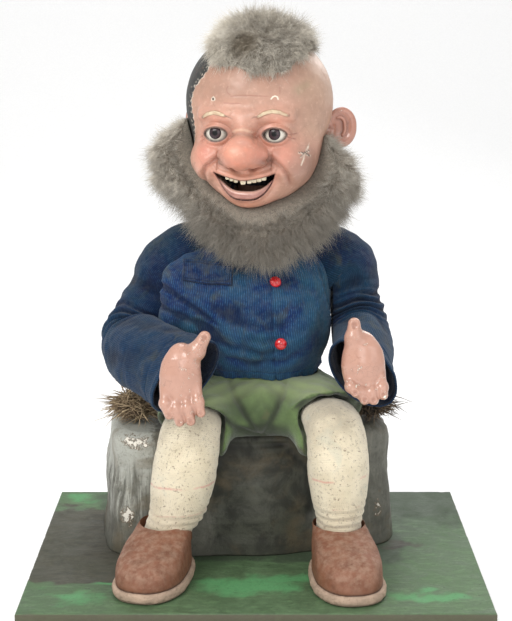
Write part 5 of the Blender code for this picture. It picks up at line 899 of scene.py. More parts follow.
STOCKING_ROWS = {
    "left": [(-0.0665, -0.0240, 0.0215, 0.0280, 0.0195), (-0.0695, -0.0440, 0.0190, 0.0315, 0.0235),
             (-0.0725, -0.0600, 0.0085, 0.0335, 0.0280), (-0.0755, -0.0690, -0.0100, 0.0345, 0.0320),
             (-0.0790, -0.0710, -0.0300, 0.0350, 0.0335), (-0.0850, -0.0715, -0.0600, 0.0320, 0.0310),
             (-0.0935, -0.0720, -0.0830, 0.0260, 0.0265), (-0.0985, -0.0710, -0.0950, 0.0240, 0.0265),
             (-0.0990, -0.0705, -0.1040, 0.0240, 0.0265)],
    "right": [(0.0765, -0.0220, 0.0245, 0.0280, 0.0195), (0.0820, -0.0430, 0.0235, 0.0310, 0.0240),
              (0.0865, -0.0600, 0.0150, 0.0320, 0.0285), (0.0890, -0.0700, -0.0040, 0.0335, 0.0315),
              (0.0900, -0.0730, -0.0260, 0.0335, 0.0325), (0.0905, -0.0755, -0.0550, 0.0300, 0.0300),
              (0.0905, -0.0760, -0.0770, 0.0250, 0.0260), (0.0905, -0.0755, -0.0930, 0.0240, 0.0265),
              (0.0905, -0.0750, -0.1040, 0.0240, 0.0265)]}
THIGH_ROWS = {
    "left": [(-0.0360, 0.0620, 0.0305, 0.0340, 0.0290), (-0.0500, 0.0300, 0.0305, 0.0400, 0.0295),
             (-0.0600, 0.0000, 0.0290, 0.0410, 0.0280), (-0.0665, -0.0240, 0.0262, 0.0405, 0.0255),
             (-0.0692, -0.0420, 0.0215, 0.0395, 0.0285)],
    "right": [(0.0400, 0.0620, 0.0305, 0.0340, 0.0290), (0.0550, 0.0300, 0.0315, 0.0400, 0.0300),
              (0.0660, 0.0000, 0.0305, 0.0410, 0.0295), (0.0762, -0.0220, 0.0290, 0.0408, 0.0280),
              (0.0815, -0.0410, 0.0258, 0.0400, 0.0295)]}


def raised(rows):
    """Rows given above the seat, put at their height in the world."""
    rows = np.array(rows, dtype=float)
    rows[:, 2] += SEAT_Z
    return rows


def wool_finish(cream, speck):
    """Knitted wool: cream and grey-brown flecks, faint pink and teal bands where dye has run, soiled low down, painted
    shade between the stitches.
    """
    def fill(tree, shader, place):
        uv = uv_of(tree)
        knit = use(tree, knitting(), UV=uv, Pitch=0.0019)
        parts = put(tree, "ShaderNodeSeparateXYZ", {0: place}).outputs
        fleck = span(tree, noise(tree, place, 330.0, 4.0, 0.75), 0.555, 0.66)
        broad = noise(tree, place, 38.0, 5.0, 0.6)
        colour = blend_of(tree, span(tree, broad, 0.35, 0.68), cream,
                          (0.86 * cream[0], 0.84 * cream[1], 0.80 * cream[2]))
        colour = blend_of(tree, sum_of(tree, "MULTIPLY", fleck, 0.80), colour, speck)
        grey = sum_of(tree, "MULTIPLY", span(tree, parts[2], 0.150, 0.205), span(tree, broad, 0.40, 0.62, 0.15, 0.6))
        colour = blend_of(tree, grey, colour, (0.36, 0.32, 0.25))
        bent = sum_of(tree, "ADD", sum_of(tree, "MULTIPLY_ADD", parts[0], -0.055, parts[2]), sum_of(
            tree, "MULTIPLY", broad, 0.006))
        pink = sum_of(tree, "MULTIPLY", span(tree, sum_of(tree, "ABSOLUTE", sum_of(
            tree, "SUBTRACT", bent, 0.1250)), 0.0004, 0.0018, 1.0, 0.0),
                      span(tree, noise(tree, place, 60.0), 0.40, 0.56))
        second = sum_of(tree, "MULTIPLY", span(tree, sum_of(tree, "ABSOLUTE", sum_of(
            tree, "SUBTRACT", bent, 0.0935)), 0.0003, 0.0014, 1.0, 0.0),
                        span(tree, noise(tree, place, 75.0), 0.46, 0.6))
        colour = blend_of(tree, sum_of(tree, "MULTIPLY", second, 0.4), colour, (0.55, 0.26, 0.20))
        colour = blend_of(tree, sum_of(tree, "MULTIPLY", pink, 0.5), colour, (0.62, 0.20, 0.17))
        stain = use(tree, mottle(), Vector=place, Scale=26.0, Low=0.56, High=0.70)["Mask"]
        colour = blend_of(tree, sum_of(tree, "MULTIPLY", stain, 0.20), colour, (0.32, 0.42, 0.40))
        low = span(tree, parts[2], 0.110, 0.062)
        colour = blend_of(tree, sum_of(tree, "MULTIPLY", low, 0.22), colour, (0.30, 0.22, 0.15))
        # painted shade where the knit lies low, between the stitches
        colour = blend_of(tree, span(tree, knit["Height"], 0.1, 0.7, 0.14, 0.0), colour, (0.26, 0.20, 0.14))
        feed(tree, shader, colour, None, knit["Height"], 0.0007, 0.75)
    return finish("Stocking wool", fill, Roughness=0.95, Sheen_Weight=0.35, Sheen_Roughness=0.5)


def stocking_piece(side, material):
    """A stuffed stocking: the leg's rings, with slack wrinkles round the ankle and behind the knee."""
    rows = curve(raised(STOCKING_ROWS[side]), 170)
    rings = tube(rows, 132, (1, 0, 0))
    z = rings[..., 2]
    turn = np.linspace(0.0, TAU, 132, endpoint=False)[None, :]
    phase = 1.3 if side == "left" else 0.2
    ankle = bell(z, 0.078, 0.017)
    folds = np.sin(TAU * (z / 0.0085 + 0.25 * np.sin(turn + phase) + 0.12 * np.sin(3.0 * turn + 2.0 * phase)))
    strong = 0.35 + 0.65 * ease(np.sin(turn + phase * 2.0), -0.6, 0.8)
    knee = bell(z, SEAT_Z - 0.012, 0.016) * bell(turn, 1.5 * math.pi, 1.2)
    height = 0.0011 * folds * ankle * strong + 0.0007 * np.sin(TAU * z / 0.012) * knee
    height += 0.0007 * waves(rings, 31 if side == "left" else 32, 0.034)
    rings = push(rings, height)
    mesh = skin_mesh("Stocking_" + side, rings, uv=lengths(rings))
    piece = object_of("Stocking_" + side, mesh, "base", material)
    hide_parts("stocking_" + side)


def leather_finish(tan, dark):
    """Dry brown leather: fine grain, scuffed pale dust on what looks up, dark along its lower edge."""
    def fill(tree, shader, place):
        grain = put(tree, "ShaderNodeTexVoronoi", {"Vector": place, "Scale": 780.0, "Randomness": 1.0},
                    feature="DISTANCE_TO_EDGE").outputs["Distance"]
        patch = noise(tree, place, 55.0, 6.0, 0.65)
        colour = blend_of(tree, span(tree, patch, 0.34, 0.68), tan, dark)
        parts = put(tree, "ShaderNodeSeparateColor", {0: layer(tree, "paint")}).outputs
        colour = blend_of(tree, parts[0], colour, (0.045, 0.020, 0.012))
        lie = use(tree, dust(), Vector=place, Scale=130.0, Amount=0.55)["Mask"]
        colour = blend_of(tree, lie, colour, (0.34, 0.225, 0.155))
        rub = span(tree, noise(tree, stretched(tree, place, (1.0, 3.0, 1.0)), 240.0, 5.0, 0.75), 0.58, 0.70)
        colour = blend_of(tree, sum_of(tree, "MULTIPLY", rub, 0.35), colour, (0.38, 0.24, 0.16))
        height = sum_of(tree, "ADD", span(tree, grain, 0.0, 0.25), sum_of(tree, "MULTIPLY", patch, 0.7))
        feed(tree, shader, colour, span(tree, patch, 0.3, 0.7, 0.50, 0.74), height, 0.0004, 0.5)
    return finish("Shoe leather", fill)


def sole_finish(pale):
    """Thick felted sole: pale, pitted, dirty in its pits and along the ground."""
    def fill(tree, shader, place):
        pits = noise(tree, place, 420.0, 6.0, 0.78)
        patch = noise(tree, place, 70.0, 5.0)
        parts = put(tree, "ShaderNodeSeparateXYZ", {0: place}).outputs
        colour = blend_of(tree, span(tree, patch, 0.35, 0.65), pale, toned(pale, 0.78))
        colour = blend_of(tree, span(tree, pits, 0.52, 0.66, 0.0, 0.45), colour, (0.18, 0.11, 0.07))
        low = span(tree, parts[2], 0.0185, 0.0150)
        colour = blend_of(tree, sum_of(tree, "MULTIPLY", low, 0.55), colour, (0.08, 0.06, 0.04))
        feed(tree, shader, colour, None, pits, 0.0012, 0.8)
    return finish("Sole felt", fill, Roughness=0.92)


def shoe_ring(side, height, share, grow, turn):
    """Ring of a shoe: the foot's outline mixed by a share with the oval round the ankle."""
    x, y = STOCKING_ROWS[side][-1][:2]
    angle = math.radians(-15.0 if side == "left" else 9.0)
    along_x, along_y = math.sin(angle), -math.cos(angle)
    cosine, sine = np.cos(turn), np.sin(turn)
    forward = np.sign(cosine) * np.abs(cosine) ** 0.8
    across = np.sign(sine) * np.abs(sine) ** 0.8
    widen = 0.88 + 0.12 * np.clip((forward + 0.5) / 0.9, 0.0, 1.0)
    foot_u, foot_v = 0.036 + (0.067 + grow) * forward, (0.040 + grow) * across * widen
    u = foot_u * (1.0 - share) + (0.001 + 0.0300 * cosine) * share
    v = foot_v * (1.0 - share) + 0.0285 * sine * share
    return np.stack([x + u * along_x - v * along_y, y + u * along_y + v * along_x, np.full_like(u, height)], axis=1)


def shoe_piece(side, leather, felt):
    """A shoe: an upper of foot rings that draw in to the ankle, with a seam across the instep and a worn
    toe, and a thick sole whose edge is a rough half-round."""
    turn = np.linspace(0.0, TAU, 260, endpoint=False)
    low = 0.014 + GAP
    rows = [(0.0, -0.0016), (0.0012, -0.0003), (0.0030, 0.0006), (0.0055, 0.0009), (0.0080, 0.0005),
            (0.0100, -0.0004), (0.0110, -0.0022)]
    fine = curve(np.array(rows), 26)
    rings = np.array([shoe_ring(side, low + height, 0.0, grow, turn) for height, grow in fine])
    inner = [shoe_ring(side, low + 0.0110, 0.0, grow, turn) for grow in (-0.006, -0.020)]
    rings = np.concatenate([rings, inner])
    rough = 0.0006 * waves(rings, 41 if side == "left" else 42, 0.009) + 0.0004 * waves(rings, 43, 0.028)
    rough *= ease(rings[..., 2], low, low + 0.002)
    rings = push(rings, rough)
    rings[..., 2] = np.clip(rings[..., 2], low, low + 0.0112)
    piece = object_of("Sole_" + side, skin_mesh("Sole_" + side, rings), "base", felt)
    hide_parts("shoe_sole_" + side)
    low += 0.011 + GAP
    levels = np.array([(0.0, 0.0), (0.16, -0.01), (0.36, 0.03), (0.55, 0.16), (0.72, 0.40), (0.87, 0.72), (1.0, 0.97)])
    fine = curve(levels, 74)
    rings = np.array([shoe_ring(side, low + height * 0.0435, share, -0.003, turn) for height, share in fine])
    lip = [shoe_ring(side, low + 0.0435 + up, 0.97 + more, -0.003, turn)
           for up, more in ((0.0012, 0.010), (0.0016, 0.03), (0.0008, 0.055), (-0.006, 0.06), (-0.018, 0.06))]
    rings = np.concatenate([rings, lip])
    share = np.concatenate([fine[:, 1], [1.0] * 5])[:, None]
    height = (rings[..., 2] - low) / 0.0435
    ahead = np.cos(turn)[None, :]
    seam_at = 0.62 - 0.30 * np.abs(np.sin(turn))[None, :]
    seam = bell(share, seam_at, 0.030) * ease(ahead, 0.05, 0.35)
    back = bell(turn[None, :], math.pi, 0.030) * ease(height, 1.05, 0.85)
    crease = bell(share, 0.30 + 0.05 * np.sin(3.0 * turn)[None, :], 0.05) * ease(ahead, 0.2, 0.6)
    bump = (-0.0002 * seam - 0.0008 * back - 0.0005 * crease + 0.0007
            * waves(rings, 44 if side == "left" else 45, 0.028)
            + 0.0005 * ease(share, 0.50, 0.62) * ease(ahead, -0.2, 0.2) * (share < 0.97))
    rings = push(rings, bump * ease(height, 0.0, 0.08))
    # darker along the seams, at the heel and along the lower edge, with a little painted shade in the creases
    dark = np.clip(0.12 * seam + 0.7 * back + 0.9 * ease(height, 0.075, 0.0) + 0.12 * crease, 0.0, 1.0)
    mesh = skin_mesh("Shoe_" + side, rings, close=(True, True))
    tint = np.zeros((len(mesh.vertices), 3))
    tint[:dark.size, 0] = dark.ravel()
    paint_points(mesh, tint)
    piece = object_of("Shoe_" + side, mesh, "base", leather)
    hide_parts("shoe_upper_" + side)


def felt_finish(green, shade):
    """Green felt: matted fibres, a painted highlight on what faces up at the front, painted shade in the folds, the
    crotch and on what faces down.
    """
    def fill(tree, shader, place):
        matt = noise(tree, place, 850.0, 6.0, 0.8, 1.5)
        broad = noise(tree, place, 34.0, 6.0, 0.65)
        cavity = put(tree, "ShaderNodeSeparateColor", {0: layer(tree, "paint")}).outputs
        colour = blend_of(tree, span(tree, broad, 0.36, 0.66), green, tuple(min(1.0, 1.45 * c) for c in green))
        colour = blend_of(tree, span(tree, matt, 0.45, 0.65, 0.0, 0.5), colour, shade)
        # painted shade in the folds, the crotch and on what faces down, then a painted highlight on what faces up
        colour = blend_of(tree, cavity[0], colour, shade)
        colour = blend_of(tree, sum_of(tree, "MULTIPLY", cavity[1], 0.6), colour, (0.30, 0.36, 0.17))
        stain = use(tree, mottle(), Vector=place, Scale=52.0, Low=0.60, High=0.70)["Mask"]
        colour = blend_of(tree, sum_of(tree, "MULTIPLY", stain, 0.45), colour, (0.10, 0.085, 0.035))
        feed(tree, shader, colour, None, matt, 0.0007, 0.7)
    return finish("Shorts felt", fill, Roughness=0.93, Sheen_Weight=0.3, Sheen_Roughness=0.6)


def limb_distance(points, rows, grow=0.0):
    """Distance to an oval limb: bars between the rows in a space where each oval is made round."""
    rows = np.asarray(rows, dtype=float)
    total = None
    for one, two in zip(rows[:-1], rows[1:]):
        flat = (one[4] + two[4]) / (one[3] + two[3])
        scale = np.array((1.0, 1.0, 1.0 / flat))
        d = bar_distance(points * scale, one[:3] * scale, two[:3] * scale, one[3] + grow, two[3]
                         + grow) * min(1.0, flat * 1.2)
        total = d if total is None else melt(total, d, 0.006)
    return total


def shorts_distance(points):
    """The shorts: a rounded band about the hips melted with two legs, each cut off square above the knee and
    hollowed for the stocking."""
    x, y, z = points[:, 0] - FIGURE_X, points[:, 1] - 0.064, points[:, 2]
    band = ((np.abs(x) / 0.0652) ** 4.0 + (np.abs(y) / 0.0612) ** 4.0) ** 0.25
    d = np.maximum((band - 1.0) * 0.060, np.maximum(z - 0.2145, 0.1556 - z) * 0.8)
    for side in ("left", "right"):
        rows = raised(THIGH_ROWS[side])
        leg = limb_distance(points, rows)
        end = rows[-1, :3]
        way = rows[-1, :3] - rows[-2, :3]
        way /= np.linalg.norm(way)
        way = (way + np.array((0.0, 0.0, -0.55))) / np.linalg.norm(way + np.array((0.0, 0.0, -0.55)))
        leg = np.maximum(leg, (points - end + way * (0.0150 if side == "right" else 0.0020)) @ way)
        d = melt(d, leg, 0.012)
    for end_x, end_y, start_x in ((-0.0480, -0.0500, -0.0430), (0.0600, -0.0440, 0.0520)):
        drop = bar_distance(points, np.array((start_x, -0.020, 0.176)), np.array((end_x, end_y, 0.152)), 0.024, 0.0165)
        d = melt(d, drop, 0.010)
    d = melt(d, bar_distance(points, (-0.032, -0.0190, 0.1715), (0.046, -0.0175, 0.1740), 0.0205), 0.014)
    d = melt(d, bar_distance(points, (-0.034, -0.0060, 0.1890), (0.048, -0.0050, 0.1900), 0.0205), 0.014)
    for side in ("left", "right"):
        rows = raised(STOCKING_ROWS[side])[:6]
        d = carve(d, limb_distance(points, rows, 0.0030), 0.0015)
    floor = np.where(points[:, 1] < -0.0345, 0.1375 + 0.35 * np.abs(np.abs(points[:, 0] - 0.006) - 0.052), 0.1546)
    return np.maximum(d, floor - z)


# The creases that run down to the crotch, as (x, z) points
SHORTS_CREASES = [[(-0.030, 0.212), (-0.014, 0.186), (0.004, 0.156), (0.006, 0.148)],
                  [(0.033, 0.212), (0.022, 0.186), (0.009, 0.158), (0.007, 0.148)],
                  [(-0.044, 0.190), (-0.020, 0.168), (0.004, 0.156)]]


def shorts_piece(settings):
    """The felt shorts, a surface net of their distance with slack folds pushed out along the normals."""
    points, faces = net(shorts_distance, (-0.112, -0.072, 0.132), (0.124, 0.130, 0.2175), 0.0021)
    x, y, z = points[:, 0], points[:, 1], points[:, 2]
    mesh = mesh_of("Shorts", points, faces)
    normal = np.empty(len(points) * 3, dtype=np.float32)
    mesh.vertices.foreach_get("normal", normal)
    normal = normal.reshape(-1, 3)
    pull = np.sin(TAU * ((y + 0.9 * np.abs(x - 0.006)) / 0.021)) * bell(z, 0.200, 0.022) * ease(0.05 - y, 0.0, 0.04)
    slack = waves(points, 51, 0.030)
    keep = np.where(y < -0.030, 1.0, ease(z, 0.1550, 0.1640)) * ease(z, 0.2160, 0.2120)
    ahead = ease(0.03 - y, 0.0, 0.02)
    nears = [line_distance(x, z, line)[0] for line in SHORTS_CREASES]
    cut = np.max([bell(near, 0.0, 0.0028) * ahead for near in nears], axis=0)
    points = points + normal * ((0.0010 * pull + 0.0009 * slack - 0.0022 * cut) * keep)[:, None]
    points[:, 2] = np.clip(points[:, 2], np.where(y < -0.034, 0.1370, 0.1546), 0.2150)
    mesh.vertices.foreach_set("co", points.astype(np.float32).ravel())
    mesh.update()
    # painted shade in the crotch, creases, fold valleys, two patches by the lap and on what faces down; painted
    # highlight on what faces up at the front
    crotch = bell(x, 0.0075, 0.010) * ease(0.045 - y, 0.0, 0.03) * ease(z, 0.196, 0.168)
    creases = np.max([0.8 * bell(near, 0.0, 0.0036) * ahead for near in nears], axis=0)
    folds = np.clip(-pull, 0.0, 1.0) * 0.35 + creases
    folds += 0.55 * bell(np.hypot((x + 0.020) * 0.9, z - 0.186), 0.0, 0.013) * ahead
    folds += 0.40 * bell(np.hypot(x - 0.022, (z - 0.196) * 0.8), 0.0, 0.010) * ahead
    under = ease(normal[:, 2], 0.05, -0.35) * 0.8
    top_highlight = ease(normal[:, 2], 0.5, 0.95) * ease(0.02 - y, 0.0, 0.04)
    dark = np.clip(crotch * 0.85 + folds + under, 0.0, 1.0)
    paint_points(mesh, np.stack([dark, top_highlight, np.zeros_like(x)], axis=1))
    piece = object_of("Shorts", mesh, "base", felt_finish(tuple(settings.felt), toned(settings.felt, 0.22)))
    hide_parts("shorts")


# Jacket, sleeves, flap and buttons

TORSO_ROWS = ((0.0640, 0.06380, 0.06060, 0.06356), (0.0700, 0.0660, 0.0640, 0.0630), (0.0850, 0.0735, 0.0730, 0.0620),
              (0.1000, 0.0780, 0.0780, 0.0610), (0.1200, 0.0785, 0.0790, 0.0610), (0.1400, 0.0785, 0.0760, 0.0620),
              (0.1580, 0.0785, 0.0700, 0.0640), (0.1730, 0.0780, 0.0620, 0.0660), (0.1870, 0.0730, 0.0530, 0.0670),
              (0.1970, 0.0620, 0.0450, 0.0665), (0.2040, 0.0460, 0.0360, 0.0635), (0.2080, 0.0300, 0.0270, 0.0610),
              (0.2090, 0.0205, 0.0205, 0.0600))
CLOTH_THICKNESS = 0.0028
ARMHOLE_Y, ARMHOLE_Z = 0.071, 0.313


def cord_finish(name, blue, faded, dusty, soiled=0.0):
    """Needlecord: ribs along v, worn paler on their crowns, sun-faded patches, dusty olive stains, dark grime, painted
    shade in the rib valleys, the fold hollows and inside, and a painted highlight on the fold crests.
    """
    def fill(tree, shader, place):
        cord = use(tree, needlecord(), UV=uv_of(tree), Pitch=0.0021)
        broad = use(tree, mottle(), Vector=place, Scale=17.0, Low=0.45, High=0.62)["Mask"]
        blotch = use(tree, mottle(), Vector=place, Scale=44.0, Low=0.52, High=0.68)["Mask"]
        stain = use(tree, mottle(), Vector=stretched(tree, place, (1.0, 1.0, 0.55)), Scale=36.0, Low=0.58,
                    High=0.70)["Mask"]
        fold = put(tree, "ShaderNodeSeparateColor", {0: layer(tree, "paint")}).outputs
        colour = blend_of(tree, sum_of(tree, "MULTIPLY", broad, 0.75), blue, faded)
        colour = blend_of(tree, sum_of(tree, "MULTIPLY", blotch, 0.45), colour, dusty)
        teal = use(tree, mottle(), Vector=place, Scale=9.0, Low=0.47, High=0.60)["Mask"]
        colour = blend_of(tree, sum_of(tree, "MULTIPLY", teal, 0.60), colour, tuple(
            f * c for f, c in zip((0.9, 1.25, 0.95), faded)))
        # painted highlight on the fold crests, and lighter on the sleeves' forearm half, from the points' paint
        colour = blend_of(tree, sum_of(tree, "MULTIPLY", fold[1], 0.60), colour, toned(faded, 1.35))
        colour = blend_of(tree, sum_of(tree, "MULTIPLY", stain, 0.42), colour, (0.062, 0.064, 0.044))
        worn = sum_of(tree, "MULTIPLY", span(tree, cord["Rib"], 0.45, 0.95), span(tree, cord["Rub"], 0.42, 0.66))
        colour = blend_of(tree, sum_of(tree, "MULTIPLY", worn, 0.42), colour,
                          tuple(min(1.0, 2.4 * c + 0.02) for c in faded))
        # painted shade in the valleys between the ribs
        colour = blend_of(tree, span(tree, cord["Rib"], 0.05, 0.5, 0.55, 0.0), colour, toned(blue, 0.25))
        # painted shade in the fold hollows and on the inside of the cloth
        colour = blend_of(tree, sum_of(tree, "MULTIPLY", fold[0], 0.75), colour, toned(blue, 0.30))
        lie = use(tree, dust(), Vector=place, Scale=120.0, Amount=0.16 + soiled)["Mask"]
        colour = blend_of(tree, lie, colour, (0.16, 0.17, 0.145))
        feed(tree, shader, colour, None, cord["Height"], 0.00055, 0.9)
    return finish(name, fill, Roughness=0.92, Specular_IOR_Level=0.18, Sheen_Weight=0.10, Sheen_Roughness=0.45)


def torso_grid(rows, columns):
    """Rings of the bust under the jacket: superellipses of power 2.6, 2.2 at the collar."""
    turn = np.linspace(0.0, TAU, columns, endpoint=False)
    grid = []
    for rise, a, b, y in curve(np.array(TORSO_ROWS), rows):
        power = 2.6 if rise < 0.2 else 2.2
        x, along = ring_of(FIGURE_X, y, a, b, power, turn)
        grid.append(np.stack([x, along, np.full(columns, SEAT_Z + rise + GAP)], axis=1))
    return np.array(grid)


def placket_line(z):
    """Where the jacket's front edge runs: from x = 16.5 mm at the upper button to 21.5 mm at the hem."""
    return 0.0165 + (0.325 - z) * 0.055


def jacket_height(grid):
    """Height of folds on the jacket: rolls that sag across the belly, creases fanning from each armhole, the
    step of the overlapping front, a seam down each side and the puckered seam round each armhole."""
    x, y, z = grid[..., 0] - FIGURE_X, grid[..., 1], grid[..., 2]
    rise = z - SEAT_Z
    front = ease(0.052 - y, 0.0, 0.045)
    side = ease(np.abs(x), 0.080, 0.064)
    bow = 4.6 * (x - 0.004) ** 2
    total = np.zeros_like(x)
    for level, width, deep, slant, reach in ((0.0835, 0.0045, 0.0026, 0.03, 0.050),
                                             (0.0955, 0.0050, 0.0030, -0.06, 0.058),
                                             (0.1080, 0.0055, 0.0022, 0.05, 0.046),
                                             (0.1230, 0.0060, 0.0020, -0.04, 0.052),
                                             (0.1360, 0.0055, 0.0014, 0.08, 0.040)):
        line = level + bow + slant * x + 0.0012 * np.sin(x * 190.0 + level * 900.0)
        total -= deep * bell(rise, line, width) * ease(reach - np.abs(x - slant * 0.3), 0.0, 0.022) * front
        total += 0.55 * deep * bell(rise, line - 1.9 * width, width * 1.3) * ease(reach - np.abs(x), 0.0, 0.02) * front
    for sign in (-1.0, 1.0):
        out_x, up = x - sign * 0.074, z - (ARMHOLE_Z - 0.004)
        reach = np.hypot(out_x, up)
        way = np.arctan2(-up, -sign * out_x)
        fan = np.sin(way * 7.5 + (0.8 if sign > 0 else 2.1))
        total += 0.0019 * fan * bell(reach, 0.050, 0.026) * front * ease(x * sign, 0.0, 0.025)
        hoop = np.hypot(y - ARMHOLE_Y, z - ARMHOLE_Z)
        near = ease(x * sign, 0.058, 0.068)
        total -= 0.0016 * bell(hoop, 0.0475, 0.0022) * near
        total += 0.0010 * bell(hoop, 0.0520,
                               0.0035) * near * (1.0 + 0.4 * np.sin(np.arctan2(z - ARMHOLE_Z, y - ARMHOLE_Y) * 34.0))
    for level, lean, deep in ((0.1420, 0.62, 0.0034), (0.1270, 0.34, 0.0030), (0.1130, 0.06, 0.0024)):
        total -= deep * bell(rise + lean * (x + 0.072), level, 0.0036) * ease(x, -0.030, -0.058) * front
    back = ease(y, 0.075, 0.110)
    total += back * 0.0020 * np.sin(TAU * (rise / 0.036 + 6.0 * x ** 2 * 60.0)) * bell(rise, 0.115, 0.035)
    total -= back * 0.0012 * bell(x, 0.0, 0.0011)
    line = placket_line(z) - FIGURE_X
    lap = ease(x - line, -0.0007, 0.0007) * front
    total += 0.0013 * lap - 0.0011 * bell(x, line - 0.0008, 0.0008) * front
    total -= 0.0004 * bell(x, line + 0.0042, 0.0006) * front
    total += 0.0016 * waves(grid, 61, 0.055) * side * 0.6 + 0.0005 * waves(grid, 62, 0.018)
    hem = ease(rise, 0.0700, 0.0720)
    total -= 0.0006 * bell(rise, 0.0722, 0.0007)
    total += 0.0004 * (1.0 - hem) * (1.0 + np.sin(np.arctan2(y - 0.063, x) * 46.0))
    lower = ease(rise, 0.092, 0.066)
    total += lower * (0.0010 * np.sin(np.arctan2(y - 0.063, x) * 9.0 + 1.0) + 0.0004 * np.sin(
        np.arctan2(y - 0.063, x) * 17.0))
    collar = ease(rise, 0.196, 0.206)
    return total * (1.0 - 0.8 * collar)


# Middle of the bust in y, how far the drape over the upper arm stands out, and the flap's place and size
BUST_Y = 0.063
DRAPE = (0.032, 0.010, 0.0)
FLAP_LEFT, FLAP_TOP, FLAP_HALF, FLAP_DROP = 0.0570, 0.1905, 0.0275, 0.0230


def jacket_grids(rows=250, columns=372):
    """Outer and inner rings of the jacket and the height of its folds."""
    grid = torso_grid(rows, columns)
    rise = grid[..., 2] - SEAT_Z
    round_left = np.degrees(np.arctan2(BUST_Y - grid[..., 1], FIGURE_X - grid[..., 0]))
    wing = bell(round_left, 26.0, 24.0) * ease(rise, 0.078, 0.118) * ease(rise, 0.206, 0.178)
    grid = grid - wing[..., None] * DRAPE
    flare = 0.0040 * np.clip((0.088 - rise) / 0.024, 0.0, 1.0) ** 1.5
    height = jacket_height(grid)
    inner = push(grid, flare + 0.0006)
    outer = push(grid, flare + 0.0006 + CLOTH_THICKNESS + np.maximum(height + 0.0008, -0.0012))
    drop = 0.014 * ease(grid[0, :, 1], 0.080, 0.112)
    sag = 0.0007 * np.sin(np.arctan2(grid[0, :, 1] - BUST_Y, grid[0, :, 0]) * 5.0 + 0.7) * ease(0.06 - grid[0, :, 1], 0,
                                                                                                0.03)
    fall = (drop + sag)[None, :] * np.linspace(1.0, 0.0, 26)[:, None]
    for surface in (outer, inner):
        surface[:26, :, 2] -= fall
    return outer, inner, height


def front_table(grid):
    """The front of a grid of rings read on an even lattice of x and z: its y there."""
    xs, zs = np.linspace(-0.094, 0.080, 350), np.linspace(grid[30, 0, 2], 0.352, 260)
    ys, levels = np.empty((len(grid), len(xs))), np.empty((len(grid), len(xs)))
    for row, ring in enumerate(grid):
        front = ring[ring[:, 1] < ring[:, 1].mean()]
        front = front[np.argsort(front[:, 0])]
        ys[row] = np.interp(xs, front[:, 0], front[:, 1])
        levels[row] = np.interp(xs, front[:, 0], front[:, 2])
    table = np.stack([np.interp(zs, levels[:, k], ys[:, k]) for k in range(len(xs))])
    return xs, zs, table


def front_at(table, x, z):
    """Point and outward normal on the jacket's front at arrays of x and z, read between the lattice's points."""
    xs, zs, ys = table

    def read(a, b):
        i = np.clip((a - xs[0]) / (xs[1] - xs[0]), 0, len(xs) - 1.001)
        k = np.clip((b - zs[0]) / (zs[1] - zs[0]), 0, len(zs) - 1.001)
        m, n = i.astype(int), k.astype(int)
        s, t = i - m, k - n
        return ((ys[m, n] * (1 - s) + ys[m + 1, n] * s) * (1 - t) + (ys[m, n + 1] * (1 - s) + ys[m + 1, n + 1] * s) * t)

    reach = 0.002
    dx = (read(x + reach, z) - read(x - reach, z)) / (2 * reach)
    dz = (read(x, z + reach) - read(x, z - reach)) / (2 * reach)
    normal = np.stack([dx, -np.ones_like(dx), dz], axis=-1)
    normal /= np.linalg.norm(normal, axis=-1, keepdims=True)
    return np.stack([x, read(x, z), z], axis=-1), normal


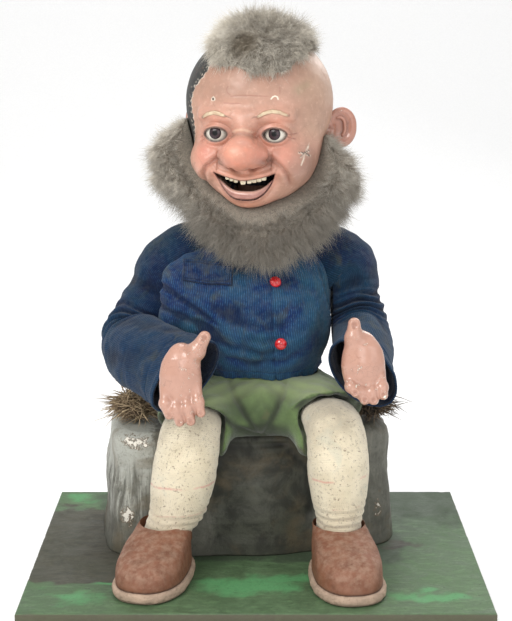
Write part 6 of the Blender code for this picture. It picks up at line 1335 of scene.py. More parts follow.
def jacket_pieces(settings):
    """The jacket, its pocket flap and its two red buttons."""
    outer, inner, height = jacket_grids()
    blue, faded, dusty = tuple(settings.blue), tuple(settings.faded), tuple(settings.dusty)
    cord = cord_finish("Jacket needlecord", toned(blue, 1.25), toned(faded, (1.7, 1.5, 1.2)),
                       toned(dusty, (1.7, 1.5, 1.3)), 0.02)
    u, v = lengths(outer)
    mesh = shell_mesh("Jacket", outer, inner, uv=(u, v))
    # painted shade in the fold hollows and on the whole inner wall; painted highlight on the fold crests
    low = np.clip(-height / 0.0022, 0.0, 1.0)
    high = np.clip(height / 0.0026, 0.0, 1.0)
    tint = np.zeros((len(mesh.vertices), 3))
    tint[:low.size, 0], tint[:low.size, 1] = low.ravel(), high.ravel()
    tint[low.size:, 0] = 1.0
    paint_points(mesh, tint)
    piece = object_of("Jacket", mesh, "base", cord)
    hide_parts("jacket_body")
    cloth_area(mesh)
    table = front_table(outer)
    part, level = np.meshgrid(np.linspace(-1.0, 1.0, 96), np.linspace(0.0, 1.0, 60))
    drop = FLAP_DROP * (1.0 - 0.06 * np.abs(part) ** 1.1 + 0.05 * part)
    x = FIGURE_X - FLAP_LEFT + part * FLAP_HALF + 0.0008 * level
    z = SEAT_Z + FLAP_TOP - drop * (1.0 - level) - 0.0012 * part
    foot, normal = front_at(table, x, z)
    edge = np.minimum((1.0 - np.abs(part)) * FLAP_HALF, (1.0 - level) * 0.018 + 0.0004)
    low_edge = level * drop
    rim = np.minimum(edge, low_edge)
    swell = 0.0012 * np.sqrt(np.clip(rim / 0.0016, 0.0, 1.0)) - 0.0005 * bell(rim, 0.0026, 0.0005)
    curl = 0.0012 * ease(0.010 - low_edge, 0.0, 0.010) + 0.0006 * waves(foot, 63, 0.020)
    top = foot + normal * (0.0016 + swell + curl)[..., None]
    under = foot + normal * (0.0005 + curl * 0.6)[..., None]
    mesh = patch_mesh("Pocket_flap", top, under, uv=(np.asarray(x - x.min()), np.asarray(z - z.min())))
    shade = np.zeros((len(mesh.vertices), 3))
    shade[:rim.size, 0] = (bell(rim, 0.0026, 0.0006) * 0.8 + bell(rim, 0.0, 0.0006) * 0.5).ravel()
    shade[rim.size:, 0] = 1.0
    paint_points(mesh, shade)
    piece = object_of("Pocket_flap", mesh, "base", cord_finish("Flap needlecord", toned(blue, 0.85), faded,
                                                             dusty, 0.05))
    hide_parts("pocket_flap")

    def red(tree, shader, place):
        film = noise(tree, place, 420.0, 5.0, 0.7)
        chip = use(tree, chips(), Vector=place, Scale=330.0, Amount=0.30)
        colour = blend_of(tree, span(tree, film, 0.35, 0.7), tuple(settings.red), toned(settings.red, 0.45))
        colour = blend_of(tree, chip["Chip"], colour, (0.55, 0.30, 0.25))
        feed(tree, shader, colour, span(tree, film, 0.3, 0.75, 0.10, 0.30), film, 0.00012, 0.3)
    glossy = finish("Button red", red, Coat_Weight=0.6, Coat_Roughness=0.08)
    for node, x, rise in (("button_upper", 0.018, 0.170), ("button_lower", 0.0245, 0.105)):
        point, normal = front_at(table, np.array([FIGURE_X + x]), np.array([SEAT_Z + rise]))
        normal = normal[0]
        across, up = across_of(normal, np.array((1.0, 0.0, 0.0)))
        turn = np.linspace(0.0, TAU, 56, endpoint=False)
        profile = curve(np.array([(0.0056, -0.0012), (0.0064, 0.0002), (0.0066, 0.0012), (0.0062, 0.0026),
                                  (0.0050, 0.0041),
                                  (0.0032, 0.0051), (0.0012, 0.0056), (0.0004, 0.00565)]), 34)
        rings = (point[0] + normal * 0.0006 + profile[:, None, 1:2] * normal
                 + profile[:, None, 0:1] * (np.cos(turn)[None, :, None] * across + np.sin(turn)[None, :, None] * up))
        name = node.replace("button", "Button")
        piece = object_of(name, skin_mesh(name, rings), "base", glossy)
        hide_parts(node)


SLEEVE_ROWS = {
    "left": [(-0.0520, 0.0700, 0.3390, 0.0300, 0.0400), (-0.0660, 0.0710, 0.3380, 0.0370, 0.0440),
             (-0.0792, 0.0720, 0.3330, 0.0400, 0.0450), (-0.0985, 0.0720, 0.3195, 0.0375, 0.0415),
             (-0.1145, 0.0680, 0.2920, 0.0345, 0.0370), (-0.1300, 0.0590, 0.2640, 0.0345, 0.0385),
             (-0.1365, 0.0385, 0.2440, 0.0385, 0.0410), (-0.1280, 0.0080, 0.2410, 0.0420, 0.0400),
             (-0.1090, -0.0300, 0.2400, 0.0420, 0.0350), (-0.0860, -0.0620, 0.2385, 0.0410, 0.0330),
             (-0.0750, -0.0800, 0.2370, 0.0400, 0.0340)],
    "right": [(0.0580, 0.0700, 0.3380, 0.0300, 0.0400), (0.0720, 0.0710, 0.3370, 0.0380, 0.0430),
              (0.0852, 0.0720, 0.3310, 0.0420, 0.0450), (0.0990, 0.0720, 0.3210, 0.0395, 0.0430),
              (0.1085, 0.0660, 0.2920, 0.0350, 0.0350), (0.1170, 0.0520, 0.2660, 0.0345, 0.0345),
              (0.1195, 0.0300, 0.2510, 0.0350, 0.0340), (0.1195, 0.0000, 0.2460, 0.0370, 0.0330),
              (0.1180, -0.0250, 0.2430, 0.0385, 0.0320), (0.1165, -0.0450, 0.2380, 0.0405, 0.0320),
              (0.1160, -0.0600, 0.2350, 0.0410, 0.0330)]}


def sleeve_grid(side, rows=290, columns=168):
    """Outer rings of a sleeve: rings about its bent path, crushed rolls in the crook of the elbow, long slack
    folds on the forearm, a cuff that flares and gathers into soft pleats, tilted as the solid's is."""
    sign = -1.0 if side == "left" else 1.0
    path = curve(np.array(SLEEVE_ROWS[side]), rows)
    step = np.concatenate([[0.0], np.cumsum(np.linalg.norm(np.diff(path[:, :3], axis=0), axis=1))])
    even = np.linspace(0.0, step[-1], rows)
    path = np.stack([np.interp(even, step, path[:, k]) for k in range(5)], axis=1)
    rings = tube(path, columns, (0, 1, 0), (sign, 0.0, 0.0))
    share = (even / step[-1])[:, None]
    centre = path[:, None, :3]
    outward = rings - centre
    outward /= np.linalg.norm(outward, axis=2, keepdims=True)
    tilt = {"left": 0.42, "right": -0.34}[side] * np.clip((share - 0.74) / 0.26, 0.0, 1.0) ** 1.3
    rings[..., 0] += (rings[..., 2] - path[:, None, 2]) * tilt
    ahead = np.clip(-outward[..., 1] * 0.7 + outward[..., 2] * 0.45 + 0.25, 0.0, 1.0)
    bend = 0.47 if side == "left" else 0.43
    around = np.linspace(0.0, TAU, columns, endpoint=False)[None, :]
    line = share + 0.018 * np.sin(around * 2.0 + 0.7) + 0.009 * np.sin(around * 5.0)
    rolls = np.sin(TAU * line / 0.052 + 0.6) * bell(share, bend, 0.085) * ahead
    sharp = np.sign(rolls) * np.abs(rolls) ** 0.8
    long_fold = np.sin(around * 5.0 + share * 9.0 + sign) * bell(share, 0.68, 0.13)
    upper = np.sin(TAU * (share * 7.0 + 0.16 * np.sin(around + 0.6))) * bell(share, 0.30, 0.09) * ease(
        outward[..., 2] * 0.2 - outward[..., 1] + 0.5, 0.0, 1.0)
    pleat = ease(share, 0.80, 0.985)
    pleats = np.sin(around * 13.0 + 1.5 * np.sin(around * 2.0) + 3.0 * share)
    height = (0.0031 * sharp + 0.0020 * long_fold + 0.0024 * upper + 0.0007 * pleat * pleats
              + 0.0013 * waves(rings, 71 if side == "left" else 72, 0.040))
    band = bell(share, 0.905, 0.006)
    height = height * ease(share, 0.10, 0.18) * (1.0 - 0.75 * ease(share, 0.86, 1.0)) - 0.0008 * band
    height += 0.0010 * bell(share, 0.985, 0.010)
    rings = rings + outward * height[..., None]
    bound = {"left": -0.0792, "right": 0.0852}[side]
    relief = np.clip((0.010 - rings[..., 1]) * 1.3, 0.0, 0.05)
    limit = bound + sign * (0.0024 - relief)
    free = ease(share, 0.16, 0.22)
    over = np.clip(sign * (limit - rings[..., 0]), 0.0, None) * free
    rings[..., 0] += sign * over
    return rings, height, share


def sleeve_pieces(settings):
    """Both sleeves, each a closed wall of cord that runs from the body to its arm."""
    blue, faded, dusty = tuple(settings.blue), tuple(settings.faded), tuple(settings.dusty)
    cord = cord_finish("Sleeve needlecord", toned(blue, 0.60), toned(faded, (0.36, 0.60, 0.62)),
                       toned(dusty, (0.34, 0.48, 0.50)), -0.05)
    for side, body in (("left", "arm_left"), ("right", "arm_right")):
        outer, height, share = sleeve_grid(side)
        way = outer - outer.mean(axis=1, keepdims=True)
        inner = outer - way / np.linalg.norm(way, axis=2, keepdims=True) * 0.0024
        u, v = lengths(outer)
        name = "Sleeve_" + side
        mesh = shell_mesh(name, outer, inner, uv=(u, v))
        # painted shade in the fold hollows and on the inner wall; painted highlight on the fold crests, and lighter on
        # the forearm half
        low = np.clip(-height / 0.0030, 0.0, 1.0)
        high = np.clip(height / 0.0034, 0.0, 1.0) * 0.7 + 0.9 * ease(share, 0.50, 0.62)
        tint = np.zeros((len(mesh.vertices), 3))
        tint[:low.size, 0], tint[:low.size, 1] = low.ravel(), np.clip(high, 0.0, 1.0).ravel()
        tint[low.size:, 0] = 1.0
        paint_points(mesh, tint)
        piece = object_of(name, mesh, None, cord)
        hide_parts("sleeve_" + side)
        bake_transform(piece)
        cloth_area(mesh)


# Hands

HANDS = {
    "left": {
        "wrist": [(-0.0815, -0.0740, 0.2440, 0.0122), (-0.0800, -0.0980, 0.2475, 0.0120),
                  (-0.0790, -0.1120, 0.2500, 0.0126)],
        "palm": [(-0.0780, -0.1130, 0.2700, 0.0118, 0.76), (-0.0785, -0.1165, 0.2600, 0.0180, 0.66),
                 (-0.0790, -0.1185, 0.2470, 0.0202, 0.62), (-0.0790, -0.1195, 0.2345, 0.0190, 0.52)],
        "fingers": [[(-0.0945, -0.1190, 0.2380, 0.0061), (-0.0945, -0.1270, 0.2200, 0.0059),
                     (-0.0905, -0.1310, 0.2090, 0.0050)],
                    [(-0.0840, -0.1195, 0.2360, 0.0064), (-0.0828, -0.1290, 0.2150, 0.0062),
                     (-0.0795, -0.1325, 0.2020, 0.0052)],
                    [(-0.0735, -0.1195, 0.2370, 0.0064), (-0.0715, -0.1295, 0.2160, 0.0062),
                     (-0.0680, -0.1330, 0.2030, 0.0052)],
                    [(-0.0635, -0.1190, 0.2410, 0.0062), (-0.0605, -0.1280, 0.2220, 0.0059),
                     (-0.0575, -0.1305, 0.2110, 0.0050)]],
        "thumb": [(-0.0730, -0.1150, 0.2600, 0.0098), (-0.0620, -0.1212, 0.2750, 0.0088),
                  (-0.0532, -0.1215, 0.2900, 0.0064)]},
    "right": {
        "wrist": [(0.1160, -0.0620, 0.2500, 0.0122), (0.1150, -0.0850, 0.2520, 0.0120),
                  (0.1145, -0.0970, 0.2545, 0.0126)],
        "palm": [(0.1120, -0.0940, 0.2780, 0.0118, 0.76), (0.1125, -0.0980, 0.2680, 0.0190, 0.66),
                 (0.1130, -0.1000, 0.2550, 0.0213, 0.62), (0.1140, -0.1010, 0.2425, 0.0198, 0.52)],
        "fingers": [[(0.0985, -0.1005, 0.2460, 0.0061), (0.1000, -0.1105, 0.2340, 0.0059),
                     (0.1045, -0.1165, 0.2290, 0.0050)],
                    [(0.1090, -0.1010, 0.2430, 0.0064), (0.1105, -0.1115, 0.2280, 0.0062),
                     (0.1140, -0.1175, 0.2215, 0.0052)],
                    [(0.1195, -0.1010, 0.2430, 0.0064), (0.1215, -0.1115, 0.2280, 0.0062),
                     (0.1235, -0.1170, 0.2210, 0.0052)],
                    [(0.1300, -0.1000, 0.2470, 0.0062), (0.1325, -0.1095, 0.2330, 0.0059),
                     (0.1335, -0.1155, 0.2260, 0.0050)]],
        "thumb": [(0.1065, -0.0960, 0.2680, 0.0098), (0.1030, -0.1002, 0.2840, 0.0090),
                  (0.1030, -0.1000, 0.2992, 0.0066)]}}


def hand_distance(points, bones):
    """A hand: flattened bars for the palm melted with tapered bars for wrist, fingers and thumb, knuckles
    swelling at each joint, and a shallow hollow left round each finger nail."""
    palm = None
    for one, two in zip(bones["palm"][:-1], bones["palm"][1:]):
        middle = np.array((one[:3] + two[:3])).reshape(2, 3).mean(axis=0)
        flat = (one[4] + two[4]) / 2.0
        scale = np.array((1.0, 1.0 / flat, 1.0))
        d = bar_distance((points - middle) * scale, (np.array(one[:3]) - middle) * scale,
                         (np.array(two[:3]) - middle) * scale, one[3], two[3]) * min(1.0, flat * 1.3)
        palm = d if palm is None else melt(palm, d, 0.006)
    wrist = None
    for one, two in zip(bones["wrist"][:-1], bones["wrist"][1:]):
        d = bar_distance(points, one[:3], two[:3], one[3], two[3])
        wrist = d if wrist is None else melt(wrist, d, 0.004)
    total = melt(palm, wrist, 0.009)
    for digit, width in [*((finger, 0.0035) for finger in bones["fingers"]), (bones["thumb"], 0.0065)]:
        limb = None
        for one, two in zip(digit[:-1], digit[1:]):
            d = bar_distance(points, one[:3], two[:3], one[3], two[3])
            limb = d if limb is None else melt(limb, d, 0.0020)
        knuckle = ball_distance(points, digit[1][:3], (digit[1][3] * 1.10,) * 3)
        limb = melt(limb, knuckle, 0.0030)
        tip, before = np.array(digit[-1][:3]), np.array(digit[-2][:3])
        way = (tip - before) / np.linalg.norm(tip - before)
        out = np.array((0.0, -1.0, 0.25)) - way * way.dot((0.0, -1.0, 0.25))
        out /= np.linalg.norm(out)
        size = digit[-1][3]
        nail = ball_distance(points, tip + out * size * 1.02 + way * size * 0.15,
                             (size * 0.62, size * 0.34, size * 0.80))
        limb = carve(limb, nail, 0.0009)
        total = melt(total, limb, width)
    return total


def composition_finish(name, pink, dark, chip=0.45, coat=0.55):
    """Painted composition: pink enamel with painted shade in the hollows, crazed, chipped to pale plaster, glossy."""
    def fill(tree, shader, place):
        film = noise(tree, place, 55.0, 6.0, 0.65)
        cavity = put(tree, "ShaderNodeSeparateColor", {0: layer(tree, "paint")}).outputs
        craze = put(tree, "ShaderNodeTexVoronoi", {"Vector": place, "Scale": 150.0, "Randomness": 1.0},
                    feature="DISTANCE_TO_EDGE").outputs["Distance"]
        gate = use(tree, mottle(), Vector=place, Scale=40.0, Low=0.50, High=0.58)["Mask"]
        crack = sum_of(tree, "MULTIPLY", span(tree, craze, 0.0, 0.035, 1.0, 0.0), gate)
        colour = blend_of(tree, span(tree, film, 0.36, 0.68), pink,
                          tuple(0.82 * a + 0.18 * b for a, b in zip(pink, dark)))
        # painted shade in the hollows, from the points' paint
        colour = blend_of(tree, sum_of(tree, "MULTIPLY", cavity[0], 0.85), colour, dark)
        colour = blend_of(tree, sum_of(tree, "MULTIPLY", cavity[1], 0.35), colour,
                          tuple(min(1.0, 1.2 * c) for c in pink))
        grime = use(tree, mottle(), Vector=place, Scale=88.0, Low=0.58, High=0.72)["Mask"]
        colour = blend_of(tree, sum_of(tree, "MULTIPLY", grime, 0.45), colour, dark)
        worn = sum_of(tree, "ADD", noise(tree, place, 135.0, 6.0, 0.8, 0.8), sum_of(tree, "MULTIPLY", cavity[1], 0.05))
        flaked, rim = (span(tree, worn, edge - 0.10 * chip, edge + 0.012 - 0.10 * chip) for edge in (0.670, 0.650))
        colour = blend_of(tree, sum_of(tree, "MULTIPLY", rim, 0.8), colour, toned(dark, 0.6))
        colour = blend_of(tree, flaked, colour, (0.76, 0.69, 0.58))
        colour = blend_of(tree, sum_of(tree, "MULTIPLY", crack, 0.30), colour, (0.12, 0.055, 0.04))
        height = sum_of(tree, "SUBTRACT", sum_of(tree, "MULTIPLY", noise(tree, place, 300.0, 4.0), 0.35),
                        sum_of(tree, "ADD", flaked, sum_of(tree, "MULTIPLY", crack, 0.4)))
        feed(tree, shader, colour, span(tree, film, 0.3, 0.7, 0.24, 0.44), height, 0.0005, 0.5)
    return finish(name, fill, Coat_Weight=coat, Coat_Roughness=0.16)


def hand_pieces(settings):
    """Both hands as surface nets, shaded darker between the fingers by how hollow the net is there."""
    paint = composition_finish("Hand paint", tuple(settings.hand), (0.25, 0.105, 0.065))
    for side, body in (("left", "arm_left"), ("right", "arm_right")):
        bones = HANDS[side]
        every = np.array([row[:3] for limb in (bones["wrist"], bones["palm"], bones["thumb"],
                                               *bones["fingers"]) for row in limb])
        low, high = every.min(axis=0) - 0.018, every.max(axis=0) + 0.018
        low, high = low + (-0.008, 0.0, 0.0), high + (0.008, 0.0, 0.0)
        points, faces = net(lambda p: hand_distance(p, bones), low, high, 0.00105)
        name = "Hand_" + side
        mesh = mesh_of(name, points, faces)
        normal = np.empty(len(points) * 3, dtype=np.float32)
        mesh.vertices.foreach_get("normal", normal)
        normal = normal.reshape(-1, 3)
        # painted shade between the fingers: how hollow the net is there
        open_air = hand_distance(points + normal * 0.0035, bones) / 0.0035
        cavity = np.clip(1.0 - open_air, 0.0, 1.0) * 1.3
        proud = np.clip(-hand_distance(points - normal * 0.004, bones) / 0.004, 0.0, 1.0)
        paint_points(mesh, np.stack([np.clip(cavity, 0, 1), 1.0 - proud, np.zeros(len(points))], axis=1))
        piece = object_of(name, mesh, body, paint)
        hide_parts("hand_" + side)


# Head

EYE_X, EYE_Y, EYE_Z, EYE_RADIUS = 0.0325, -0.063, -0.016, 0.016
MASK_SEAM = 94.0
NECK_HOLE_RADIUS, NECK_HOLE_TOP = 0.0230, -0.050
JOWL_HEIGHT = 0.0075
TEETH_COUNT, TEETH_HALF = 9, 0.0228
MOUTH_HALF, MOUTH_TOP, MOUTH_BOTTOM, MOUTH_CORNER = 0.0335, -0.0645, -0.0875, -0.0572


def head_distance(points):
    """The head in its own frame: ellipsoids for skull, jowls, chin, cheeks, nose and lids and bars for brows
    and lips, melted together."""
    d = ball_distance(points, (0.0, 0.002, 0.014), (0.0835, 0.0850, 0.0810))
    d = melt(d, ball_distance(points, (0.0, -0.018, -0.042), (0.0660, 0.0640, 0.0500)), 0.022)
    d = melt(d, ball_distance(points, (0.0, 0.018, -0.046), (0.0520, 0.0520, 0.0440)), 0.020)
    d = melt(d, ball_distance(points, (0.0, -0.046, -0.066), (0.0450, 0.0345, 0.0270)), 0.012)
    d = melt(d, ball_distance(points, (0.0, -0.061, -0.080), (0.0240, 0.0210, 0.0165)), 0.012)
    for side in (-1.0, 1.0):
        d = melt(d, ball_distance(points, (side * 0.043, -0.060, -0.045), (0.0210, 0.0215, 0.0200)), 0.016)
        d = melt(d, bar_distance(points, (side * 0.012, -0.083, 0.004), (side * 0.048, -0.069, 0.004), 0.0062), 0.010)
        d = melt(d, ball_distance(points, (side * EYE_X, EYE_Y, EYE_Z), (0.0183, 0.0183, 0.0178)), 0.005)
        d = melt(d, ball_distance(points, (side * 0.0205, -0.092, -0.040), (0.0085, 0.0095, 0.0085)), 0.006)
        d = melt(d, bar_distance(points, (0.0, -0.0865, -0.0610), (side * 0.034, -0.0760, -0.0530), 0.0046), 0.008)
    d = melt(d, bar_distance(points, (0.0, -0.080, -0.002), (0.0, -0.094, -0.024), 0.0105), 0.010)
    return melt(d, ball_distance(points, (0.0, -0.0990, -0.0350), (0.0235, 0.0215, 0.0185)), 0.007)


def head_radius(ways):
    """Outermost radius along unit vectors from the head's centre at which the head's distance is 0: even steps
    find the last one inside, then false position sharpens it."""
    flat = ways.reshape(-1, 3)
    steps = np.linspace(0.040, 0.132, 40)
    low = np.full(len(flat), steps[0])
    for step in steps:
        low = np.where(head_distance(flat * step) < 0.0, step, low)
    high = low + steps[1] - steps[0]
    one, two = head_distance(flat * low[:, None]), head_distance(flat * high[:, None])
    for _ in range(3):
        middle = low + (high - low) * np.clip(-one / (two - one + 1e-12), 0.02, 0.98)
        value = head_distance(flat * middle[:, None])
        inside = value < 0.0
        low, one = np.where(inside, middle, low), np.where(inside, value, one)
        high, two = np.where(inside, high, middle), np.where(inside, two, value)
    share = np.clip(-one / (two - one + 1e-12), 0.0, 1.0)
    swing = np.degrees(np.arctan2(flat[:, 0], -flat[:, 2]))
    angle = np.degrees(np.arccos(np.clip(-flat[:, 1], -1.0, 1.0)))
    jowl = JOWL_HEIGHT * bell(swing, 46.0, 30.0) * bell(angle, 66.0, 17.0)
    return (low + (high - low) * share + jowl).reshape(ways.shape[:-1])


def polar_ways(angles, turn):
    """Unit vectors at angles from the -Y axis, turned about it."""
    a, t = np.radians(angles)[:, None], turn[None, :]
    return np.stack([np.sin(a) * np.cos(t), -np.cos(a) * np.ones_like(t), np.sin(a) * np.sin(t)], axis=-1)


def mouth_top(x):
    """Height of the mouth's upper edge: a parabola."""
    return MOUTH_TOP + (MOUTH_CORNER - MOUTH_TOP) * (x / MOUTH_HALF) ** 2


def mouth_low(x):
    """Height of the mouth's lower edge: a deeper curve of power 3, full to the corners."""
    return MOUTH_BOTTOM + (MOUTH_CORNER - MOUTH_BOTTOM) * np.abs(x / MOUTH_HALF) ** 3.0


def mouth_outline():
    """The mouth opening, as (x, z) points in order."""
    x = MOUTH_HALF * np.sin(np.linspace(-math.pi / 2, math.pi / 2, 60))
    top = np.stack([x, mouth_top(x)], axis=1)
    return np.vstack([top, np.stack([x[::-1], mouth_low(x[::-1])], axis=1)[1:-1]])


def eye_outline(side):
    """The almond opening of an eye: an ellipse with half axes of 12.5 mm and, above and below, 6.4 and 7.4 mm,
    its height less by a quarter of |cos|^3."""
    turn = np.linspace(0.0, TAU, 90, endpoint=False)
    height = np.where(np.sin(turn) > 0.0, 0.0064, 0.0074) * np.sin(turn) * (1.0 - 0.25 * np.abs(np.cos(turn)) ** 3)
    return np.stack([side * EYE_X + 0.0125 * np.cos(turn), EYE_Z + height], axis=1)


def outline_distance(x, z, outline, reach=0.012):
    """Signed distance from points to a closed outline, less than 0 inside, and the unit way out from it."""
    flat = np.stack([x.ravel(), z.ravel()], axis=1)
    low, high = outline.min(axis=0) - reach, outline.max(axis=0) + reach
    near = np.where(((flat > low) & (flat < high)).all(axis=1))[0]
    p = flat[near][:, None]
    a, b = outline[None], np.roll(outline, -1, axis=0)[None]
    way = b - a
    share = np.clip(((p - a) * way).sum(axis=2) / (way ** 2).sum(axis=2), 0.0, 1.0)
    gap = p - a - share[..., None] * way
    size = np.linalg.norm(gap, axis=2)
    best = size.argmin(axis=1)
    rows = np.arange(len(near))
    crosses = ((a[..., 1] > p[..., 1]) != (b[..., 1] > p[..., 1])) & (
        p[..., 0] < way[..., 0] * (p[..., 1] - a[..., 1]) / np.where(way[..., 1] == 0.0, 1e-12, way[..., 1])
        + a[..., 0])
    inside = crosses.sum(axis=1) % 2 == 1
    sign = np.where(inside, -1.0, 1.0)
    value = np.full(len(flat), reach)
    out = np.zeros((len(flat), 2))
    value[near] = size[rows, best] * sign
    out[near] = gap[rows, best] * sign[:, None] / (size[rows, best][:, None] + 1e-12)
    return value.reshape(x.shape), out.reshape(x.shape + (2,))


def line_distance(x, z, line):
    """Distance from points to an open line of (x, z) points, and how far along it the nearest point lies, 0 to 1."""
    line = np.asarray(line, dtype=float)
    best = np.full(x.shape, 1e9)
    along = np.zeros(x.shape)
    count = len(line) - 1
    for index in range(count):
        a, b = line[index], line[index + 1]
        way = b - a
        share = np.clip(((x - a[0]) * way[0] + (z - a[1]) * way[1]) / way.dot(way), 0.0, 1.0)
        size = np.hypot(x - a[0] - share * way[0], z - a[1] - share * way[1])
        closer = size < best
        best = np.where(closer, size, best)
        along = np.where(closer, (index + share) / count, along)
    return best, along


MILLI = 0.001
# Lines on the face in its own frame, in millimetres: x to its own left, z up
SMILE_FOLDS = [(24.0, -38.5), (33.0, -44.0), (42.0, -51.0), (46.5, -59.0), (47.0, -68.0), (44.0, -75.0)]
BROWS = {-1.0: [(-46.5, 2.0), (-41.0, 5.4), (-33.5, 7.4), (-26.0, 6.2), (-20.5, 4.6)],
         1.0: [(16.5, 4.2), (22.0, 7.4), (30.0, 9.6), (38.0, 8.4), (46.0, 5.2)]}
BROW_TAILS = [[(-20.5, 4.6), (-15.0, 3.0), (-10.0, 1.0)], [(16.5, 4.2), (12.0, 3.8), (8.5, 1.6)],
              [(-47.5, 1.0), (-46.8, 2.6), (-44.5, 4.4)], [(46.0, 5.2), (48.0, 4.6), (47.6, 6.8)]]
FOREHEAD_LINES = [[(-17.0, 24.5), (-4.0, 25.6), (12.0, 25.8), (29.0, 25.0)],
                  [(-24.0, 17.6), (-12.0, 17.0), (-2.0, 17.6)],
                  [(-18.0, 36.5), (-20.0, 32.5), (-19.0, 28.6), (-14.0, 25.4)],
                  [(36.5, 35.0), (37.0, 31.0), (37.0, 26.5)]]
CROWS_FEET = [[(45.5, -15.0), (51.0, -15.8), (57.0, -14.2)], [(46.5, -18.0), (50.5, -20.5), (54.5, -21.5)],
              [(-45.5, -18.5), (-50.0, -19.8), (-54.0, -22.0)], [(-44.5, -21.0), (-49.0, -24.0), (-52.5, -25.5)]]
STAR_CRACK = [[(66.0, -26.0), (64.8, -30.5), (64.0, -34.5), (63.6, -38.0), (62.6, -43.0), (61.0, -48.0)],
              [(58.0, -35.0), (62.0, -36.0), (66.0, -35.0)], [(60.0, -40.0), (63.5, -36.0), (67.0, -40.0)]]
HOLE = (-35.8, 21.2)
CHIP_ARC = [(28.5, 22.4), (30.0, 24.6), (32.4, 25.4), (34.6, 24.4), (35.4, 22.0)]


def face_sculpt(x, z, front):
    """Height carved and raised on the face in metres: folds from nose to mouth corners, the crescent over the
    nose, lid creases, forehead furrows, crow's feet, nostril hollows, the lip's edge and the dimple of the chin."""
    height = np.zeros_like(x)
    ax = np.abs(x)
    near, along = line_distance(ax, z, np.array(SMILE_FOLDS) * MILLI)
    fade = ease(along, 0.0, 0.12) * ease(along, 1.0, 0.72)
    height -= 0.0026 * bell(near, 0.0, 0.0028) * fade
    height += 0.0016 * bell(near, 0.0055, 0.0050) * fade * (ax > 0.030)
    arch = -0.0095 - 26.0 * (ax - 0.001) ** 2
    height += 0.0019 * bell(z, arch, 0.0020) * ease(ax, 0.0165, 0.0100)
    height -= 0.0013 * bell(z, arch - 0.0042, 0.0016) * ease(ax, 0.0160, 0.0090)
    lid, _ = outline_distance(x, z, eye_outline(-1.0))
    other, _ = outline_distance(x, z, eye_outline(1.0))
    lid = np.minimum(lid, other)
    above = ease(z - EYE_Z, -0.004, 0.003)
    height -= 0.0011 * bell(lid, 0.0058, 0.0011) * above
    height += 0.0007 * bell(lid, 0.0022, 0.0016)
    height -= 0.0010 * bell(lid, 0.0062, 0.0016) * (1.0 - above)
    for line in FOREHEAD_LINES[:2]:
        near, along = line_distance(x, z, np.array(line) * MILLI)
        height -= 0.00042 * bell(near, 0.0, 0.0009) * ease(along, 0.0, 0.3) * ease(along, 1.0, 0.7)
    for line in CROWS_FEET:
        near, along = line_distance(x, z, np.array(line) * MILLI)
        height -= 0.00075 * bell(near, 0.0, 0.0007) * ease(along, 1.0, 0.6)
    for side in (-1.0, 1.0):
        height -= 0.0022 * bell(np.hypot(x - side * 0.0095, (z + 0.0520) * 1.3), 0.0, 0.0034)
        height -= 0.0012 * bell(np.hypot((x - side * 0.0265) * 1.2, z + 0.0405), 0.0, 0.0040)
        near, _ = line_distance(x, z, np.array(BROWS[side]) * MILLI)
        height += 0.0011 * ease(near, 0.0030, 0.0012)
    mouth, _ = outline_distance(x, z, mouth_outline())
    height += 0.0013 * bell(mouth, 0.0030, 0.0022) * ease(z - mouth_low(x), 0.002, 0.010)
    height -= 0.0010 * bell(mouth, 0.0075, 0.0022) * ease(z - mouth_low(x), 0.004, 0.012)
    height -= 0.0016 * bell(mouth, 0.0046, 0.0024) * ease(mouth_low(x) - z, -0.001, 0.002)
    height -= 0.0010 * bell(ax, 0.0, 0.0034) * bell(z, -0.0575, 0.0040)
    return height * front - 0.0016 * shell_zone(x, z, 0.0005)


# Where the painted mask ends on the head's right: (z, x) of its edge from the jaw to the crown, in millimetres
SHELL_EDGE = np.array(((-90.0, -62.0), (-40.0, -64.0), (-9.0, -62.5), (1.8, -64.0), (14.7, -66.1), (23.5, -64.7),
                       (32.4, -60.7), (41.4, -52.9), (49.1, -46.6), (58.0, -42.0), (70.0, -30.0), (90.0, -10.0)))


def shell_gap(x, z):
    """Distance in x beyond the mask's ragged edge."""
    wander = 0.0006 * np.sin(z * 900.0) + 0.0004 * np.sin(z * 2300.0 + 1.0)
    return np.interp(z, SHELL_EDGE[:, 0] * MILLI, SHELL_EDGE[:, 1] * MILLI) + wander - x


def shell_zone(x, z, soft=0.0003):
    """1 where the dark shell shows beyond the mask's edge, 0 on the mask."""
    return ease(shell_gap(x, z), -soft, soft)


def off_neck(points):
    """Whether each point of a shell is clear of the opening for the neck."""
    return ~((np.hypot(points[..., 0], points[..., 1]) < NECK_HOLE_RADIUS) & (points[..., 2] < NECK_HOLE_TOP))


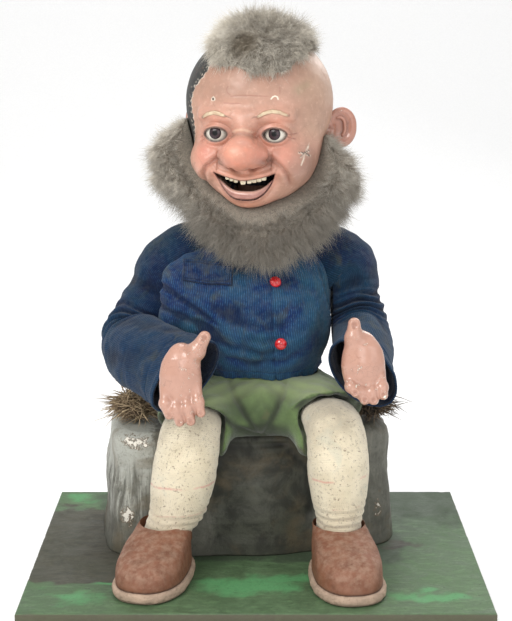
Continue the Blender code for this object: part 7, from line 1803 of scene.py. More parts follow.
def mask_surface():
    """The face as a polar grid about -Y with finer rings from the brows to the mouth, its points drawn onto the
    outlines of the eyes and mouth and turned in behind them, the seam's rim turned in too."""
    fine = np.concatenate([np.linspace(0.6, 14.0, 26, endpoint=False), np.linspace(14.0, 58.0, 128, endpoint=False),
                           np.linspace(58.0, MASK_SEAM, 34)])
    turn = np.linspace(0.0, TAU, 470, endpoint=False)
    ways = polar_ways(fine, turn)
    points = ways * head_radius(ways)[..., None]
    front = ease(-points[..., 1], 0.030, 0.045)
    x, z = points[..., 0].copy(), points[..., 2].copy()
    sculpt = face_sculpt(x, z, front) + 0.00035 * waves(points, 81, 0.030)
    points += normals_of(points) * -sculpt[..., None]
    keep = np.ones(points.shape[:2], dtype=bool)
    state = np.full(points.shape[:2], 0.012)
    for outline, kind in ((eye_outline(-1.0), -1.0), (eye_outline(1.0), 1.0), (mouth_outline(), 0.0)):
        x, z = points[..., 0], points[..., 2]
        gap, out = outline_distance(x, z, outline)
        gap = np.where(points[..., 1] < -0.030, gap, 0.012)
        still = ease(np.abs(gap), 0.0016, 0.0003)
        move = gap * still * np.clip(1.0 - np.clip(np.abs(gap) - 0.00030, 0.0, None) / 0.0013, 0.0, 1.0)
        points[..., 0] -= out[..., 0] * move
        points[..., 2] -= out[..., 1] * move
        inside = gap < 0.0
        if kind == 0.0:
            points[..., 1] += np.where(inside, 0.0065, 0.00045 * bell(gap, 0.0, 0.0007))
        else:
            dx, dz = points[..., 0] - kind * EYE_X, points[..., 2] - EYE_Z
            wall = EYE_Y - np.sqrt(np.maximum((EYE_RADIUS + 0.0004) ** 2 - dx ** 2 - dz ** 2, 0.0))
            points[..., 1] = np.where(inside, wall, points[..., 1] + 0.0004 * bell(gap, 0.0, 0.0006))
        keep &= gap > -0.00055
        state = np.minimum(state, gap)
    rim = points[-1] * (1.0 - 0.0035 / np.linalg.norm(points[-1], axis=1, keepdims=True))
    points = np.concatenate([points, points[-1:] * 0.995, rim[None]])
    pad = np.full((2, points.shape[1]), 0.012)
    return points, np.concatenate([keep, np.ones((2, len(turn)), dtype=bool)]), np.concatenate([state, pad])


def face_paint(points, state, skin, cheek, brown):
    """The face's colours by point: pink with browner forehead and temples, rosy cheeks, orange nose, cream brows
    with dark ends, black round the eyes, dark lines, and where it is chipped to white, holed and cracked; painted
    highlights on the nose's tip and the crescent over it, and painted shade on its own left cheek, in the smile
    folds, the groove over the nose, the eyes' inner corners, beside and under the nose and in the mouth."""
    x, y, z = points[..., 0], points[..., 1], points[..., 2]
    front = ease(-y, 0.025, 0.045)
    colour = np.array(skin)[None, None] * np.ones(points.shape)

    def tint(target, share):
        share = np.clip(share, 0.0, 1.0)[..., None]
        colour[:] = colour * (1.0 - share) + np.array(target) * share

    big = waves(points, 82, 0.050)
    small = waves(points, 83, 0.014)
    tint(toned(brown, 0.90), 0.80 * ease(z, 0.004, 0.034) + 0.16 * big)
    tint((0.40, 0.235, 0.165), 0.45 * np.clip(waves(points, 89, 0.024) - 0.1, 0.0, 1.0))
    # painted shade on the face's own left cheek, away from the key light
    tint((0.30, 0.165, 0.12), 0.80 * ease(x, 0.038, 0.052) * bell(z, -0.050, 0.022))
    tint((0.42, 0.255, 0.185), 0.50 * ease(x, 0.020, 0.050) * ease(z, -0.060, -0.090))
    temple = ease(x, 0.042, 0.068) * ease(z, -0.040, -0.010)
    tint((0.43, 0.285, 0.20), 0.66 * temple)
    tint((0.52, 0.30, 0.20), 0.35 * ease(-x, 0.050, 0.070) * ease(z, -0.05, 0.0))
    for side in (-1.0, 1.0):
        spot = bell(np.hypot((x - side * (0.046 if side < 0.0 else 0.037)) * 0.9, z + 0.036), 0.0, 0.017)
        tint(cheek, 0.60 * spot * (1.0 + 0.25 * small))
    tint((0.60, 0.175, 0.105), 0.78 * bell(np.hypot(x * 0.85, (z + 0.033) * 0.95), 0.0, 0.021) * front)
    # painted highlight on the nose's tip
    tint((0.86, 0.44, 0.31), 0.55 * bell(np.hypot(x + 0.003, (z + 0.031) * 1.2), 0.0, 0.010) * front)
    tint((0.80, 0.40, 0.27), 0.5 * bell(z, -0.0575, 0.0045) * ease(np.abs(x), 0.030, 0.012) * front)
    tint((0.70, 0.27, 0.16), 0.55 * bell(np.hypot(x, (z + 0.094) * 1.5), 0.0, 0.022) * front)
    lines = np.zeros_like(x)
    # painted shade along the smile folds
    near, along = line_distance(np.abs(x), z, np.array(SMILE_FOLDS) * MILLI)
    tint((0.24, 0.085, 0.055), 0.62 * bell(near, -0.0004, 0.0021) * ease(along, 0.0, 0.2) * ease(along, 1.0, 0.7)
         * front)
    # painted shade in the groove over the nose, then a painted highlight on the crescent above it
    arch = -0.0137 - 26.0 * x ** 2
    tint((0.25, 0.14, 0.10), 0.55 * bell(z, arch, 0.0016) * ease(np.abs(x), 0.016, 0.009) * front)
    tint((0.86, 0.60, 0.42), 0.55 * bell(z, arch + 0.0045, 0.0014) * ease(np.abs(x), 0.014, 0.008) * front)
    for side in (-1.0, 1.0):
        # painted shade in the eyes' inner corners, beside the nose's wings and in the nostrils
        tint((0.20, 0.095, 0.070), 0.75 * bell(np.hypot((x - side * 0.0195) * 0.9, z + 0.0150), 0.0, 0.0060) * front)
        tint((0.18, 0.085, 0.060), 0.80 * bell(np.hypot((x - side * 0.0250), (z + 0.0440) * 1.1), 0.0, 0.0066) * front)
        tint((0.16, 0.07, 0.05), 0.75 * bell(np.hypot(x - side * 0.0095, (z + 0.0520) * 1.5), 0.0, 0.0036) * front)
        tint((0.75, 0.24, 0.15), 0.40 * bell(z, 0.0, 0.0045) * bell(x, side * 0.034, 0.014) * front)
        near, along = line_distance(x, z, np.array(BROWS[side]) * MILLI)
        half = 0.00170 * (1.0 - 0.45 * np.abs(2.0 * along - 1.0) ** 3) * (1.0 + 0.12 * small)
        tint((0.30, 0.17, 0.09), 0.75 * ease(near, half + 0.00110, half + 0.00045) * front)
        tint((0.66, 0.55, 0.37), ease(near, half + 0.00035, half - 0.00025) * np.clip(
            0.80 + 0.55 * waves(points, 91, 0.0060), 0.0, 1.0) * front)
    for tail in BROW_TAILS:
        near, along = line_distance(x, z, np.array(tail) * MILLI)
        tint((0.17, 0.10, 0.07), 0.7 * ease(near, 0.00105, 0.00040) * front * ease(along, 1.1, 0.4))
    for line in FOREHEAD_LINES:
        near, along = line_distance(x, z, np.array(line) * MILLI)
        wander = 0.00050 + 0.00025 * small
        lines = np.maximum(lines, 0.42 * ease(near, wander + 0.0004, wander - 0.0002) * ease(along, 0.0, 0.1)
                           * ease(along, 1.0, 0.85))
    for line in CROWS_FEET:
        near, along = line_distance(x, z, np.array(line) * MILLI)
        lines = np.maximum(lines, 0.75 * ease(near, 0.00080, 0.00025) * ease(along, 1.05, 0.5))
    tint((0.26, 0.08, 0.055), lines * front)
    white = np.zeros_like(x)
    hole = np.hypot(x - HOLE[0] * MILLI, (z - HOLE[1] * MILLI) * 0.9)
    ragged_hole = hole + 0.0014 * waves(points, 90, 0.0040)
    white = np.maximum(white, ease(ragged_hole, 0.0027, 0.0021) * 0.85)
    near, along = line_distance(x, z, np.array(CHIP_ARC) * MILLI)
    white = np.maximum(white, ease(near, 0.00095, 0.00045))
    for index, line in enumerate(STAR_CRACK):
        near, along = line_distance(x, z, np.array(line) * MILLI)
        gate = 0.30 + 1.3 * small if index == 0 else 0.8
        white = np.maximum(white, ease(near, 0.00100, 0.00035) * np.clip(gate, 0.0, 1.0))
    edge = ease(np.degrees(np.arccos(np.clip(-y / np.linalg.norm(points, axis=2), -1.0, 1.0))), 88.0, 93.2)
    left = ease(-x, 0.020, 0.045) * ease(z, -0.050, -0.020)
    ragged = np.clip(0.55 + 1.2 * waves(points, 84, 0.0075), 0.0, 1.0)
    white = np.maximum(white, edge * left * ragged * 1.1)
    white = np.maximum(white, ease(edge, 0.8, 1.0) * (1.0 - left) * np.clip(0.1 + waves(points, 85, 0.012), 0.0, 1.0))
    tint((0.84, 0.77, 0.64), white * ease(-y, -0.02, 0.01))
    dark = ease(hole, 0.0015, 0.0010)
    for line in STAR_CRACK[1:]:
        near, along = line_distance(x, z, np.array(line) * MILLI + (0.0, 0.0006))
        dark = np.maximum(dark, ease(near, 0.0007, 0.0002))
    dark = np.maximum(dark, edge * left * np.clip(waves(points, 86, 0.0055) - 0.35, 0.0, 1.0) * 2.0)
    tint((0.035, 0.022, 0.018), dark * ease(-y, -0.02, 0.01))
    beyond = shell_gap(x, z)
    shell = shell_zone(x, z)
    tint((0.42, 0.24, 0.165), 0.55 * bell(beyond, -0.0045, 0.0040))
    tint((0.020, 0.021, 0.020), shell)
    tint((0.075, 0.060, 0.040), 0.8 * shell * np.clip(waves(points, 97, 0.007) - 0.25, 0.0, 1.0))
    rim = ease(np.abs(beyond + 0.0004), 0.0013, 0.0005) * np.clip(0.45 + 1.5 * waves(points, 98, 0.006), 0.0, 1.0)
    rim = np.maximum(rim, shell * ease(beyond, 0.0085, 0.0010) * np.clip(waves(points, 99, 0.0042) - 0.42, 0.0, 1.0)
                     * 4.0)
    tint((0.78, 0.72, 0.60), rim)
    dark = np.maximum(dark, shell * (1.0 - np.clip(rim, 0.0, 1.0)))
    tint((0.26, 0.235, 0.13), 0.55 * bell(np.hypot((x - 0.0545), (z - 0.031) * 0.9), 0.0, 0.0055)
         * np.clip(0.8 + small, 0.0, 1.0))
    tint((0.26, 0.235, 0.13), 0.35 * bell(np.hypot((x - 0.0620), (z - 0.036)), 0.0, 0.0040))
    eyes = np.minimum(outline_distance(x, z, eye_outline(-1.0))[0], outline_distance(x, z, eye_outline(1.0))[0])
    wide = 0.00120 + 0.00070 * ease(z, EYE_Z - 0.001, EYE_Z + 0.006) + 0.0002 * small
    tint((0.045, 0.026, 0.020), ease(eyes, wide + 0.00055, wide) * front)
    tint((0.55, 0.20, 0.13), 0.30 * bell(eyes, 0.0035, 0.0020) * front)
    mouth = outline_distance(x, z, mouth_outline())[0]
    tint((0.17, 0.050, 0.038), ease(mouth, 0.00135, 0.00050) * front)
    tint((0.74, 0.30, 0.20), 0.35 * bell(mouth, 0.0026, 0.0013) * front)
    # painted shade: the mouth's turned-in walls near black navy; the eyes' walls dark brown
    inside = state < 0.0
    colour[inside & (z < -0.045)] = (0.008, 0.009, 0.020)
    colour[inside & (z >= -0.045)] = (0.020, 0.014, 0.012)
    return colour, np.clip(white, 0.0, 1.0), np.clip(dark, 0.0, 1.0)


def painted_skin(name, craze_amount=0.5):
    """Gloss paint over composition: the colour stored on the points, thin crazing, soiled patches, worn chips."""
    def fill(tree, shader, place):
        base = layer(tree, "paint")
        marks = put(tree, "ShaderNodeSeparateColor", {0: layer(tree, "marks")}).outputs
        film = noise(tree, place, 36.0, 6.0, 0.65)
        fine = noise(tree, place, 160.0, 5.0, 0.7)
        light = sum_of(tree, "SUBTRACT", 1.0, marks[2])
        colour = blend_of(tree, sum_of(tree, "MULTIPLY", light, span(tree, film, 0.35, 0.70, 0.0, 0.46)), base,
                          (0.27, 0.155, 0.11))
        colour = blend_of(tree, sum_of(tree, "MULTIPLY", light, span(tree, fine, 0.52, 0.72, 0.0, 0.24)), colour,
                          (0.80, 0.54, 0.42))
        wide = put(tree, "ShaderNodeTexVoronoi", {"Vector": place, "Scale": 62.0, "Randomness": 1.0},
                   feature="DISTANCE_TO_EDGE").outputs["Distance"]
        gate = use(tree, mottle(), Vector=place, Scale=26.0, Low=0.50, High=0.60)["Mask"]
        crack = sum_of(tree, "MULTIPLY", span(tree, wide, 0.0, 0.014, 1.0, 0.0), gate)
        colour = blend_of(tree, sum_of(tree, "MULTIPLY", crack, craze_amount), colour, (0.20, 0.085, 0.055))
        grime = use(tree, mottle(), Vector=place, Scale=120.0, Low=0.64, High=0.74)["Mask"]
        colour = blend_of(tree, sum_of(tree, "MULTIPLY", grime, 0.40), colour, (0.22, 0.13, 0.08))
        flake = use(tree, chips(), Vector=place, Scale=210.0, Amount=0.26)
        colour = blend_of(tree, sum_of(tree, "MULTIPLY", flake["Chip"], 0.75), colour, (0.80, 0.70, 0.57))
        height = sum_of(tree, "SUBTRACT", sum_of(tree, "MULTIPLY", fine, 0.25), sum_of(
            tree, "ADD", sum_of(tree, "MULTIPLY", marks[0], 0.9), sum_of(tree, "MULTIPLY", crack, 0.5)))
        rough = sum_of(tree, "ADD", span(tree, film, 0.3, 0.7, 0.40, 0.56), sum_of(tree, "MULTIPLY", marks[0], 0.3))
        feed(tree, shader, colour, rough, height, 0.0005, 0.5)
    return finish(name, fill, Coat_Weight=0.18, Coat_Roughness=0.30, Subsurface_Weight=0.04,
                  Subsurface_Radius=(0.004, 0.0015, 0.001))


def mask_piece(settings):
    """The painted mask."""
    points, keep, state = mask_surface()
    colour, white, dark = face_paint(points, state, tuple(settings.skin), tuple(settings.cheek), tuple(settings.brown))
    rows, columns = points.shape[:2]
    faces = grid_faces(rows, columns, wrap=True)
    good = (keep & off_neck(points)).ravel()[faces].all(axis=1)
    middle = points[0].mean(axis=0)
    flat = np.vstack([points.reshape(-1, 3), middle])
    fan = fan_faces(0, columns, rows * columns)[:, [0, 3, 2, 1]]
    mesh = mesh_of("Face_mask", to_world(flat), np.vstack([faces[good], fan])[:, ::-1])
    full = np.vstack([colour.reshape(-1, 3), colour[0, :1]])
    paint_points(mesh, full)
    marks = np.stack([white.ravel() + dark.ravel(), white.ravel(), dark.ravel()], axis=1)
    paint_points(mesh, np.vstack([marks, marks[:1]]), "marks")
    piece = object_of("Face_mask", mesh, "head", painted_skin("Face paint"))
    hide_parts("face_mask")


def back_piece():
    """The back of the head, a dark shell from the seam to the nape, dented and flaking along its edge."""
    angles = np.concatenate([[MASK_SEAM + 0.6], np.linspace(MASK_SEAM + 0.9, 178.6, 96)])
    turn = np.linspace(0.0, TAU, 330, endpoint=False)
    ways = polar_ways(angles, turn)
    points = ways * head_radius(ways)[..., None]
    points += ways * (0.0009 * waves(points, 87, 0.035) - 0.0007)[..., None]
    rim = points[0] * (1.0 - 0.0035 / np.linalg.norm(points[0], axis=1, keepdims=True))
    points = np.concatenate([rim[None], points[:1] * 0.995, points])
    rows, columns = points.shape[:2]
    faces = grid_faces(rows, columns, wrap=True)
    good = off_neck(points).ravel()[faces].all(axis=1)
    middle = points[-1].mean(axis=0)
    flat = np.vstack([points.reshape(-1, 3), middle])
    fan = fan_faces(rows - 1, columns, rows * columns)
    mesh = mesh_of("Head_back", to_world(flat), np.vstack([faces[good], fan])[:, ::-1])
    angle = np.degrees(np.arccos(np.clip(-points[..., 1] / np.linalg.norm(points, axis=2), -1.0, 1.0)))
    worn = np.concatenate([(ease(angle, 104.0, 95.0) * np.clip(0.3 + 1.1 * waves(points, 88, 0.010), 0.0, 1.0)).ravel(),
                           [0.0]])
    paint_points(mesh, np.stack([worn, np.zeros_like(worn), np.zeros_like(worn)], axis=1))

    def fill(tree, shader, place):
        edge = put(tree, "ShaderNodeSeparateColor", {0: layer(tree, "paint")}).outputs[0]
        film = noise(tree, place, 42.0, 6.0, 0.7)
        flake = use(tree, chips(), Vector=place, Scale=120.0, Amount=0.42)
        colour = blend_of(tree, span(tree, film, 0.35, 0.68), (0.016, 0.017, 0.016), (0.045, 0.045, 0.036))
        colour = blend_of(tree, flake["Rim"], colour, (0.12, 0.08, 0.05))
        colour = blend_of(tree, flake["Chip"], colour, (0.56, 0.48, 0.36))
        colour = blend_of(tree, edge, colour, (0.62, 0.56, 0.45))
        height = sum_of(tree, "SUBTRACT", film, sum_of(tree, "MULTIPLY", flake["Chip"], 0.8))
        feed(tree, shader, colour, span(tree, film, 0.3, 0.7, 0.45, 0.75), height, 0.0007, 0.5)
    piece = object_of("Head_back", mesh, "head", finish("Back paint", fill))
    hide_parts("head_back")


def ear_distance(points, side):
    """An ear in its own axes: a thin oval carved into a bowl, a rim and an inner fold left proud, cut by the head;
    the one that the photograph doesn't show lies back against the head."""
    splay = math.radians(24.0 if side > 0.0 else 68.0)
    local = points - np.array((side * 0.0918, 0.016, -0.0150) if side > 0.0 else (-0.0865, 0.027, -0.019))
    u = local[:, 0] * side * math.cos(splay) + local[:, 1] * math.sin(splay)
    w = local[:, 0] * side * math.sin(splay) - local[:, 1] * math.cos(splay)
    p = np.stack([u, w, local[:, 2] - 0.0015 * np.sign(local[:, 2])], axis=1)
    d = ball_distance(p, (0.0, -0.0006, 0.0), (0.0178, 0.0052, 0.0212))
    d = carve(d, ball_distance(p, (-0.0012, 0.0048, 0.0010), (0.0126, 0.0056, 0.0158)), 0.0016)
    turn = np.linspace(-0.9, 1.9, 9)
    fold = [(-0.0030 + 0.0068 * math.cos(t), 0.0012, 0.0004 + 0.0098 * math.sin(t)) for t in turn]
    for one, two in zip(fold[:-1], fold[1:]):
        d = melt(d, bar_distance(p, one, two, 0.0015), 0.0016)
    d = melt(d, ball_distance(p, (-0.0112, 0.0018, -0.0030), (0.0040, 0.0030, 0.0046)), 0.0024)
    d = carve(d, ball_distance(p, (-0.0055, 0.0035, -0.0030), (0.0042, 0.0038, 0.0052)), 0.0014)
    d = melt(d, ball_distance(p, (-0.0060, 0.0000, -0.0170), (0.0066, 0.0036, 0.0056)), 0.0030)
    d = melt(d, ball_distance(p, (-0.0180, -0.0016, -0.0020), (0.0100, 0.0040, 0.0150)), 0.0030)
    return carve(d, head_distance(points) + 0.0016, 0.0003)


def ear_pieces():
    """Both ears as surface nets."""
    paint = composition_finish("Ear paint", (0.47, 0.22, 0.155), (0.16, 0.060, 0.040), 0.30, 0.7)
    for side, word in ((-1.0, "left"), (1.0, "right")):
        x = sorted((side * 0.072, side * 0.116))
        points, faces = net(lambda p: ear_distance(p, side), (x[0], 0.002, -0.046), (x[1], 0.050, 0.012), 0.0008)
        name = "Ear_" + word
        mesh = mesh_of(name, points, faces)
        normal = np.empty(len(points) * 3, dtype=np.float32)
        mesh.vertices.foreach_get("normal", normal)
        normal = normal.reshape(-1, 3)
        # painted shade in the ear's bowl and folds
        cavity = np.clip(1.0 - ear_distance(points + normal * 0.003, side) / 0.003, 0.0, 1.0)
        mesh.vertices.foreach_set("co", to_world(points).astype(np.float32).ravel())
        mesh.update()
        paint_points(mesh, np.stack([cavity, np.zeros(len(points)), np.zeros(len(points))], axis=1))
        piece = object_of(name, mesh, "head", paint)
        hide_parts("ear_" + word)


def surface_y(x, z, depth=0.0):
    """The face's front in y at arrays of x and z, found by even steps, at a depth inside it."""
    x, z = np.atleast_1d(x), np.atleast_1d(z)
    ys = np.linspace(-0.125, -0.035, 260)
    line = np.stack([x[:, None] + 0 * ys, ys[None] + 0 * x[:, None], z[:, None] + 0 * ys], axis=-1)
    inside = head_distance(line.reshape(-1, 3)).reshape(len(x), -1) < -depth
    return ys[inside.argmax(axis=1)]


def eye_pieces():
    """Glass eyes: a ball whose points hold the angle from its gaze, painted white, iris, pupil and dark rim, with
    painted shade on the white towards its edge.
    """
    def fill(tree, shader, place):
        look = put(tree, "ShaderNodeSeparateColor", {0: layer(tree, "gaze")}).outputs
        angle = look[0]
        spoke = put(tree, "ShaderNodeCombineXYZ", {0: look[1], 1: look[2], 2: sum_of(tree, "MULTIPLY", angle, 0.35)})
        streak = noise(tree, spoke.outputs[0], 15.0, 4.0, 0.7)
        iris = blend_of(tree, span(tree, streak, 0.34, 0.68), (0.010, 0.006, 0.008), (0.060, 0.033, 0.038))
        iris = blend_of(tree, span(tree, angle, 0.20, 0.33, 0.0, 0.35), iris, (0.055, 0.038, 0.052))
        veins = noise(tree, place, 260.0, 5.0, 0.75)
        white = blend_of(tree, span(tree, veins, 0.50, 0.72, 0.0, 0.35), (0.60, 0.56, 0.49), (0.40, 0.33, 0.28))
        # painted shade on the white towards the lids
        white = blend_of(tree, span(tree, angle, 0.56, 0.90), white, (0.34, 0.27, 0.22))
        colour = blend_of(tree, span(tree, angle, 0.405, 0.425), iris, white)
        ring = sum_of(tree, "MULTIPLY", span(tree, angle, 0.345, 0.385), span(tree, angle, 0.415, 0.440, 1.0, 0.0))
        colour = blend_of(tree, ring, colour, (0.010, 0.008, 0.010))
        colour = blend_of(tree, span(tree, angle, 0.165, 0.190, 1.0, 0.0), colour, (0.004, 0.004, 0.005))
        feed(tree, shader, colour, None, veins, 0.00003, 0.2)
    glass = finish("Eye glass", fill, Roughness=0.30, Coat_Weight=0.25, Coat_Roughness=0.05, Specular_IOR_Level=0.20)
    for side, word in ((-1.0, "left"), (1.0, "right")):
        gaze = np.array((-0.025, -1.0, 0.075))
        gaze /= np.linalg.norm(gaze)
        across, up = across_of(gaze, np.array((1.0, 0.0, 0.0)))
        angle = np.concatenate([np.linspace(0.004, 0.50, 54, endpoint=False), np.linspace(0.50, 3.137, 56)])
        turn = np.linspace(0.0, TAU, 96, endpoint=False)
        a, t = angle[:, None, None], turn[None, :, None]
        ball = np.cos(a) * gaze + np.sin(a) * (np.cos(t) * across + np.sin(t) * up)
        swell = 0.00035 * ease(angle, 0.46, 0.30)
        points = ball * (EYE_RADIUS - 0.0001 + swell)[:, None, None] + np.array((side * EYE_X, EYE_Y, EYE_Z))
        name = "Eye_" + word
        mesh = skin_mesh(name, to_world(points)[:, ::-1])
        held = np.stack([a[..., 0] + 0 * t[..., 0], 0.5 + 0.5 * np.cos(t[..., 0]) + 0 * a[..., 0],
                         0.5 + 0.5 * np.sin(t[..., 0]) + 0 * a[..., 0]], axis=-1)[:, ::-1].reshape(-1, 3)
        full = np.zeros((len(mesh.vertices), 3))
        full[:len(held)] = held
        full[-1, 0] = 3.14
        paint_points(mesh, full, "gaze")
        piece = object_of(name, mesh, "eye_" + word, glass)
        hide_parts("eyeball_" + word)


def loft(rings):
    """Points and quads of a closed tube of rings, its ends closed by fans, for joining into one mesh."""
    rows, columns = rings.shape[:2]
    points = np.vstack([rings.reshape(-1, 3), rings[0].mean(axis=0), rings[-1].mean(axis=0)])
    faces = [grid_faces(rows, columns, wrap=True)]
    for row, centre, turned in ((0, rows * columns, True), (rows - 1, rows * columns + 1, False)):
        faces.append(fan_faces(row, columns, centre, turned))
    return points, np.vstack(faces)


def joined(name, parts):
    """One mesh from several point and face arrays."""
    points, faces, base = [], [], 0
    for part_points, part_faces in parts:
        points.append(part_points)
        faces.append(part_faces + base)
        base += len(part_points)
    return mesh_of(name, np.vstack(points), np.vstack(faces))


def teeth_piece():
    """The upper teeth: nine blocks, each a superellipsoid of power 4, in one even strip hung from a gum behind
    the lip."""
    parts = []
    count, half = TEETH_COUNT, TEETH_HALF
    turn = np.linspace(0.0, TAU, 26, endpoint=False)
    for index in range(count):
        middle = -half + (index + 0.5) * 2.0 * half / count
        wide = half / count * 0.985
        low = mouth_top(middle) - 0.0044 * (1.0 - 0.20 * (middle / half) ** 2) + 0.00015 * math.sin(index * 2.3)
        top = mouth_top(middle) + 0.0030
        y = float(surface_y(middle, mouth_top(middle), 0.0022)[0])
        lean = float(surface_y(middle + 0.002, mouth_top(middle), 0.0022)[0] - y) / 0.002
        rings = []
        for share in np.linspace(-math.pi / 2 + 0.04, math.pi / 2 - 0.04, 16):
            size = math.cos(share) ** 0.22
            level = (low + top) / 2.0 + (top - low) / 2.0 * math.sin(share)
            a, b = ring_of(0.0, 0.0, wide * size, 0.0019 * size, 4.0, turn)
            rings.append(np.stack([middle + a, y + 0.0019 + b + a * lean, np.full_like(a, level)], axis=1))
        points, faces = loft(np.array(rings))
        parts.append((to_world(points), faces))
    rings = []
    for x in np.linspace(-half - 0.001, half + 0.001, 60):
        top = mouth_top(x) + 0.0020
        y = float(surface_y(x, mouth_top(x), 0.0036)[0])
        a, b = ring_of(0.0, 0.0, 0.0021, 0.0019, 2.6, turn)
        rings.append(np.stack([np.full_like(a, x), y + 0.0024 + a, top + 0.0012 + b], axis=1))
    points, faces = loft(np.array(rings))
    parts.append((to_world(points), faces))
    mesh = joined("Upper_teeth", parts)

    def fill(tree, shader, place):
        film = noise(tree, place, 300.0, 5.0, 0.7)
        colour = blend_of(tree, span(tree, film, 0.35, 0.7), (0.82, 0.74, 0.55), (0.55, 0.44, 0.27))
        feed(tree, shader, colour, span(tree, film, 0.3, 0.7, 0.22, 0.42), film, 0.0001, 0.3)
    piece = object_of("Upper_teeth", mesh, "head", finish("Tooth paint", fill, Coat_Weight=0.4))
    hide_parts("upper_teeth")


def jaw_piece():
    """The lower lip: a fleshy crescent that follows the mouth's lower edge, on the jaw's two arms and cross bar."""
    turn = np.linspace(0.0, TAU, 44, endpoint=False)
    half = 0.0302
    parts, rings, tints = [], [], []
    xs = half * np.sin(np.linspace(-1.50, 1.50, 120))
    for x in xs:
        low = mouth_low(x) + 0.0007
        tall = max(0.0096 * (1.0 - abs(x / half) ** 3) ** 0.70, 0.0010)
        high = max(min(low + tall, mouth_top(x) - 0.0008), low + 0.0008) if abs(x) > 0.016 else low + tall
        middle, reach = (low + high) / 2.0, (high - low) / 2.0
        y = float(surface_y(x, middle)[0])
        a, b = ring_of(0.0, 0.0, 0.0046, reach, 2.3, turn)
        pout = 0.0010 * (1.0 - (x / half) ** 2)
        rings.append(np.stack([np.full_like(a, x), y + 0.0042 - pout - a * 1.0, middle + b], axis=1))
        tints.append(np.stack([b / reach, a / 0.0046, np.full_like(a, abs(x) / half)], axis=1))
    points, faces = loft(np.array(rings)[:, ::-1])
    tint = np.vstack([np.array(tints)[:, ::-1].reshape(-1, 3), np.zeros((2, 3))])
    parts.append((to_world(points), faces))
    count = len(points)
    for side in (-1.0, 1.0):
        path = np.array([(side * 0.020, -0.0640, mouth_low(0.020) + 0.0036),
                         (side * 0.020, -0.0500, mouth_low(0.020) + 0.0042),
                         (side * 0.020, -0.0200, -0.0622), (side * 0.020, -0.0100, -0.0620),
                         (side * 0.020, 0.0016, -0.0620)])
        rows = np.hstack([path, np.array([(0.0019, 0.0022)] * 5)])
        points, faces = loft(tube(curve(rows, 30), 20, (1, 0, 0)))
        parts.append((to_world(points), faces))
    bar = np.array([(x, 0.0, -0.062, 0.0017, 0.0017) for x in (-0.0205, 0.0, 0.0205)])
    points, faces = loft(tube(curve(bar, 8), 20, (0, 1, 0)))
    parts.append((to_world(points), faces))
    mesh = joined("Lower_lip", parts)
    full = np.zeros((len(mesh.vertices), 3))
    full[:count] = 0.5 + 0.5 * tint
    paint_points(mesh, full)

    def fill(tree, shader, place):
        where = put(tree, "ShaderNodeSeparateColor", {0: layer(tree, "paint")}).outputs
        film = noise(tree, place, 150.0, 5.0, 0.7)
        colour = blend_of(tree, span(tree, film, 0.35, 0.7), (0.40, 0.185, 0.145), (0.27, 0.115, 0.090))
        # painted highlight along the lip's upper part
        colour = blend_of(tree, span(tree, where[0], 0.60, 0.84, 0.0, 0.85), colour, (0.62, 0.37, 0.30))
        colour = blend_of(tree, span(tree, where[0], 0.18, 0.06), colour, (0.075, 0.024, 0.020))
        # painted shade on the lip's back, inside the mouth
        colour = blend_of(tree, span(tree, where[1], 0.36, 0.20), colour, (0.020, 0.016, 0.026))
        flake = use(tree, chips(), Vector=place, Scale=260.0, Amount=0.30)
        colour = blend_of(tree, sum_of(tree, "MULTIPLY", flake["Chip"], 0.7), colour, (0.66, 0.50, 0.42))
        feed(tree, shader, colour, span(tree, film, 0.3, 0.7, 0.22, 0.38), film, 0.0003, 0.4)
    piece = object_of("Lower_lip", mesh, "jaw", finish("Lip paint", fill, Coat_Weight=0.6, Coat_Roughness=0.12))
    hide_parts("lower_jaw")


# Fur

def fur_finish(name, light, dark, root):
    """Grey fur: each hair its own tone, brown-grey at its root as painted shade and paler at its tip, in drifting
    darker patches, darker low down, with a painted highlight on its upper left and painted shade on its right.
    """
    def fill(tree, shader, place):
        tone = put(tree, "ShaderNodeSeparateColor", {0: layer(tree, "strand")}).outputs
        patch = noise(tree, place, 34.0, 4.0, 0.6)
        parts = put(tree, "ShaderNodeSeparateXYZ", {0: place}).outputs
        colour = blend_of(tree, tone[0], dark, light)
        colour = blend_of(tree, span(tree, patch, 0.44, 0.64, 0.0, 0.70), colour, dark)
        tuft = noise(tree, place, 105.0, 3.0, 0.6, 0.8)
        colour = blend_of(tree, span(tree, tuft, 0.46, 0.60, 0.0, 0.60), colour, toned(dark, 0.70))
        colour = blend_of(tree, span(tree, tuft, 0.42, 0.34, 0.0, 0.55), colour, toned(light, 1.12))
        # painted highlight on the fur's upper left
        colour = blend_of(tree, sum_of(tree, "MULTIPLY", span(tree, parts[0], 0.0, -0.05), span(
            tree, parts[2], 0.46, 0.54, 0.0, 0.45)), colour, toned(light, 1.15))
        # darker low down
        below = sum_of(tree, "ADD", parts[2], sum_of(tree, "MULTIPLY_ADD", patch, 0.05, -0.025))
        colour = blend_of(tree, span(tree, below, 0.440, 0.375, 0.0, 0.80), colour, toned(dark, 0.50))
        # painted shade on the fur's right below the crown
        colour = blend_of(tree, sum_of(tree, "MULTIPLY", span(tree, parts[0], 0.02, 0.09), span(
            tree, parts[2], 0.56, 0.50, 0.0, 0.40)), colour, toned(dark, 0.62))
        spot = put(tree, "ShaderNodeVectorMath", {0: place, 1: (-0.012, 0.000, 0.582)}, operation="DISTANCE")
        colour = blend_of(tree, span(tree, spot.outputs["Value"], 0.024, 0.008, 0.0, 0.75), colour,
                          (0.20, 0.155, 0.095))
        # painted shade toward each hair's root
        colour = blend_of(tree, span(tree, tone[1], 0.55, 0.0, 0.0, 0.62), colour, root)
        feed(tree, shader, colour)
    return finish(name, fill, Roughness=0.82, Specular_IOR_Level=0.25)


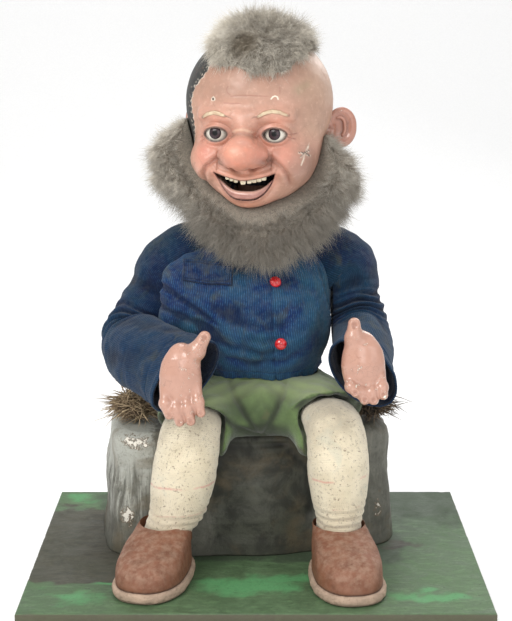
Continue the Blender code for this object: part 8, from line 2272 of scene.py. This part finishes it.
def pad_finish(name, colour):
    """The pad under the hairs: matted fibres of one dark tone, painted shade deep in the fur."""
    def fill(tree, shader, place):
        matt = noise(tree, place, 420.0, 6.0, 0.8, 1.2)
        base = blend_of(tree, span(tree, matt, 0.35, 0.7), colour, toned(colour, 0.42))
        feed(tree, shader, base, None, matt, 0.0016, 0.9)
    return finish(name, fill, Roughness=0.95)


def clumps(points, ways, seed, scale, pull):
    """Lean of the hairs towards drifting clumps: a random field's value on each axis, the part along the hair
    taken out."""
    lean = np.stack([waves(points, seed + k, scale) for k in range(3)], axis=-1) * pull
    return lean - ways * (lean * ways).sum(axis=-1, keepdims=True)


def coat(name, roots, normals, comb, lengths_of, seed, body, material, slot, width=0.00020, lift=0.55):
    """A coat of hairs in one mesh: each leaves its root between the surface's normal and the comb direction,
    leans with its clump, bends on with the comb and droops, and wavers by a seeded curl."""
    rng = np.random.default_rng(seed)
    count = len(roots)
    way = normals * lift + comb * (1.0 - lift) + clumps(roots, normals, 600, 0.024, 0.55) + clumps(
        roots, normals, 607, 0.010, 0.50)
    way += rng.normal(size=(count, 3)) * 0.20
    way /= np.linalg.norm(way, axis=1, keepdims=True)
    bend = comb * 0.25 + clumps(roots, normals, 613, 0.014, 0.45) + rng.normal(size=(count, 3)) * 0.22 + (0.0, 0.0,
                                                                                                          -0.10)
    size = lengths_of * rng.uniform(0.62, 1.08, count)
    stray = rng.random(count) < 0.03
    size = np.where(stray, size * 1.25, size)
    phase, twist = rng.uniform(0.0, TAU, count), rng.uniform(4.0, 8.0, count)
    side, up = across_of(way, np.where(np.abs(way[:, 2:]) < 0.8, np.array((0.0, 0.0, 1.0)), np.array((1.0, 0.0, 0.0))))

    def curl(share):
        turn = phase[:, None] + twist[:, None] * share
        grow = (share ** 1.2)[None, :] * size[:, None] * 0.075
        return (np.cos(turn) * grow)[..., None] * side[:, None] + (np.sin(turn) * grow)[..., None] * up[:, None]
    mesh = strands(name, roots - normals * 0.0006, way, bend, size, rng.uniform(0.7, 1.25, count) * width, 3, 4, curl)
    return object_of(name, to_world_mesh(mesh), body, material)


def to_world_mesh(mesh):
    """Move a mesh made in the head's frame into the world."""
    points = np.empty(len(mesh.vertices) * 3, dtype=np.float32)
    mesh.vertices.foreach_get("co", points)
    mesh.vertices.foreach_set("co", to_world(points.reshape(-1, 3).astype(float)).astype(np.float32).ravel())
    mesh.update()
    return mesh


def sample_patch(grid, count, seed, weight=None):
    """Random points on an open grid, spread by area, with their normals and their place (row, column) from 0 to 1."""
    rng = np.random.default_rng(seed)
    rows, columns = grid.shape[:2]
    a, b, c, d = grid[:-1, :-1], grid[:-1, 1:], grid[1:, :-1], grid[1:, 1:]
    area = np.linalg.norm(np.cross(b - a, c - a), axis=2) + np.linalg.norm(np.cross(b - d, c - d), axis=2)
    if weight is not None:
        area = area * weight[:-1, :-1]
    share = np.cumsum(area.ravel()) / area.sum()
    cell = np.searchsorted(share, rng.random(count))
    r, k = np.unravel_index(np.minimum(cell, area.size - 1), area.shape)
    s, t = rng.random(count)[:, None], rng.random(count)[:, None]
    point = (grid[r, k] * (1 - s) + grid[r, k + 1] * s) * (1 - t) + (grid[r + 1, k] * (1 - s) + grid[r + 1, k + 1]
                                                                     * s) * t
    normal = np.cross(grid[r, k + 1] - grid[r, k], grid[r + 1, k] - grid[r, k])
    normal /= np.linalg.norm(normal, axis=1, keepdims=True) + 1e-12
    return point, normal, (r + t[:, 0]) / (rows - 1), (k + s[:, 0]) / (columns - 1)


# Angle round the jaw from straight down, reach of the pad, and where it starts and ends from the face's middle
BEARD_OUTLINE = np.array(((-97, 0.108, 72, 88), (-75, 0.135, 72, 92), (-58, 0.145, 71, 98), (-40, 0.137, 67, 92),
                          (-20, 0.154, 59, 80), (0, 0.175, 57, 71), (12, 0.181, 58, 72), (25, 0.163, 65, 84),
                          (45, 0.149, 76, 97), (60, 0.140, 79, 100), (75, 0.131, 80, 96), (97, 0.112, 78, 92)),
                         dtype=float)


# Where the pad ends to each side, in degrees round the jaw, and how far its hairs stand past it
BEARD_SWING = (-86.0, 74.0)
BEARD_HAIR_REACH = 0.0125


def beard_grids(rows=150, columns=64):
    """Inner and outer grids of the beard's pad: rows swing round the jaw from ear to ear, columns run from the
    face outward; the pad's reach is the outline's less the length of the hairs, and it is rounded at both edges."""
    swings = np.linspace(*BEARD_SWING, rows)
    size, start, end = (np.interp(swings, BEARD_OUTLINE[:, 0], BEARD_OUTLINE[:, k]) for k in (1, 2, 3))
    smooth = np.hanning(15) / np.hanning(15).sum()
    size, start, end = (np.convolve(np.pad(v, 7, mode="edge"), smooth, mode="valid") for v in (size, start, end))
    share = np.linspace(0.0, 1.0, columns)
    angle = np.radians(start[:, None] + (end - start)[:, None] * share[None, :])
    swing = np.radians(swings)[:, None]
    ways = np.stack([np.sin(angle) * np.sin(swing), -np.cos(angle), -np.sin(angle) * np.cos(swing)], axis=-1)
    base = head_radius(ways) + 0.0004
    near = np.clip(np.minimum(np.arange(rows), np.arange(rows)[::-1]) / 16.0, 0.0, 1.0)[:, None]
    swell = np.clip(np.sin(math.pi * np.clip(0.10 + 0.90 * share, 0.0, 0.985)), 0.0, 1.0)[None, :] ** 0.7
    lump = 1.0 + 0.05 * waves(ways, 91, 0.20) + 0.045 * waves(ways, 92, 0.07)
    reach = size[:, None] * lump - base - BEARD_HAIR_REACH
    full = np.maximum(reach, 0.003) * swell * ease(near, 0.0, 1.0) + 0.0012
    return ways * base[..., None], ways * (base + full)[..., None], swings





def beard_pieces(settings):
    """The beard: a matted pad and four meshes of hairs that comb outward and down from the face."""
    light, dark = tuple(settings.fur_light), tuple(settings.fur_dark)
    hairs = fur_finish("Beard fur", light, dark, (0.30, 0.235, 0.180))
    inner, outer, swings = beard_grids()
    pad = patch_mesh("Beard", to_world(outer), to_world(inner))
    # the pad's dark tone is painted shade deep in the beard
    piece = object_of("Beard", pad, "head", pad_finish("Beard undercoat", (0.30, 0.265, 0.215)))
    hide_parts("beard")
    count = int(settings.beard_hairs)
    bounds = [0.0, 0.26, 0.50, 0.74, 1.0]
    for index in range(4):
        first, last = (int(round(b * (len(outer) - 1))) for b in bounds[index:index + 2])
        first, last = max(0, first - 1), min(len(outer) - 1, last + 1)
        part = outer[first:last + 1]
        near = np.broadcast_to(1.0 + 0.9 * ease(np.linspace(0.0, 1.0, part.shape[1]), 0.30, 0.0), part.shape[:2])
        point, normal, r, k = sample_patch(part, count, 200 + index, near)
        normal *= np.sign((normal * point).sum(axis=1))[:, None]
        swing = np.radians(np.interp(first + r * (last - first), np.arange(len(swings)), swings))
        down = np.stack([np.sin(swing), 0.25 * (k - 0.35), -np.cos(swing) - 0.35], axis=1)
        rim = ease(k, 0.16, 0.0)[:, None]
        inward = np.stack([-np.sin(swing), np.full(count, -0.9), np.cos(swing) * 0.8], axis=1)
        down = down * (1.0 - rim) + inward * rim
        down -= normal * (down * normal).sum(axis=1, keepdims=True)
        down /= np.linalg.norm(down, axis=1, keepdims=True) + 1e-9
        out = ease(np.abs(np.degrees(swing)), 40.0, 85.0)[:, None]
        comb = down * (1.0 - 0.5 * out) + normal * 0.25
        size = 0.0150 + 0.0045 * ease(np.abs(np.degrees(swing)), 80.0, 10.0)
        size *= 0.62 + 0.38 * ease(k, 0.0, 0.2)
        size *= 1.0 + 0.30 * waves(point, 95, 0.020)
        coat(f"Beard_hair_{index + 1}", point, normal, comb, size, 300 + index, "head", hairs, "beard_fur", 0.00020,
             0.45)


WIG_TOP = np.array((0.10, -0.10, 1.0)) / np.linalg.norm((0.10, -0.10, 1.0))


def wig_grids(rows=70, columns=220, scale=0.62):
    """Inner and outer grids of the tuft's pad: rings about a line up through the crown, reaching 33 to 50 degrees."""
    turn = np.linspace(0.0, TAU, columns)
    side, ahead = across_of(WIG_TOP, np.array((1.0, 0.0, 0.0)))
    reach = np.radians(42.0 + 8.0 * np.clip(-np.sin(turn), 0.0, 1.0) ** 2 - 8.0 * np.abs(np.cos(turn)) ** 2
                       + 4.0 * bell(turn, math.radians(222.0), math.radians(26.0)))
    reach = reach * (1.0 + 0.03 * np.sin(turn * 5.0 + 1.0) + 0.02 * np.sin(turn * 11.0))
    share = np.linspace(0.03, 1.0, rows)
    angle = share[:, None] * reach[None, :]
    ways = (np.cos(angle)[..., None] * WIG_TOP + (np.sin(angle) * np.cos(turn))[..., None] * side
            + (np.sin(angle) * np.sin(turn))[..., None] * ahead)
    base = head_radius(ways)
    full = 0.0125 * scale * (1.0 - share ** 3 * 0.93)[:, None] * (1.0 + 0.45 * waves(ways, 93, 0.22)) + 0.0012
    return ways * (base + 0.0003)[..., None], ways * (base + full)[..., None]


def wig_pieces(settings):
    """The tuft of hair: a matted pad and three meshes of hairs combed forward and up from the crown."""
    light, dark = tuple(settings.fur_light), tuple(settings.fur_dark)
    hairs = fur_finish("Wig fur", toned(light, 0.98), dark, (0.34, 0.275, 0.215))
    inner, outer = wig_grids()
    columns = outer.shape[1]
    pad = patch_mesh("Wig", to_world(outer), to_world(inner))
    # the pad's dark tone is painted shade deep in the tuft
    piece = object_of("Wig", pad, "head", pad_finish("Wig shade pad", (0.34, 0.305, 0.25)))
    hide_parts("wig")
    count = int(settings.wig_hairs)
    for index in range(3):
        first, last = index * (columns - 1) // 3, (index + 1) * (columns - 1) // 3
        part = outer[:, first:last + 1]
        point, normal, r = sample_patch(part, count, 400 + index)[:3]
        normal *= np.sign((normal * point).sum(axis=1))[:, None]
        away = point / np.linalg.norm(point, axis=1, keepdims=True) - WIG_TOP * 0.75
        comb = away + np.array((0.10, -0.55, 0.05))
        comb -= normal * (comb * normal).sum(axis=1, keepdims=True)
        comb /= np.linalg.norm(comb, axis=1, keepdims=True) + 1e-9
        front = ease(-point[:, 1], 0.030, 0.062)
        size = 0.0190 - 0.0050 * ease(r, 0.70, 1.0) - 0.0020 * front
        size *= 1.0 + 0.40 * waves(point, 96, 0.022)
        coat(f"Wig_hair_{index + 1}", point, normal, comb, size, 500 + index, "head", hairs, "wig_fur", 0.00020, 0.50)


# Mechanism

def fibre_look():
    """Pressed fibre: red-brown with fine specks and turning marks."""
    return plain_finish("Cam fibre", (0.17, 0.055, 0.028), (0.09, 0.030, 0.018), 0.55, 70.0, 0.0002, 700.0)


def mechanism_finishes():
    """Finishes for the solids that keep their shape, by the name of each solid's own material."""
    steel = metal_finish("Bright steel", (0.56, 0.55, 0.53), (0.30, 0.28, 0.26), 0.28)
    brass = metal_finish("Plain brass", (0.66, 0.49, 0.21), (0.34, 0.24, 0.10), 0.30)
    return {
        "bright_steel": steel,
        "plain_brass": brass,
        "block_wood": wood_finish("Block wood", (0.47, 0.31, 0.17), (0.27, 0.16, 0.08)),
        "cradle_wood": wood_finish("Cradle wood", (0.40, 0.25, 0.13), (0.22, 0.13, 0.06), (60.0, 6.0, 60.0)),
        # near black navy: painted shade for the block seen through the mouth
        "head_block_wood": wood_finish("Head block shade", (0.026, 0.026, 0.038), (0.012, 0.012, 0.018),
                                       (60.0, 60.0, 6.0)),
        "motor_enamel": plain_finish("Motor enamel", (0.035, 0.038, 0.040), (0.016, 0.017, 0.018), 0.38, 60.0, 0.0001,
                                     900.0, Coat_Weight=0.3),
        "cam_fibre": fibre_look(),
        "bust_card": plain_finish("Bust card", (0.46, 0.38, 0.27), (0.30, 0.23, 0.15), 0.85, 40.0, 0.0006, 420.0),
        "neck_card": plain_finish("Neck card", (0.34, 0.19, 0.13), (0.20, 0.10, 0.065), 0.7, 60.0, 0.0004, 500.0),
        "grommet_rubber": plain_finish("Grommet rubber", (0.020, 0.020, 0.020), (0.045, 0.043, 0.040), 0.75, 120.0,
                                       0.0002, 900.0),
    }


def dress_solids():
    """Give each packed solid that stays its finish, matched by the name of its own material."""
    looks = mechanism_finishes()
    dressed = 0
    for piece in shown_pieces():
        for slot in piece.material_slots:
            key = (slot.material.name if slot.material else "").split(".")[0]
            # the neck bush takes the same near black as painted shade inside the head
            if piece.name.split(".")[0] == "neck_bush":
                key = "head_block_wood"
            if key in looks:
                slot.material = looks[key]
                dressed += 1
    if not dressed:
        raise RuntimeError("no packed solid took a finish")


# Stage

SWEEP_FRONT, SWEEP_BEND_Y, SWEEP_RADIUS, SWEEP_BACK, SWEEP_TOP, SWEEP_HALF = -3.2, 1.6, 1.2, 2.8, 4.2, 3.6
SKY_STRENGTH = 0.68
SENSOR_WIDTH = 36.0
CAMERA_PLACE = (0.0, -1.635, 0.644)
# Degrees that the camera looks down
CAMERA_PITCH = 12.15
# Name, place, aim, size, power and tone of each lamp
LAMPS = (("Key", (-1.15, -1.55, 1.75), (0.0, 0.0, 0.30), 1.1, 35.0, (1.0, 0.985, 0.96)),
         ("Fill", (1.50, -1.45, 1.05), (0.0, 0.0, 0.28), 1.5, 9.0, (0.97, 0.985, 1.0)),
         ("Top", (0.10, 0.35, 2.20), (0.0, 0.05, 0.25), 1.3, 17.0, (1.0, 1.0, 1.0)),
         ("Back", (0.9, 1.35, 1.30), (0.0, 0.1, 0.35), 0.9, 9.0, (1.0, 0.99, 0.97)),
         ("Front", (0.05, -2.30, 0.85), (0.0, 0.0, 0.30), 1.0, 7.0, (1.0, 1.0, 1.0)))


def stage_pieces(settings):
    """A pale sweep of floor that rises behind, five soft lights and the camera."""
    turn = np.linspace(0.0, math.pi / 2, 26)
    rows = np.concatenate([np.linspace(SWEEP_FRONT, SWEEP_BEND_Y, 30),
                           SWEEP_BEND_Y + SWEEP_RADIUS * np.sin(turn)[1:], [SWEEP_BACK]])
    heights = np.concatenate([np.zeros(30), SWEEP_RADIUS - SWEEP_RADIUS * np.cos(turn)[1:], [SWEEP_TOP]])
    across = np.linspace(-SWEEP_HALF, SWEEP_HALF, 40)
    grid = np.stack([np.broadcast_to(across[None], (len(rows), 40)), np.broadcast_to(rows[:, None], (len(rows), 40)),
                     np.broadcast_to(heights[:, None], (len(rows), 40))], axis=-1).copy()
    grid[..., 2] -= 0.0004
    mesh = mesh_of("Sweep", grid.reshape(-1, 3), grid_faces(len(rows), 40))
    floor = bpy.data.objects.new("Sweep", mesh)
    bpy.context.scene.collection.objects.link(floor)

    def paper(tree, shader, place):
        grain = noise(tree, place, 240.0, 5.0)
        feed(tree, shader, blend_of(tree, span(tree, grain, 0.3, 0.7), (0.93, 0.93, 0.93), (0.90, 0.90, 0.90)), None,
             grain,
             0.0002, 0.1)
    mesh.materials.append(finish("Sweep paper", paper, Roughness=0.9))
    lamps = []
    for name, place, aim, size, power, tone in LAMPS:
        data = bpy.data.lights.new(name, "AREA")
        data.shape, data.size, data.energy, data.color = "DISK", size, power * settings.light, tone
        lamp = bpy.data.objects.new(name, data)
        lamp.location = place
        way = np.array(aim) - np.array(place)
        way /= np.linalg.norm(way)
        lamp.rotation_euler = (math.acos(-way[2]), 0.0, math.atan2(way[0], -way[1]) + math.pi)
        bpy.context.scene.collection.objects.link(lamp)
        lamps.append(lamp)
    world = bpy.data.worlds.new("Studio")
    world.use_nodes = True
    back = world.node_tree.nodes["Background"]
    back.inputs["Color"].default_value = (1.0, 1.0, 1.0, 1.0)
    back.inputs["Strength"].default_value = SKY_STRENGTH
    bpy.context.scene.world = world
    data = bpy.data.cameras.new("Camera")
    data.sensor_width = SENSOR_WIDTH
    data.lens = settings.lens
    camera = bpy.data.objects.new("Camera", data)
    camera.location = CAMERA_PLACE
    camera.rotation_euler = (math.radians(90.0 - CAMERA_PITCH), 0.0, 0.0)
    bpy.context.scene.collection.objects.link(camera)
    bpy.context.scene.camera = camera
    bpy.context.scene.view_settings.view_transform = "Standard"
    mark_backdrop(floor, *lamps, camera)


# Add-on

def colour_of(name, value):
    """A colour property with a word on what it paints."""
    return FloatVectorProperty(name=name, description=f"Linear colour of the {name.lower()}", subtype="COLOR", size=3,
                               min=0.0, max=1.0, default=value)


class AutomatonBase(bpy.types.PropertyGroup):
    """Colours of the board, the rock and the straw."""
    green: colour_of("Board green", (0.074, 0.132, 0.060))
    brown: colour_of("Board brown", (0.064, 0.056, 0.039))
    grey: colour_of("Rock grey", (0.122, 0.119, 0.095))
    moss: colour_of("Rock moss", (0.046, 0.048, 0.033))
    straws: IntProperty(name="Straws", description="How many stalks are in each tuft", default=1100, min=50, max=4000)


class AutomatonLegs(bpy.types.PropertyGroup):
    """Colours of the stockings, the shoes and the shorts."""
    wool: colour_of("Stocking wool", (0.720, 0.640, 0.480))
    speck: colour_of("Stocking speckle", (0.170, 0.115, 0.075))
    leather: colour_of("Shoe leather", (0.215, 0.082, 0.042))
    sole: colour_of("Sole felt", (0.450, 0.325, 0.240))
    felt: colour_of("Shorts felt", (0.088, 0.140, 0.045))


class AutomatonCloth(bpy.types.PropertyGroup):
    """Colours of the jacket, its sleeves and its buttons."""
    blue: colour_of("Cord blue", (0.0046, 0.0185, 0.078))
    faded: colour_of("Cord faded", (0.0095, 0.040, 0.092))
    dusty: colour_of("Cord dust", (0.034, 0.052, 0.054))
    red: colour_of("Button red", (0.620, 0.018, 0.022))


class AutomatonHead(bpy.types.PropertyGroup):
    """Colours of the painted face and hands and of the fur, and how much fur there is."""
    skin: colour_of("Skin", (0.560, 0.300, 0.220))
    hand: colour_of("Hand", (0.470, 0.258, 0.190))
    cheek: colour_of("Cheek", (0.550, 0.180, 0.125))
    brown: colour_of("Forehead", (0.420, 0.245, 0.175))
    fur_light: colour_of("Fur light", (0.860, 0.810, 0.710))
    fur_dark: colour_of("Fur dark", (0.430, 0.390, 0.330))
    beard_hairs: IntProperty(name="Beard hairs", description="How many hairs each of the beard's four meshes has",
                             default=8000, min=100, max=9000)
    wig_hairs: IntProperty(name="Wig hairs", description="How many hairs each of the tuft's three meshes has",
                           default=7000, min=100, max=9000)


class AutomatonStage(bpy.types.PropertyGroup):
    """Strength of the lights and the camera's lens."""
    light: FloatProperty(name="Light", description="Factor on the power of every lamp", default=1.0, min=0.0, max=10.0)
    lens: FloatProperty(name="Lens", description="Focal length of the camera in millimetres", default=86.96, min=10.0,
                        max=300.0, subtype="DISTANCE_CAMERA", unit="CAMERA")


class AUTOMATON_OT_base(bpy.types.Operator):
    """Build the board, the rock and both tufts of straw"""
    bl_idname = "automaton.base"
    bl_label = "Board, rock and straw"

    def execute(self, context):
        """Build the group."""
        settings = context.scene.automaton_base
        board_piece(settings)
        rock_piece(settings)
        straw_piece("straw_left", "Straw left", ((0.50, 0.385, 0.24), (0.175, 0.115, 0.065)), 21, settings.straws, 0.05)
        straw_piece("straw_right", "Straw right", ((0.20, 0.14, 0.085), (0.050, 0.034, 0.024)), 22, settings.straws,
                    0.02)
        return {"FINISHED"}


class AUTOMATON_OT_legs(bpy.types.Operator):
    """Build the shorts, the stockings and the shoes"""
    bl_idname = "automaton.legs"
    bl_label = "Shorts, stockings and shoes"

    def execute(self, context):
        """Build the group."""
        settings = context.scene.automaton_legs
        wool = wool_finish(tuple(settings.wool), tuple(settings.speck))
        leather = leather_finish(tuple(settings.leather), toned(settings.leather, 0.72))
        felt = sole_finish(tuple(settings.sole))
        for side in ("left", "right"):
            stocking_piece(side, wool)
            shoe_piece(side, leather, felt)
        shorts_piece(settings)
        return {"FINISHED"}


class AUTOMATON_OT_cloth(bpy.types.Operator):
    """Build the jacket with its flap and buttons and both sleeves"""
    bl_idname = "automaton.cloth"
    bl_label = "Jacket and sleeves"

    def execute(self, context):
        """Build the group."""
        jacket_pieces(context.scene.automaton_cloth)
        sleeve_pieces(context.scene.automaton_cloth)
        return {"FINISHED"}


class AUTOMATON_OT_head(bpy.types.Operator):
    """Build the painted head, its eyes, teeth, lip and ears, and the hands"""
    bl_idname = "automaton.head"
    bl_label = "Head and hands"

    def execute(self, context):
        """Build the group."""
        settings = context.scene.automaton_head
        mask_piece(settings)
        back_piece()
        ear_pieces()
        eye_pieces()
        teeth_piece()
        jaw_piece()
        hand_pieces(settings)
        return {"FINISHED"}


class AUTOMATON_OT_fur(bpy.types.Operator):
    """Build the beard and the tuft of hair"""
    bl_idname = "automaton.fur"
    bl_label = "Beard and hair"

    def execute(self, context):
        """Build the group."""
        beard_pieces(context.scene.automaton_head)
        wig_pieces(context.scene.automaton_head)
        return {"FINISHED"}


class AUTOMATON_OT_mechanism(bpy.types.Operator):
    """Give the packed solids that stay their finishes"""
    bl_idname = "automaton.mechanism"
    bl_label = "Mechanism finishes"

    def execute(self, context):
        """Dress the solids."""
        dress_solids()
        return {"FINISHED"}


class AUTOMATON_OT_stage(bpy.types.Operator):
    """Build the floor, the lights and the camera"""
    bl_idname = "automaton.stage"
    bl_label = "Stage"

    def execute(self, context):
        """Build the stage."""
        stage_pieces(context.scene.automaton_stage)
        return {"FINISHED"}


OPERATORS = (AUTOMATON_OT_base, AUTOMATON_OT_legs, AUTOMATON_OT_cloth, AUTOMATON_OT_head, AUTOMATON_OT_fur,
             AUTOMATON_OT_mechanism, AUTOMATON_OT_stage)
GROUPS = (("automaton_base", AutomatonBase), ("automaton_legs", AutomatonLegs), ("automaton_cloth", AutomatonCloth),
          ("automaton_head", AutomatonHead), ("automaton_stage", AutomatonStage))


class AUTOMATON_PT_panel(bpy.types.Panel):
    """Sidebar panel of the automaton"""
    bl_label = "Automaton"
    bl_idname = "AUTOMATON_PT_panel"
    bl_space_type = "VIEW_3D"
    bl_region_type = "UI"
    bl_category = "Automaton"

    def draw(self, context):
        """Show every value and one button for each group."""
        for name, group in GROUPS:
            box = self.layout.box()
            box.label(text=group.__doc__)
            for key in group.__annotations__:
                box.prop(getattr(context.scene, name), key)
        for operator in OPERATORS:
            self.layout.operator(operator.bl_idname)


def register():
    """Add the classes and their values to Blender."""
    for name, group in GROUPS:
        bpy.utils.register_class(group)
        setattr(bpy.types.Scene, name, PointerProperty(type=group))
    for made in (*OPERATORS, AUTOMATON_PT_panel):
        bpy.utils.register_class(made)


def unregister():
    """Take them out again."""
    for made in (AUTOMATON_PT_panel, *reversed(OPERATORS)):
        bpy.utils.unregister_class(made)
    for name, group in reversed(GROUPS):
        delattr(bpy.types.Scene, name)
        bpy.utils.unregister_class(group)


def main():
    """Build everything in order."""
    register()
    bpy.ops.automaton.base()
    bpy.ops.automaton.legs()
    bpy.ops.automaton.cloth()
    bpy.ops.automaton.head()
    bpy.ops.automaton.fur()
    bpy.ops.automaton.mechanism()
    bpy.ops.automaton.stage()


if __name__ == "__main__":
    main()
